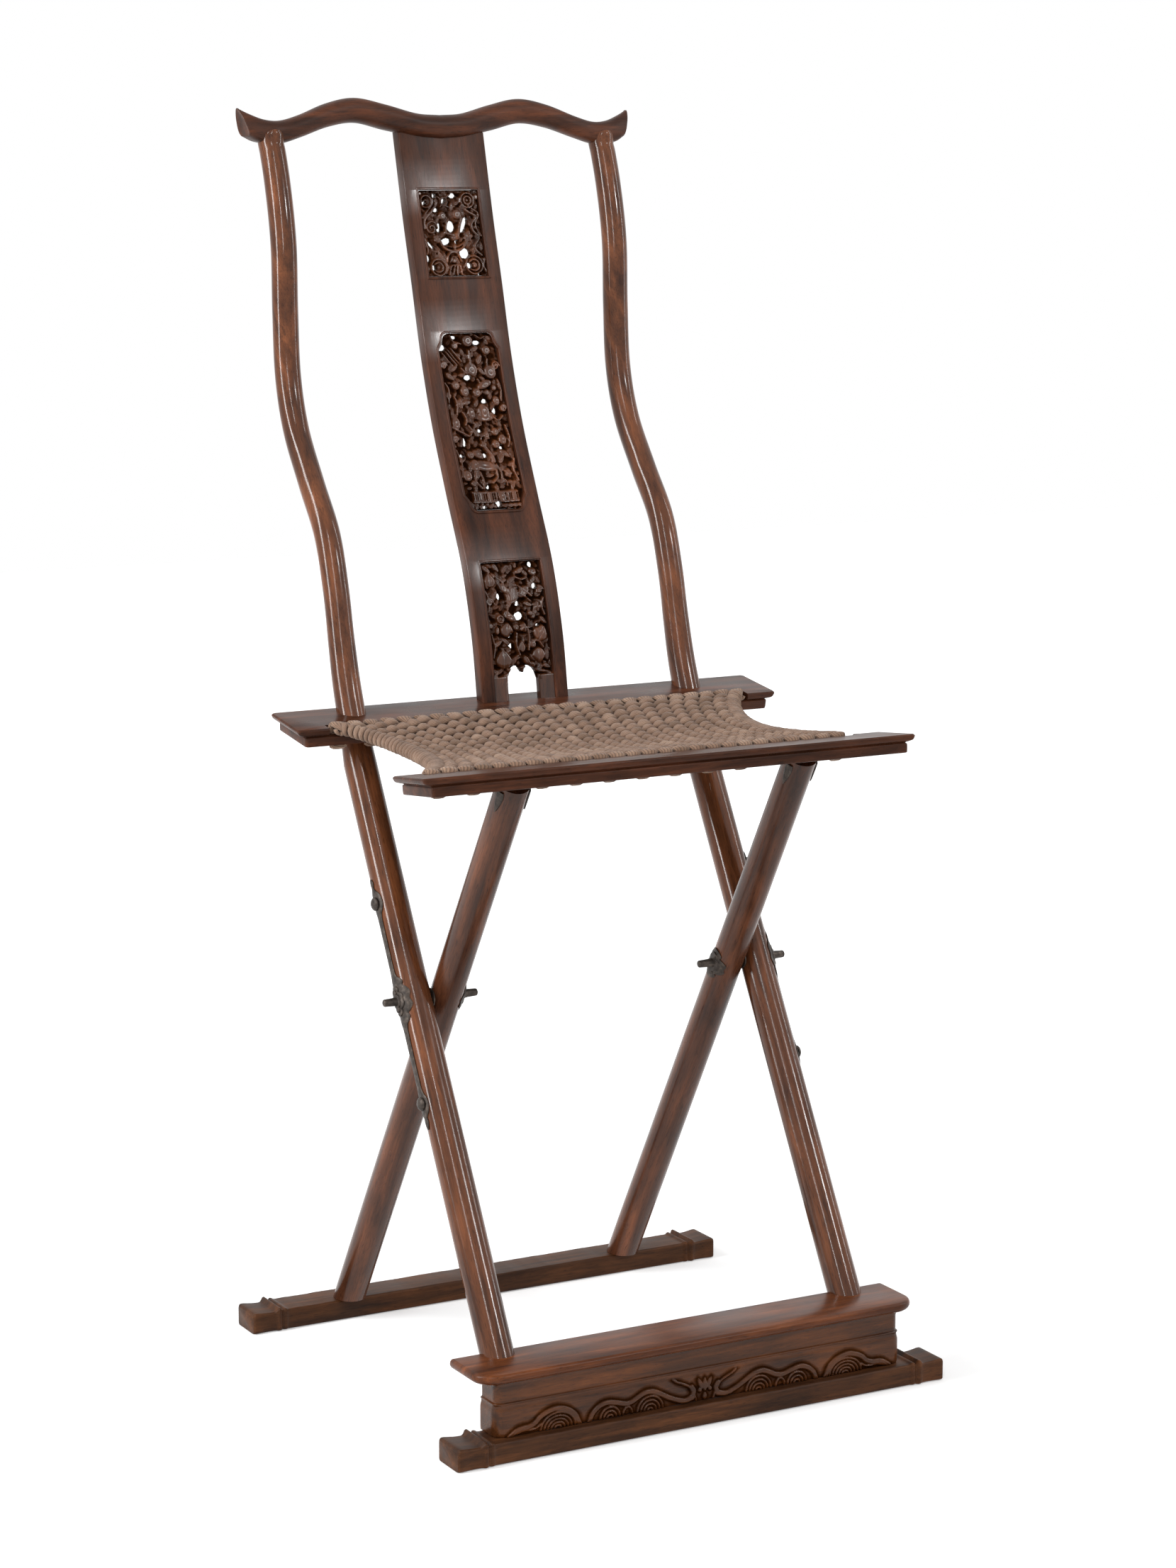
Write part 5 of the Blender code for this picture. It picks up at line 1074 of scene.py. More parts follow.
attach(splat, bead([(half, low), (half, high), (-half, high), (-half, low)], closed=False))
POLISH_REACH = 0.030  # how far over an opening the board is rubbed bright
points = np.array([point.co for point in splat.data.vertices])
polish = np.zeros(len(points))
for shares in (UPPER_PANEL_SHARES, MIDDLE_PANEL_SHARES, LOWER_PANEL_SHARES):
    above = (points[:, 2] - splat_z(shares[1])) / POLISH_REACH
    polish = np.maximum(polish, np.clip(1 - above, 0, 1) * np.clip(1 + above * 1.2, 0, 1))
note(splat, "polish", polish * np.clip(0.75 - points[:, 0] / 0.06, 0, 1))
print("splat faces:", len(splat.data.polygons))

# %% [markdown]
# ## Carved panels
# The three openings hold pierced carving of fruit, flowers, leaves, ribbons, a bell, a bird and
# a deer, worked in deep relief. The motifs are placed one by one, as shares of each panel's half
# width and half height, and their sizes are in millimetres. Small leaves fill what ground is
# left. The hollows are noted on the mesh, so that the finish can darken them with painted shade
# and take their shine down.

# %% Motif tables
# domes: u, v, half width, half height, turn; leaves: u, v, turn, length, width; peaches: u, v,
# radius, turn; rings, spirals and blossoms: u, v, radius; holes: u, v, half u, half v, turn
UPPER_MOTIFS_SHARES = {
    "stems": [
        (3.4, [(-0.44, 0.89), (-0.45, 0.66), (-0.64, 0.50), (-0.89, 0.32), (-0.935, 0.12)]),
        (2.0, [(-0.53, 0.93), (-0.56, 0.70), (-0.76, 0.52), (-0.97, 0.36)]),
        (3.2, [(0.41, 0.62), (0.63, 0.50), (0.87, 0.38), (0.70, 0.21), (0.73, 0.05), (0.90, -0.11),
               (0.71, -0.30), (0.77, -0.42), (0.92, -0.52)]),
        (2.0, [(0.53, 0.70), (0.75, 0.58), (0.97, 0.44), (0.84, 0.22), (0.86, 0.08), (0.99, -0.08)]),
        (2.4, [(-0.08, 0.32), (-0.17, 0.18), (-0.245, 0.01)]),
        (3.6, [(0.39, 0.34), (0.22, 0.02), (0.02, -0.34)]),
        (2.4, [(-0.22, 0.0), (-0.04, -0.03), (0.13, -0.02)]),
        (3.0, [(-0.455, -0.19), (-0.30, -0.36), (-0.02, -0.42), (0.28, -0.36), (0.456, -0.19)]),
        (1.8, [(-0.40, -0.20), (-0.22, -0.29), (-0.02, -0.33), (0.22, -0.29), (0.40, -0.20)]),
        (2.0, [(-0.30, -0.66), (-0.22, -0.50), (-0.06, -0.44), (0.10, -0.50), (0.18, -0.66)]),
        (1.8, [(-0.20, -0.68), (-0.14, -0.58), (-0.06, -0.54), (0.03, -0.58), (0.09, -0.68)]),
        (2.0, [(-0.30, 0.62), (-0.02, 0.86), (0.22, 0.92)]),
        (2.0, [(-0.36, 0.86), (-0.06, 0.62), (0.18, 0.62)]),
        (2.6, [(-0.97, -0.12), (-0.90, -0.36), (-0.97, -0.58)]),
        (2.4, [(0.30, -0.50), (0.36, -0.66), (0.24, -0.80)]),
        (2.4, [(-0.38, -0.60), (-0.30, -0.78), (-0.38, -0.94)]),
        (2.6, [(0.98, -0.60), (0.92, -0.76), (0.98, -0.90)]),
        (2.0, [(-0.28, -0.97), (-0.18, -0.78), (-0.08, -0.74)]),
        (2.0, [(-0.14, -0.97), (-0.08, -0.82), (-0.02, -0.74)]),
        (2.0, [(0.00, -0.97), (0.02, -0.84), (0.05, -0.75)]),
        (2.0, [(0.15, -0.97), (0.13, -0.82), (0.12, -0.76)]),
    ],
    "rings": [
        (-0.77, 0.745, 5.4), (0.63, 0.765, 6.6), (0.63, 0.765, 3.6), (-0.62, -0.79, 7.4),
        (-0.62, -0.79, 4.2), (0.60, -0.745, 8.2), (0.60, -0.745, 5.0),
    ],
    "spirals": [(-0.69, 0.12, 6.8)],
    "domes": [
        (-0.77, 0.745, 2.4, 2.4, 0), (0.63, 0.765, 1.8, 1.8, 0), (-0.62, -0.79, 2.2, 2.2, 0),
        (0.60, -0.745, 3.0, 3.0, 0), (-0.15, 0.745, 4.6, 4.6, 45), (-0.27, 0.41, 4.0, 4.2, 0),
        (0.235, 0.44, 5.0, 4.6, 0), (-0.06, -0.64, 3.0, 2.6, 0), (0.94, 0.84, 2.6, 3.0, 0),
        (-0.95, 0.93, 2.6, 2.4, 0), (0.05, -0.12, 3.4, 2.6, 30),
    ],
    "leaves": [
        (-0.89, -0.20, 120, 11, 5.5), (-0.66, -0.38, -30, 12, 6), (-0.48, -0.55, -60, 11, 5.5),
        (0.28, 0.70, 20, 9, 5), (0.93, -0.32, 80, 9, 5), (0.58, 0.26, -60, 11, 5), (-0.45, 0.30, 70, 10, 5),
        (0.06, 0.62, 80, 9, 4.5), (0.92, 0.62, 60, 8, 4.5), (0.50, -0.42, 20, 8, 4),
    ],
    "peaches": [],
    "blossoms": [(0.52, -0.07, 5.4), (-0.55, -0.13, 4.2)],
    "holes": [
        (-0.46, 0.87, 0.05, 0.04, 0), (-0.155, 0.75, 0.05, 0.06, -35), (0.20, 0.87, 0.09, 0.05, 0),
        (-0.81, 0.70, 0.035, 0.06, -25), (-0.43, 0.54, 0.07, 0.04, 0), (-0.97, 0.46, 0.06, 0.05, 0),
        (-0.39, 0.13, 0.045, 0.10, -8), (0.01, 0.15, 0.12, 0.11, 5), (0.46, 0.19, 0.07, 0.17, -25),
        (-0.21, -0.20, 0.13, 0.06, 15), (0.115, -0.21, 0.04, 0.045, 0), (-0.75, -0.29, 0.04, 0.10, 35),
        (0.38, -0.48, 0.13, 0.10, 30), (-0.93, -0.59, 0.08, 0.07, 0), (-0.74, -0.80, 0.045, 0.05, 0),
        (0.47, -0.765, 0.08, 0.05, -40), (0.76, -0.96, 0.04, 0.03, 0),
    ],
}
MIDDLE_MOTIFS_SHARES = {
    "stems": [
        (2.2, [(-0.89, 0.79), (-0.72, 0.70), (-0.53, 0.61)]),
        (2.2, [(-0.80, 0.82), (-0.63, 0.73), (-0.44, 0.64)]),
        (2.2, [(-0.70, 0.83), (-0.53, 0.74), (-0.36, 0.66)]),
        (2.2, [(-0.58, 0.83), (-0.42, 0.75), (-0.27, 0.68)]),
        (2.8, [(-0.93, -0.065), (-0.69, -0.115), (-0.45, -0.165)]),
        (2.4, [(-0.39, -0.05), (-0.165, -0.165)]), (2.4, [(-0.38, -0.165), (-0.165, -0.055)]),
        (4.0, [(-0.01, -0.27), (0.08, -0.33), (0.20, -0.395), (0.24, -0.46)]),
        (1.8, [(0.00, -0.25), (0.10, -0.21), (0.24, -0.20)]),
        (1.6, [(-0.02, -0.25), (-0.06, -0.20), (0.02, -0.17)]),
        (2.8, [(-0.44, -0.56), (-0.52, -0.66), (-0.35, -0.755)]),
        (2.6, [(0.26, -0.56), (0.24, -0.64), (0.05, -0.70)]),
        (2.6, [(0.30, -0.50), (0.40, -0.60), (0.36, -0.70)]),
        (2.6, [(-0.30, -0.58), (-0.24, -0.68), (-0.28, -0.76)]),
        (2.6, [(-0.72, -0.80), (0.04, -0.805), (0.80, -0.80)]),
        (2.6, [(-0.72, -0.905), (0.04, -0.91), (0.80, -0.905)]),
        (2.2, [(0.30, 0.98), (0.48, 0.94), (0.62, 0.96)]),
        (2.4, [(-0.55, 0.98), (-0.42, 0.91), (-0.20, 0.88)]),
        (2.4, [(0.03, 0.80), (0.02, 0.70), (0.03, 0.62)]),
        (2.2, [(0.62, 0.70), (0.58, 0.64), (0.62, 0.58)]),
        (2.4, [(-0.30, 0.60), (-0.16, 0.54), (-0.02, 0.50)]),
        (2.4, [(0.20, 0.47), (0.30, 0.40), (0.42, 0.38)]),
        (2.4, [(0.86, 0.46), (0.93, 0.34), (0.88, 0.22)]),
        (2.4, [(-0.95, 0.44), (-0.86, 0.36), (-0.92, 0.22)]),
        (2.2, [(-0.70, 0.28), (-0.64, 0.20), (-0.70, 0.08)]),
        (2.2, [(0.50, 0.04), (0.66, 0.00), (0.84, 0.05)]),
        (2.2, [(0.86, -0.06), (0.93, -0.20), (0.84, -0.30)]),
        (2.4, [(-0.95, -0.32), (-0.86, -0.48), (-0.95, -0.62)]),
        (2.4, [(0.93, -0.44), (0.84, -0.56), (0.93, -0.68)]),
        (2.2, [(-0.50, 0.10), (-0.42, 0.02), (-0.48, -0.04)]),
    ],
    "rings": [],
    "spirals": [(0.86, 0.62, 4.0), (-0.90, 0.64, 3.6), (0.90, 0.13, 3.6), (-0.92, -0.20, 3.4)],
    "domes": [
        (0.03, 0.915, 5.6, 5.6, 0), (0.025, 0.58, 6.5, 7.0, 0), (0.65, 0.55, 6.0, 6.5, 20),
        (-0.58, 0.41, 4.3, 4.3, 0), (-0.31, 0.34, 4.6, 5.2, 0), (-0.89, 0.295, 3.4, 3.4, 0),
        (0.095, 0.32, 4.3, 4.3, 0), (0.44, 0.32, 3.0, 3.0, 0), (0.69, 0.37, 3.0, 3.0, 0),
        (0.39, 0.41, 8.0, 3.6, 20), (0.70, 0.22, 3.4, 4.6, 0), (-0.21, 0.09, 4.0, 5.6, 0),
        (0.22, 0.10, 6.0, 7.6, 0), (0.22, 0.03, 9.0, 3.6, 0), (-0.79, -0.02, 4.6, 6.0, 0),
        (-0.15, -0.14, 3.7, 3.7, 0), (0.15, -0.16, 3.7, 3.7, 0), (0.47, -0.13, 3.7, 3.7, 0),
        (0.67, -0.22, 4.2, 5.0, 0), (0.42, -0.27, 4.0, 4.0, 0), (-0.01, -0.27, 3.8, 2.6, 20),
        (-0.10, -0.51, 13.5, 5.0, -8), (-0.42, -0.50, 5.2, 5.6, 0), (-0.24, -0.38, 6.4, 3.6, -30),
        (-0.51, -0.38, 3.7, 3.7, 0), (-0.77, -0.61, 5.0, 5.0, 0), (-0.61, -0.70, 3.0, 3.0, 0),
        (0.255, -0.855, 4.6, 5.0, 0), (-0.42, 0.86, 3.6, 3.6, 0), (0.62, 0.80, 4.4, 4.4, 0),
    ],
    "leaves": [
        (-0.73, 0.51, -40, 11, 6), (-0.84, 0.11, 70, 9, 5), (-0.70, -0.24, 60, 10, 4.6),
        (-0.80, -0.425, 30, 10, 5.5), (0.67, -0.38, -40, 11, 6), (0.73, -0.73, 60, 10, 5),
        (0.34, 0.70, 60, 11, 6), (0.24, 0.82, 20, 10, 5.5), (-0.20, 0.78, -70, 9, 5),
        (0.82, -0.50, 20, 9, 5), (0.36, 0.56, -50, 10, 5), (-0.30, 0.21, 10, 9, 5),
        (0.52, 0.06, -20, 10, 5), (0.02, 0.20, 60, 9, 5), (0.50, -0.44, 50, 10, 5),
        (-0.56, 0.60, 30, 10, 5), (0.48, -0.70, -60, 9, 5), (0.02, -0.62, 10, 10, 4),
        (0.90, 0.40, 80, 8, 4), (-0.60, -0.52, 80, 9, 4.6),
    ],
    "peaches": [],
    "blossoms": [(-0.55, 0.20, 5.0), (0.63, -0.60, 4.4), (-0.10, -0.05, 3.8)],
    "holes": [
        (-0.85, 0.84, 0.12, 0.03, 0), (-0.38, 0.95, 0.07, 0.015, 0), (0.39, 0.885, 0.09, 0.02, 0),
        (-0.09, 0.49, 0.09, 0.025, 0), (0.345, 0.215, 0.07, 0.02, 0), (0.63, 0.10, 0.05, 0.03, 0),
        (-0.02, -0.12, 0.07, 0.015, 0), (-0.58, -0.24, 0.045, 0.04, 0), (-0.78, -0.395, 0.04, 0.02, 0),
        (0.63, -0.32, 0.045, 0.012, 0), (-0.10, -0.75, 0.04, 0.02, 0), (-0.37, -0.97, 0.05, 0.012, 0),
        (0.12, -0.94, 0.07, 0.03, 0), (0.47, -0.72, 0.03, 0.01, 0), (0.02, -0.40, 0.05, 0.018, 0),
    ],
}
for step in range(38):
    u = -0.70 + step * 0.0405
    if not 0.08 < u < 0.42:
        MIDDLE_MOTIFS_SHARES["stems"].append((1.1, [(u, -0.80), (u, -0.855), (u, -0.905)]))
for step in range(11):
    u = -0.82 + step * 0.165
    MIDDLE_MOTIFS_SHARES["leaves"].append((u, -0.955, 60 - step * 6, 7.5, 4.4))
LOWER_MOTIFS_SHARES = {
    "stems": [
        (3.4, [(-0.93, -0.70), (-0.60, -0.63), (-0.33, -0.60), (0.06, -0.525), (0.51, -0.58),
               (0.78, -0.60), (1.00, -0.64)]), (2.6, [(0.40, -0.14), (0.63, -0.16), (0.77, -0.25)]),
        (2.4, [(-0.97, 0.60), (-0.88, 0.46), (-0.95, 0.30)]),
        (2.4, [(0.95, 0.46), (0.86, 0.34), (0.93, 0.22)]),
        (2.2, [(-0.10, -0.02), (-0.14, -0.20), (-0.06, -0.34)]),
        (2.4, [(-0.50, -0.70), (-0.46, -0.74), (-0.56, -0.76)]),
        (2.4, [(0.46, -0.69), (0.50, -0.74), (0.58, -0.72)]),
        (3.0, [(0.06, 0.66), (0.30, 0.60), (0.55, 0.50)]),
        (2.2, [(0.10, 0.56), (0.32, 0.50), (0.50, 0.42)]),
        (2.2, [(-0.56, 0.80), (-0.40, 0.74), (-0.30, 0.68)]),
        (2.2, [(0.10, 0.78), (0.30, 0.74), (0.50, 0.76)]),
        (2.2, [(-0.95, -0.02), (-0.88, -0.20), (-0.95, -0.36)]),
        (2.2, [(0.30, 0.02), (0.32, -0.12), (0.26, -0.28)]),
    ],
    "rings": [(-0.59, 0.19, 3.0), (-0.36, 0.25, 2.6)],
    "spirals": [(0.86, 0.58, 3.8), (-0.88, 0.44, 3.8)],
    "domes": [
        (-0.34, 0.62, 6.4, 3.6, -45), (0.72, 0.84, 4.0, 4.0, 0), (-0.25, 0.21, 7.0, 3.6, -30),
        (0.52, 0.21, 3.2, 3.2, 0), (0.44, 0.25, 2.6, 2.6, 0), (0.60, 0.26, 2.6, 2.6, 0),
        (0.41, -0.20, 3.6, 3.6, 0), (-0.03, -0.61, 6.0, 4.0, 0), (0.31, 0.56, 7.4, 4.2, 35),
        (-0.08, 0.06, 3.4, 3.4, 0), (0.34, -0.50, 3.4, 3.4, 0), (-0.95, 0.10, 3.0, 3.0, 0),
    ],
    "leaves": [
        (-0.82, 0.905, -40, 11, 6), (-0.50, 0.92, -60, 10, 5.5), (-0.20, 0.90, 50, 11, 6),
        (0.30, 0.87, 30, 10, 5.5), (0.44, 0.83, 140, 9, 5), (-0.01, 0.74, 30, 12, 6),
        (0.69, 0.72, 60, 9, 5), (0.86, 0.72, 120, 9, 5), (-0.67, 0.53, 60, 12, 6.5),
        (0.40, 0.38, -20, 10, 5), (0.87, 0.135, -45, 10, 5.5), (-0.73, 0.03, 80, 8, 4.5),
        (-0.75, -0.16, 30, 10, 5.5), (-0.51, -0.13, 140, 10, 5.5), (0.04, -0.22, 90, 11, 8),
        (0.87, -0.36, 80, 11, 5.5), (-0.25, -0.42, 50, 12, 6), (0.18, -0.44, -60, 12, 6.5),
        (0.83, -0.525, -20, 9, 5), (-0.75, -0.56, 30, 10, 5), (-0.44, -0.56, 150, 9, 5),
        (0.60, -0.54, 20, 9, 4.6), (-0.92, -0.62, 60, 8, 4.5), (0.56, 0.66, 110, 9, 5),
        (0.08, 0.32, 60, 9, 4.6), (-0.90, 0.70, 100, 10, 5),
    ],
    "peaches": [
        (-0.78, 0.75, 5.6, 90), (-0.41, 0.03, 6.0, 80), (0.72, -0.04, 6.6, 60), (0.59, -0.36, 6.0, -90),
        (-0.61, -0.39, 7.5, 90),
    ],
    "blossoms": [(0.69, 0.34, 4.8), (0.17, 0.05, 4.5)],
    "holes": [
        (0.74, 0.93, 0.05, 0.03, 0), (0.75, 0.63, 0.06, 0.035, -30), (-0.49, 0.50, 0.04, 0.035, 0),
        (0.10, 0.39, 0.05, 0.03, 0), (0.09, 0.21, 0.12, 0.05, 0), (0.67, 0.07, 0.04, 0.015, 0),
        (-0.29, -0.055, 0.03, 0.03, 0), (-0.285, -0.21, 0.045, 0.035, 0), (0.14, 0.62, 0.025, 0.02, 0),
    ],
}
for i in range(7):
    feather = [
        (-0.30 + 0.02 * i, 0.30 + 0.02 * i), (-0.26 + 0.05 * i, 0.46),
        (-0.34 + 0.075 * i, 0.60 + 0.006 * i),
    ]
    LOWER_MOTIFS_SHARES["stems"].append((2.2, feather))
LOWER_ARCH_SHARES = [
    (-1.00, -0.34), (-0.80, -0.06), (-0.34, 0.10), (0.00, -0.12), (0.34, 0.10), (0.80, -0.06),
    (1.00, -0.34),
]

# %% Carve and mesh the panels
CARVED_TOP = -0.4  # mm from the splat's face to the carving's highest points
GROUND = -6.0  # mm, how deep the ground is sunk
PANEL_BACK = 0.0085  # the panels' back, behind the splat's face
PANEL_GAP_MM = 0.3  # between a panel and the wall of its opening
ROW_STEP_MM = 0.48  # the carving's grid, up and down
COLUMNS = 128
BARE_SHARE = 0.02  # the ground that the small leaves may leave bare
MOST_LEAVES = 200


def carve_panel(shares, motifs, seed):
    """A panel's carving, from its motifs and from leaves that fill the bare ground."""
    half_x = PANEL_WIDTH * 500 - PANEL_GAP_MM
    half_z = SPLAT_HEIGHT * (shares[1] - shares[0]) * 500 - PANEL_GAP_MM
    rows = round(2 * half_z / ROW_STEP_MM)
    carving = Carving(np.linspace(-half_x, half_x, COLUMNS), np.linspace(-half_z, half_z, rows), GROUND)
    chance = np.random.default_rng(seed)

    def spot(u, v):
        return u * half_x, v * half_z

    def top():
        return CARVED_TOP - chance.uniform(0, 1.6)

    for width, points in motifs["stems"]:
        carving.stem([spot(u, v) for u, v in points], width, top())
    for u, v, turn, length, width in motifs["leaves"]:
        carving.leaf(spot(u, v), turn, length, width, top())
    for u, v, half_u, half_v, turn in motifs["domes"]:
        carving.dome(spot(u, v), (half_u, half_v), top() + 0.6, turn, dimple=0.5)
    for u, v, radius, turn in motifs["peaches"]:
        carving.peach(spot(u, v), radius, CARVED_TOP + 0.5, turn)
    for u, v, radius in motifs["blossoms"]:
        carving.blossom(spot(u, v), radius, CARVED_TOP)
    for u, v, radius in motifs["rings"]:
        carving.ring(spot(u, v), radius, 2.2, CARVED_TOP)
    for u, v, radius in motifs["spirals"]:
        carving.spiral(spot(u, v), radius, CARVED_TOP - 0.4)
    for u, v, half_u, half_v, turn in motifs["holes"]:
        carving.pierce(spot(u, v), (half_u * 1.2 * half_x, half_v * 1.15 * half_z), turn)
    for i in range(MOST_LEAVES):
        bare = np.argwhere((carving.height < GROUND + 1) & ~carving.open)
        if len(bare) < carving.height.size * BARE_SHARE:
            break
        row, column = bare[chance.integers(len(bare))]
        size = chance.uniform(5, 9)
        at = (carving.x[row, column], carving.z[row, column])
        carving.leaf(at, chance.uniform(0, 180), size, size * 0.6, chance.uniform(-3.8, -1.6))
    return carving


def carved_panel(name, carving, shares, node):
    """A closed solid of the carved front, a flat back and walls round each opening."""
    carving.ease_holes()
    carving.height = np.maximum(carving.height, GROUND - 0.8)
    carving.soften()
    closed = ~carving.open
    cell = closed[:-1, :-1] & closed[1:, :-1] & closed[:-1, 1:] & closed[1:, 1:]
    count = carving.x.size
    ids = np.arange(count).reshape(carving.x.shape)
    corners = [ids[:-1, :-1], ids[:-1, 1:], ids[1:, 1:], ids[1:, :-1]]
    front = np.stack(corners, -1)[cell]
    faces = [front, front[:, ::-1] + count]
    beside = np.pad(cell, 1)
    outside = [beside[:-2, 1:-1], beside[1:-1, 2:], beside[2:, 1:-1], beside[1:-1, :-2]]
    for side in range(4):
        edge = cell & ~outside[side]
        near, far = corners[side][edge], corners[(side + 1) % 4][edge]
        faces.append(np.stack([far, near, near + count, far + count], -1))
    faces = np.vstack(faces)
    z = splat_z((shares[0] + shares[1]) / 2) + carving.z.ravel() / 1000
    x = carving.x.ravel() / 1000
    front_points = np.stack([x, splat_y(z) - carving.height.ravel() / 1000, z], -1)
    back_points = np.stack([x, splat_y(z) + PANEL_BACK, z], -1)
    used, renumbered = np.unique(faces, return_inverse=True)
    points = np.vstack([front_points, back_points])[used]
    # Painted shade: the deeper a point of the carving lies, the darker its colour; the flat back gets a
    # little.
    front_painted_shade = np.clip((CARVED_TOP - 0.8 - carving.height.ravel()) / 5.5, 0, 1)
    painted_recess_shade = np.concatenate([front_painted_shade, np.full(count, 0.2)])
    solid = (points.tolist(), renumbered.reshape(-1, 4).tolist())
    panel = make(name, solid, woods["carving"], "back_frame", [node], sharp_deg=60)
    note(panel, "painted_recess_shade", painted_recess_shade[used])
    print(name, "faces:", len(panel.data.polygons))


upper = carve_panel(UPPER_PANEL_SHARES, UPPER_MOTIFS_SHARES, 3)
carved_panel("carved_upper_panel", upper, UPPER_PANEL_SHARES, "upper_carved_panel")
middle = carve_panel(MIDDLE_PANEL_SHARES, MIDDLE_MOTIFS_SHARES, 4)
carved_panel("carved_middle_panel", middle, MIDDLE_PANEL_SHARES, "middle_carved_panel")
lower = carve_panel(LOWER_PANEL_SHARES, LOWER_MOTIFS_SHARES, 5)
PAD = 15.5  # mm from the middle to the inner edge of the panel's two feet
ARCH_HEIGHT = 28  # mm, of the opening between the feet
PAD_TOP_SHARE = 0.36  # of the panel's half height
PAD_FACE = -0.6  # mm from the splat's face
foot = lower.z.min()
arch = [(u * PAD, foot + ARCH_HEIGHT * (1 + rise)) for u, rise in LOWER_ARCH_SHARES]
edge = np.interp(lower.x, *zip(*curve_through(arch, 80)))
lower.open |= (np.abs(lower.x) < PAD) & (lower.z < edge)
pads = (np.abs(lower.x) >= PAD) & (lower.z < foot + PAD_TOP_SHARE * -foot)
lower.open &= ~pads
lower.height = np.where(pads, PAD_FACE, lower.height)
carved_panel("carved_lower_panel", lower, LOWER_PANEL_SHARES, "lower_carved_panel")

# %% [markdown]
# ## Ironwork at the crossing
# The two frames turn on iron pins at the crossing of the legs. Outside, a long strap with
# cloud-shaped swellings lies along each front leg under a small rosette and is held by domed
# nails. Inside, a double cloud plate guards each rear leg. All plates are hammered round the
# legs, so they are built as thin shells on a cylinder: the outline gives a half width for each
# place along the leg, and the rim is thinned as filing leaves it.

# %% Plates on a leg
def leg_plate(centre, along, outwards, base, thickness, outline, count=130, half_steps=9):
    """A plate bent round a leg, from (distance along the leg, half width) rows."""
    along = along.normalized()
    outwards = (outwards - along * outwards.dot(along)).normalized()
    side = along.cross(outwards)
    rings = []
    for distance, half in curve_through(outline, count):
        ring = []
        for way, lift in ((1, thickness), (-1, 0.0)):
            for across in np.linspace(-way, way, 2 * half_steps + 1):
                rim = 1 - 0.6 * abs(across) ** 8
                turn = math.asin(min(0.99, max(half, 0.0002) * abs(across) / (base + thickness)))
                turn = math.copysign(turn, across)
                away = outwards * math.cos(turn) + side * math.sin(turn)
                ring.append(tuple(centre + along * distance + away * (base + lift * rim)))
        rings.append(ring)
    return skin(rings)


def turned(start, direction, profile, sides=32):
    """A turned shape from (distance, radius) rows."""
    direction = Vector(direction).normalized()
    helper = Vector((1, 0, 0)) if abs(direction.x) < 0.9 else Vector((0, 0, 1))
    side = direction.cross(helper).normalized()
    up = side.cross(direction)
    turns = [2 * math.pi * k / sides for k in range(sides)]
    spokes = [side * math.cos(turn) + up * math.sin(turn) for turn in turns]
    return skin([
        [tuple(start + direction * distance + spoke * radius) for spoke in spokes]
        for distance, radius in profile
    ])


OUT = Vector((1, 0, 0))
front_up = (front_leg_point(1) - front_leg_point(0)).normalized()
rear_up = (rear_leg_point(1) - rear_leg_point(0)).normalized()
front_crossing, rear_crossing = front_leg_point(PIVOT.z), rear_leg_point(PIVOT.z)
STRAP_UPPER, STRAP_LOWER = 0.1120, 0.1160  # the strap's reach from the crossing
STRAP_HALF_WIDTH, STRAP_THICKNESS = 0.0132, 0.0011
NAIL_SHARE = 0.80  # of the strap's reach
# Plates laid on each other: thickness, half length and half width
ROSETTE_LAYERS = [(0.0014, 0.0135, 0.0085), (0.0028, 0.0100, 0.0062)]
CLOUD_LAYERS = [(0.0011, 0.0155, 0.0130), (0.0022, 0.0118, 0.0098)]
STRAP_UPPER_SHARES = [
    (1.000, 0.03), (0.985, 0.14), (0.960, 0.20), (0.930, 0.12), (0.905, 0.22), (0.870, 0.50), (0.830, 0.62),
    (0.780, 0.64), (0.740, 0.52), (0.700, 0.34), (0.620, 0.28), (0.300, 0.28), (0.205, 0.34), (0.170, 0.58),
    (0.140, 0.74), (0.112, 0.68), (0.090, 0.86), (0.050, 1.00), (0.000, 0.93),
]
STRAP_LOWER_SHARES = [
    (0.050, 1.00), (0.090, 0.86), (0.112, 0.68), (0.140, 0.74), (0.170, 0.58), (0.205, 0.34), (0.300, 0.28),
    (0.640, 0.28), (0.720, 0.36), (0.770, 0.55), (0.820, 0.60), (0.870, 0.48), (0.910, 0.22), (0.940, 0.24),
    (0.965, 0.20), (0.985, 0.12), (1.000, 0.03),
]
CLOUD_SHARES = [
    (-1.00, 0.06), (-0.95, 0.30), (-0.82, 0.52), (-0.66, 0.56), (-0.58, 0.50), (-0.46, 0.82), (-0.26, 1.00),
    (-0.06, 0.96), (0.06, 0.96), (0.26, 1.00), (0.46, 0.82), (0.58, 0.50), (0.66, 0.56), (0.82, 0.52),
    (0.95, 0.30), (1.00, 0.06),
]
LEAF_SHARES = [(0.00, 0.75), (0.20, 1.00), (0.45, 0.90), (0.75, 0.55), (0.92, 0.25), (1.00, 0.06)]


def cloud_plates(crossing, up, outwards, base, layers):
    """Cloud-shaped plates on a leg, the smaller ones thicker so that they stand out."""
    plates = []
    for thickness, half_length, half_width in layers:
        rows = [(place * half_length, width * half_width) for place, width in CLOUD_SHARES]
        plates.append(leg_plate(crossing, up, outwards, base, thickness, rows))
    return joined(*plates)


def iron_pair(name, solid, body, node):
    make_pair(name, solid, iron, body, node, 40)


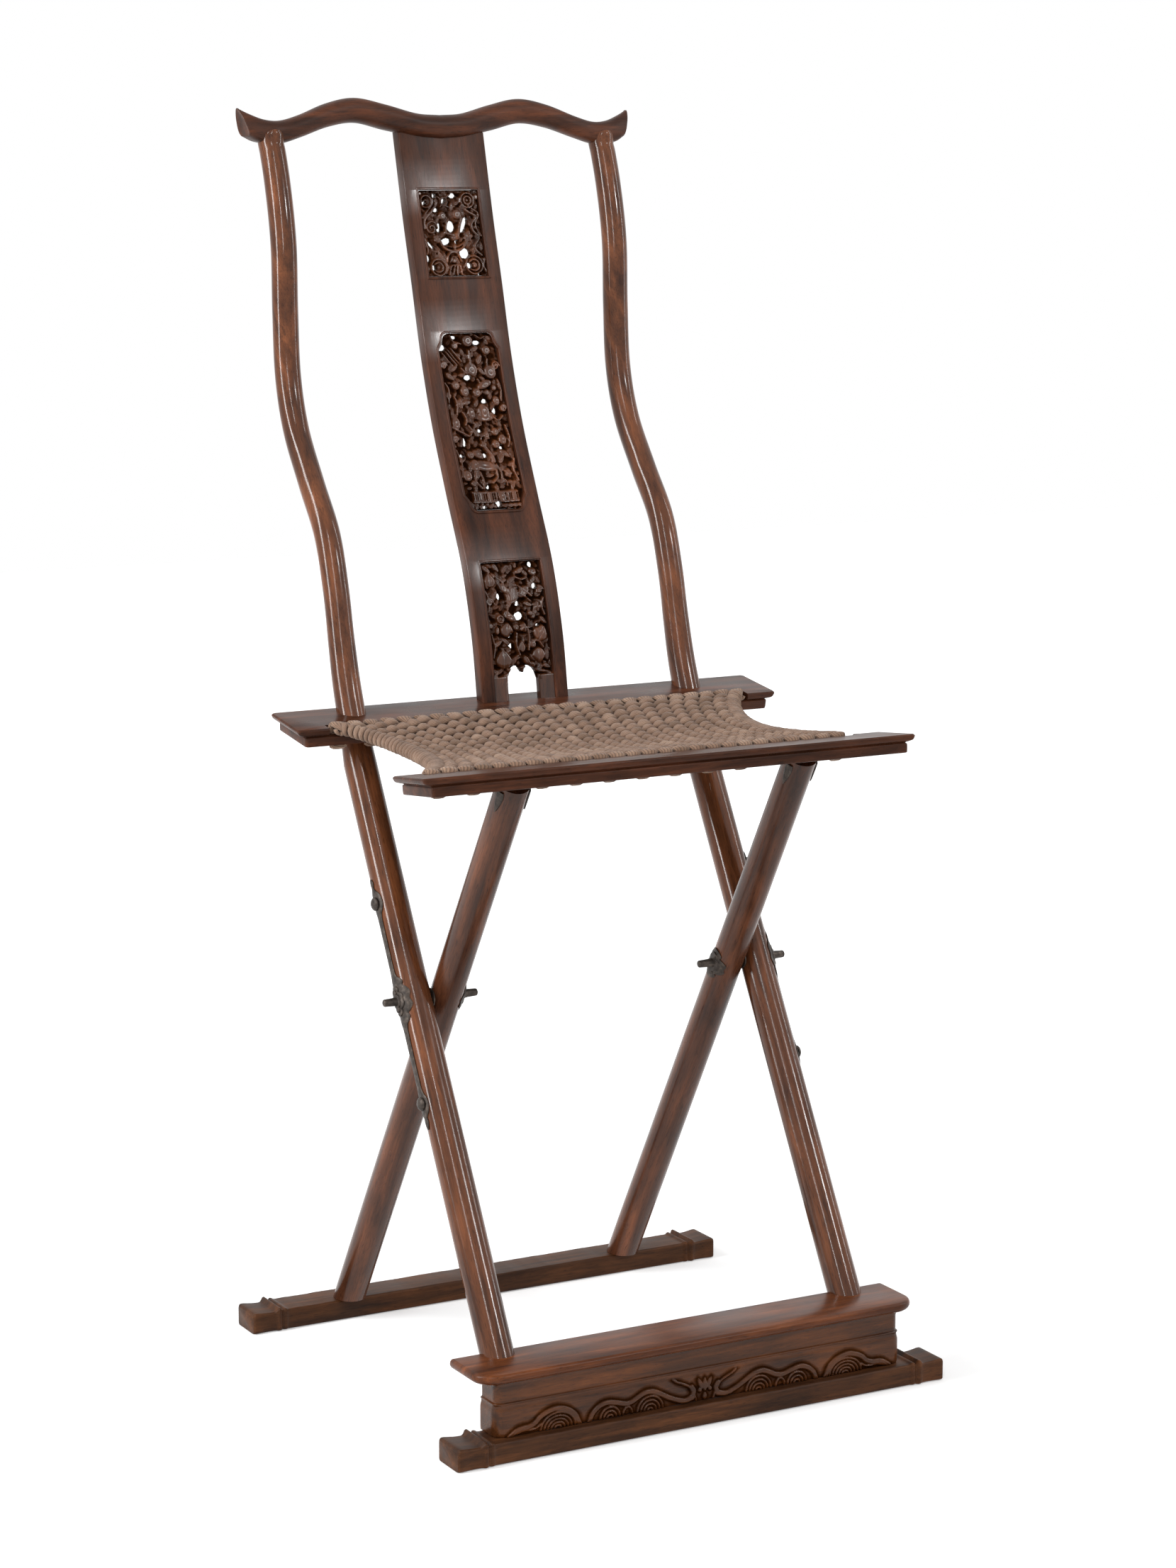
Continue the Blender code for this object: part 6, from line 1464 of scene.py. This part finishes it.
strap_rows = [(share * STRAP_UPPER, width * STRAP_HALF_WIDTH) for share, width in STRAP_UPPER_SHARES]
strap_rows += [(-share * STRAP_LOWER, width * STRAP_HALF_WIDTH) for share, width in STRAP_LOWER_SHARES]
strap_base = LEG_RADIUS + GAP
strap = leg_plate(front_crossing, front_up, OUT, strap_base, STRAP_THICKNESS, strap_rows, 320)
iron_pair("forged_outer_strap", strap, "back_frame", "outer_strap")
rosette_base = strap_base + STRAP_THICKNESS
rosette = cloud_plates(front_crossing, front_up, OUT, rosette_base, ROSETTE_LAYERS)
iron_pair("forged_rosette", rosette, "back_frame", "outer_rosette")
nail_profile = [(0.0, 0.0058), (0.0008, 0.0060), (0.0016, 0.0057), (0.0025, 0.0048), (0.0033, 0.0034),
                (0.0038, 0.0019), (0.0040, 0.0004)]
strap_face = front_crossing + OUT * rosette_base
upper_nail = turned(strap_face + front_up * STRAP_UPPER * NAIL_SHARE, OUT, nail_profile)
iron_pair("domed_upper_nail", upper_nail, "back_frame", "upper_nail")
lower_nail = turned(strap_face - front_up * STRAP_LOWER * NAIL_SHARE, OUT, nail_profile)
iron_pair("domed_lower_nail", lower_nail, "back_frame", "lower_nail")
cloud_base = REAR_LEG_RADIUS + GAP
clouds = cloud_plates(rear_crossing, rear_up, -OUT, cloud_base, CLOUD_LAYERS)
iron_pair("forged_cloud_plate", clouds, "seat_frame", "inner_cloud_plate")

# %% Pins, washers and leaves
PIN_OUTER_REACH, PIN_INNER_REACH = 0.0155, 0.0160  # past the legs' outer and inner faces
LEAF_LENGTH, LEAF_HALF_WIDTH, LEAF_THICKNESS, LEAF_TURN_DEG = 0.0210, 0.0040, 0.0012, 28
pin_start = front_crossing.x + LEG_RADIUS + PIN_OUTER_REACH
pin_end = rear_crossing.x - REAR_LEG_RADIUS - PIN_INNER_REACH
pin_length = pin_start - pin_end
pin_profile = [(0.0, 0.0024), (0.0004, 0.0030), (0.0012, 0.0033), (0.0100, 0.0037), (0.0144, 0.0045)]
pin_profile += [(pin_length - distance, radius) for distance, radius in reversed(pin_profile)]
pin = turned(Vector((pin_start, PIVOT.y, PIVOT.z)), -OUT, pin_profile)
iron_pair("turned_pivot_pin", pin, "back_frame", "pivot_pin")
washer_middle = (front_crossing.x - LEG_RADIUS + rear_crossing.x + REAR_LEG_RADIUS) / 2
washer_profile = [(-0.0008, 0.0080), (-0.0004, 0.0086), (0.0004, 0.0086), (0.0008, 0.0080)]
washer = turned(Vector((washer_middle, PIVOT.y, PIVOT.z)), OUT, washer_profile)
iron_pair("round_washer", washer, "seat_frame", "pivot_washer")
rear_head = rear_leg_point(FRONT_RAIL_TOP - RAIL_THICKNESS)
leaf_rows = [(-share * LEAF_LENGTH, width * LEAF_HALF_WIDTH) for share, width in LEAF_SHARES]
leaf_turn = math.radians(LEAF_TURN_DEG)
for name, node, side in (("forged_outer_leaf", "outer_leaf", 1), ("forged_inner_leaf", "inner_leaf", -1)):
    outwards = Vector((side * math.cos(leaf_turn), -math.sin(leaf_turn), 0))
    leaf = leg_plate(rear_head, rear_up, outwards, cloud_base, LEAF_THICKNESS, leaf_rows, 50)
    iron_pair(name, leaf, "seat_frame", node)
print("pivot pin: length", round(pin_length, 4))

# %% [markdown]
# ## Rope seat
# The seat is woven on the two rails. Twenty-six warp ropes run from front to back: they come up
# through holes in each rail and turn round underneath. Soft, thick wefts run from side to side
# and are beaten so close that only they show, as plump lens-shaped lumps. At both sides the weft
# is wrapped round the outermost warp. The seat is drawn in between the rails and sags a little.
# Every strand here is a swept tube that really passes over and under, because the lumps and the
# dark gaps between them are what the eye reads as weaving.

# %% The seat's own surface
front_slope, rear_slope = lean(FRONT_RAIL_TILT_DEG), lean(REAR_RAIL_TILT_DEG)
FRONT_RAIL_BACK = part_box("front_seat_rail")[1][1]
REAR_RAIL_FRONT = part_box("rear_seat_rail")[0][1]
HOLES_FROM_EDGE = 0.0075
FRONT_HOLES = FRONT_RAIL_BACK - HOLES_FROM_EDGE
REAR_HOLES = REAR_RAIL_FRONT + HOLES_FROM_EDGE
WARPS = 26
FRONT_PITCH, REAR_PITCH = 0.0325, 0.0335  # from one turn of rope to the next
FRONT_SHIFT = -0.0065  # the front row of holes sits off the middle
HOLE_STEP = 0.0065  # each hole of a turn, from the turn's middle
SEAT_EDGE_FRONT, SEAT_EDGE_REAR = 0.2075, 0.2110
SEAT_WAIST = 0.0340  # how far each side is drawn in
SEAT_SAG = 0.0130
WEAVE_LIFT = -0.0014  # from the rails' tops to the middle of the weave


def rail_height(y):
    """Height of the rails' top faces at y, and of the straight line between them."""
    front = FRONT_RAIL_TOP + (min(y, FRONT_RAIL_BACK) - FRONT_RAIL_Y) * front_slope
    rear = REAR_RAIL_TOP + (max(y, REAR_RAIL_FRONT) - REAR_RAIL_Y) * rear_slope
    return front + (rear - front) * free_share(y)


def free_share(y):
    """0 at the front rail, 1 at the rear one."""
    return min(1.0, max(0.0, (y - FRONT_RAIL_BACK) / (REAR_RAIL_FRONT - FRONT_RAIL_BACK)))


def weave_point(across, y):
    """A point of the weave's middle surface; across runs from -1 at the left edge to 1."""
    free = free_share(y)
    drawn = math.sin(math.pi * free)
    half = SEAT_EDGE_FRONT + (SEAT_EDGE_REAR - SEAT_EDGE_FRONT) * free - SEAT_WAIST * drawn ** 0.7
    sag = SEAT_SAG * drawn * (1 - across ** 2 / 2)
    return Vector((FRONT_SHIFT * (1 - free) + across * half, y, rail_height(y) + WEAVE_LIFT - sag))


def weave_rise(across, y):
    """The direction away from the weave's surface."""
    step = 0.004
    along = weave_point(across, y + step) - weave_point(across, y - step)
    side = weave_point(across + step, y) - weave_point(across - step, y)
    return side.cross(along).normalized()


# %% Sweeping strands
class Strands:
    """Collects swept strands as one mesh, and for each face corner its place among the yarns."""

    def __init__(self):
        self.points, self.faces, self.lay = [], [], []

    def sweep(self, path, rises, half_widths, half_heights, yarns=10, twist=0.030, sides=10, tone=0.5):
        """An oval section along a path. A rise is the direction of the section's shorter axis."""
        first = len(self.points)
        travelled = 0.0
        shares = []
        for i, centre in enumerate(path):
            before = path[max(i - 1, 0)]
            after = path[min(i + 1, len(path) - 1)]
            along = (after - before).normalized()
            rise = (rises[i] - along * rises[i].dot(along)).normalized()
            across = along.cross(rise)
            travelled += (centre - before).length
            shares.append(travelled / twist)
            for k in range(sides):
                turn = 2 * math.pi * k / sides
                wide, high = math.cos(turn) * half_widths[i], math.sin(turn) * half_heights[i]
                self.points.append(centre + across * wide + rise * high)
        for i in range(len(path) - 1):
            low, high = first + i * sides, first + (i + 1) * sides
            for k in range(sides):
                j = (k + 1) % sides
                self.faces.append((low + k, low + j, high + j, high + k))
                a, b = yarns * k / sides, yarns * (k + 1) / sides
                near, far = shares[i], shares[i + 1]
                self.lay.extend(((a + near, near, tone), (b + near, near, tone),
                                 (b + far, far, tone), (a + far, far, tone)))
        for ring, way in ((first, -1), (first + (len(path) - 1) * sides, 1)):
            cap = [ring + k for k in range(sides)][::way]
            self.faces.append(cap)
            self.lay.extend([(0.0, 0.0, tone)] * sides)

    def build(self, name, material):
        mesh = bpy.data.meshes.new(name)
        mesh.from_pydata([tuple(point) for point in self.points], [], self.faces)
        lay = mesh.attributes.new("lay", "FLOAT_VECTOR", "CORNER")
        lay.data.foreach_set("vector", np.array(self.lay, dtype=np.float32).ravel())
        mesh.materials.append(material)
        mesh.shade_smooth()
        piece = bpy.data.objects.new(name, mesh)
        bpy.context.collection.objects.link(piece)
        return piece


# %% Wefts
WEFTS_FROM_HOLES = 0.0062
FIRST_WEFT = FRONT_HOLES + WEFTS_FROM_HOLES
LAST_WEFT = REAR_HOLES - WEFTS_FROM_HOLES
WEFT_PITCH = 0.00535
WEFT_SLANT = 0.0015  # how far a weft swings forward or back between two warps
WEFT_HALF_WIDTH, WIDTH_GAIN = 0.0025, 0.0026  # between two warps, and what it swells at a warp
WEFT_HALF_HEIGHT, HEIGHT_GAIN = 0.0017, 0.0011
WEFT_LIFT = 0.0030  # how far a weft rises over and dips under the warps
LUMP_STEPS = 6
chance = random.Random(7)
seat_strands = Strands()


def warp_share(i):
    """Where warp i lies across the seat, from -1 to 1."""
    return 2 * (i + 0.5) / WARPS - 1


def weft(j, y):
    over = [1 if (i + j) % 2 else -1 for i in range(WARPS)]
    size = [chance.uniform(0.92, 1.10) for i in range(WARPS)]
    shift = [chance.uniform(-0.0005, 0.0005) for i in range(WARPS)]
    path, rises, widths, heights = [], [], [], []
    for i in range(WARPS - 1):
        last = i == WARPS - 2
        for step in range(LUMP_STEPS + (1 if last else 0)):
            part = step / LUMP_STEPS
            wave = math.cos(math.pi * part)
            ease = (1 - wave) / 2
            share = warp_share(i) + (warp_share(i + 1) - warp_share(i)) * part
            slant = WEFT_SLANT * math.sin(math.pi * part) * over[i]
            place = y + shift[i] + (shift[i + 1] - shift[i]) * ease + slant
            rise = weave_rise(share, place)
            scale = size[i] + (size[i + 1] - size[i]) * ease
            path.append(weave_point(share, place) + rise * (WEFT_LIFT * wave * over[i] * scale))
            rises.append(rise)
            widths.append((WEFT_HALF_WIDTH + WIDTH_GAIN * abs(wave) ** 0.85) * scale)
            heights.append(WEFT_HALF_HEIGHT + HEIGHT_GAIN * abs(wave))
    seat_strands.sweep(path, rises, widths, heights, yarns=17, twist=0.018, sides=12, tone=chance.random())


weft_count = round((LAST_WEFT - FIRST_WEFT) / WEFT_PITCH) + 1
for j in range(weft_count):
    weft(j, FIRST_WEFT + (LAST_WEFT - FIRST_WEFT) * j / (weft_count - 1))
print("wefts:", weft_count, "points:", len(seat_strands.points))

# %% Warps, with the fat bends where they come up out of the rails
TURN_DROP = RAIL_THICKNESS + 0.0029  # to the middle of the rope under a rail
TURN_HEIGHT = -REBATE_DEPTH + 0.0005  # where a turn's ends meet the bends above


def rail_frame(rear):
    """Directions back along a rail's top and up out of it, at its row of holes."""
    along = Vector((0, 1, rear_slope if rear else front_slope)).normalized()
    return along, Vector((0, -along.z, along.y))


def mouth_x(i, rear):
    """Where warp i comes up out of a rail."""
    return (i - (WARPS - 1) / 2) * (REAR_PITCH if rear else FRONT_PITCH) / 2 + (0 if rear else FRONT_SHIFT)


# The bend out of a hole: run into the seat, height over the rail's top, share of the way sideways
# to the warp's place in the weave, half width, half height
BEND_ROWS = [
    (0.0000, -0.0080, 0.0, 0.0022, 0.0022), (-0.0006, -0.0042, 0.1, 0.0034, 0.0024),
    (-0.0016, -0.0014, 0.5, 0.0062, 0.0026), (-0.0010, 0.0006, 0.8, 0.0076, 0.0027),
    (0.0016, 0.0016, 1.0, 0.0078, 0.0026), (0.0056, 0.0010, 1.0, 0.0060, 0.0022),
    (0.0096, -0.0004, 1.0, 0.0026, 0.0018),
]


def warp_end(i, rear, path, rises, widths, heights):
    """The bend from a hole in a rail up and over into the weave, added to the warp's path."""
    y = REAR_HOLES if rear else FRONT_HOLES
    along, out = rail_frame(rear)
    inwards = -along if rear else along
    mouth = Vector((mouth_x(i, rear), y, rail_height(y)))
    lean = Vector((weave_point(warp_share(i), y).x - mouth.x, 0, 0))
    swell = chance.uniform(0.92, 1.08)
    for run, height, share, half_width, half_height in BEND_ROWS[::-1] if rear else BEND_ROWS:
        path.append(mouth + inwards * run + out * height + lean * share)
        tilt = min(1.0, max(0.0, (height + 0.005) / 0.008))
        rises.append((out * tilt - inwards * (1.2 - tilt if run < 0.002 else -0.1)).normalized())
        widths.append(half_width * swell)
        heights.append(half_height * swell)


for i in range(WARPS):
    path, rises, widths, heights = [], [], [], []
    warp_end(i, False, path, rises, widths, heights)
    start, stop = FRONT_HOLES + 0.014, REAR_HOLES - 0.014
    for step in range(25):
        y = start + (stop - start) * step / 24
        path.append(weave_point(warp_share(i), y))
        rises.append(weave_rise(warp_share(i), y))
        widths.append(0.0021)
        heights.append(0.0018)
    warp_end(i, True, path, rises, widths, heights)
    seat_strands.sweep(path, rises, widths, heights, yarns=14, twist=0.030, sides=12, tone=chance.random())

# %% Turns under the rails
def turn_under(middle_x, rear):
    y = REAR_HOLES if rear else FRONT_HOLES
    along, out = rail_frame(rear)
    middle = Vector((middle_x, y, rail_height(y)))
    route = [
        (-1.0, TURN_HEIGHT), (-1.0, -RAIL_THICKNESS + 0.0004), (-0.92, -TURN_DROP + 0.0006),
        (-0.6, -TURN_DROP), (0.0, -TURN_DROP - 0.0002), (0.6, -TURN_DROP),
        (0.92, -TURN_DROP + 0.0006), (1.0, -RAIL_THICKNESS + 0.0004), (1.0, TURN_HEIGHT),
    ]
    path = [middle + Vector((side * HOLE_STEP, 0, 0)) + out * height for side, height in route]
    radii = [0.0020, 0.0021, 0.0024, 0.0026, 0.0026, 0.0026, 0.0024, 0.0021, 0.0020]
    seat_strands.sweep(path, [along] * len(path), radii, radii, yarns=8, twist=0.012, sides=10,
                       tone=chance.random())


barred = REAR_LEG_RADIUS * 0.75 + HOLE_STEP + 0.0026  # no turns right behind the rear legs' tops
for pair in range(WARPS // 2):
    place = pair - (WARPS // 2 - 1) / 2
    turn_under(place * REAR_PITCH, True)
    if abs(abs(place * FRONT_PITCH + FRONT_SHIFT) - rear_head.x) > barred:
        turn_under(place * FRONT_PITCH + FRONT_SHIFT, False)

# %% Wrapped sides
WRAP_PITCH = 0.0052
WRAP_HALF_WIDTH = 0.0072
WRAP_HALF_HEIGHT = 0.0042
WRAP_SLANT = 0.0035
WRAP_STEPS = 14
WRAP_INSET = 0.0024  # the coil's middle, in from the outermost warp


def wrapped_side(side):
    """The weft wound round the outermost warp, as one long slanting coil."""
    start, stop = FRONT_HOLES + 0.0040, REAR_HOLES - 0.0040
    turns = round((stop - start) / WRAP_PITCH * 1.06)
    path, rises, widths = [], [], []
    for step in range(turns * WRAP_STEPS + 1):
        turn = 2 * math.pi * step / WRAP_STEPS
        y = start + (stop - start) * step / (turns * WRAP_STEPS)
        y_here = y - WRAP_SLANT * math.cos(turn)
        edge = weave_point(side * warp_share(WARPS - 1), y_here)
        rise = weave_rise(side * warp_share(WARPS - 1), y_here)
        outwards = Vector((side, 0, 0))
        wobble = 1 + 0.04 * math.sin(turn * 0.37) * math.sin(turn * 0.11)
        sideways = WRAP_HALF_WIDTH * math.cos(turn) * wobble - WRAP_INSET
        path.append(edge + outwards * sideways + rise * (WRAP_HALF_HEIGHT * math.sin(turn) * wobble))
        rises.append((outwards * math.cos(turn) * 0.7 + rise * math.sin(turn)).normalized())
        widths.append(0.0028 * wobble)
    seat_strands.sweep(path, rises, widths, [0.0019] * len(path), yarns=14, twist=0.020, sides=10, tone=0.5)


for side in (-1, 1):
    wrapped_side(side)
rope_seat = seat_strands.build("woven_rope_seat", rope_fibre)
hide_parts("rope_seat")
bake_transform(rope_seat)
print("rope seat: faces", len(rope_seat.data.polygons))

# %% [markdown]
# ## Floor, light and camera
# The chair stands on white paper in a plain white studio. A big tall soft box at the far left
# draws the broad highlight along the round legs, two narrow strips near the camera and at the
# right draw the thin ones, and a small box in front puts a soft glow on the splat. The white
# room lights the rest. The paper also glows, less near the chair and more far off, for camera
# and mirror rays only. So it runs into the background without an edge and still takes the
# chair's shadow. When the chair folds, its front half stays and the rear runner swings down
# past its old level, so the floor follows the runner's lower rear edge and never hides it.

# %% Floor
mesh = bpy.data.meshes.new("studio_floor")
mesh.from_pydata([(-6, -6, 0), (6, -6, 0), (6, 6, 0), (-6, 6, 0)], [], [(0, 1, 2, 3)])
floor = bpy.data.objects.new("studio_floor", mesh)
bpy.context.collection.objects.link(floor)
floor.location = (0, 0, -0.0005)  # just clear of the soles
paper, tree, shader = start_material("white_studio_paper")
shader.inputs["Base Color"].default_value = (0.80, 0.80, 0.80, 1.0)
shader.inputs["Roughness"].default_value = 0.9
rays = add(tree, "ShaderNodeLightPath").node.outputs
seen = add(tree, "ShaderNodeMath", {0: rays["Is Camera Ray"], 1: rays["Is Glossy Ray"]}, operation="MAXIMUM")
spot = add(tree, "ShaderNodeTexCoord").node.outputs["Object"]
away = add(tree, "ShaderNodeVectorMath", {0: spot}, operation="LENGTH").node.outputs["Value"]
level = add(tree, "ShaderNodeMapRange", {
    "Value": away, "From Min": 0.45, "From Max": 1.6, "To Min": 0.34, "To Max": 0.75,
})
glow = add(tree, "ShaderNodeMath", {0: seen, 1: level}, operation="MULTIPLY")
tree.links.new(glow, shader.inputs["Emission Strength"])
shader.inputs["Emission Color"].default_value = (1, 1, 1, 1)
mesh.materials.append(paper)
lowest_edge = bpy.data.objects.new("rear_runner_lower_edge", None)
bpy.context.collection.objects.link(lowest_edge)
lowest_edge.location = (0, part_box("rear_runner")[1][1], 0)
lowest_edge.parent = frame["bodies"]["seat_frame"]
level_with_it = floor.constraints.new("COPY_LOCATION")
level_with_it.target = lowest_edge
level_with_it.use_x = False
level_with_it.use_y = False
level_with_it.use_offset = True

# %% Room light
world = bpy.data.worlds.new("white_room")
bpy.context.scene.world = world
world.use_nodes = True
room = world.node_tree
rays = add(room, "ShaderNodeLightPath").node.outputs
seen = add(room, "ShaderNodeMath", {0: rays["Is Camera Ray"], 1: rays["Is Glossy Ray"]}, operation="MAXIMUM")
seen = add(room, "ShaderNodeMath", {0: seen, 1: rays["Is Transmission Ray"]}, operation="MAXIMUM")
strength = add(room, "ShaderNodeMapRange", {"Value": seen, "To Min": 0.55, "To Max": 1.0})
room.nodes["Background"].inputs["Color"].default_value = (1, 1, 1, 1)
room.links.new(strength, room.nodes["Background"].inputs["Strength"])


def soft_box(name, azimuth, elevation, distance, size, power, target=(0, 0, 0.55)):
    """A rectangular lamp that looks at the target from an azimuth measured from -Y towards +X."""
    lamp = bpy.data.lights.new(name, "AREA")
    lamp.shape = "RECTANGLE"
    lamp.size, lamp.size_y = size
    lamp.energy = power
    thing = bpy.data.objects.new(name, lamp)
    bpy.context.collection.objects.link(thing)
    a, e = math.radians(azimuth), math.radians(elevation)
    away = Vector((math.sin(a) * math.cos(e), -math.cos(a) * math.cos(e), math.sin(e)))
    thing.location = Vector(target) + away * distance
    thing.rotation_euler = away.to_track_quat("Z", "Y").to_euler()


# Azimuth and elevation in degrees, distance and size in metres, power in watts
soft_box("left_soft_box", -92, 27, 2.6, (0.34, 2.2), 58)
soft_box("strip_by_the_camera", -33, 33, 2.6, (0.06, 1.5), 14)
soft_box("right_strip", 72, 26, 2.6, (0.11, 1.9), 13)
soft_box("small_box", 30, 25, 4.5, (0.42, 0.40), 30, target=(0, 0.1, 0.95))

# %% Camera
# The camera stands in front, to the left, and looks a little down through a long lens
camera = bpy.data.cameras.new("camera")
camera.lens = 83.2
camera.sensor_width = 36.0
eye = bpy.data.objects.new("camera", camera)
bpy.context.collection.objects.link(eye)
eye.location = (-1.5196, -2.80525, 1.0807)
azimuth, tilt = math.radians(28.81), math.radians(10.01)
look = Vector((math.sin(azimuth) * math.cos(tilt), math.cos(azimuth) * math.cos(tilt), -math.sin(tilt)))
eye.rotation_euler = look.to_track_quat("-Z", "Y").to_euler()
bpy.context.scene.camera = eye
bpy.context.scene.view_settings.view_transform = "Standard"
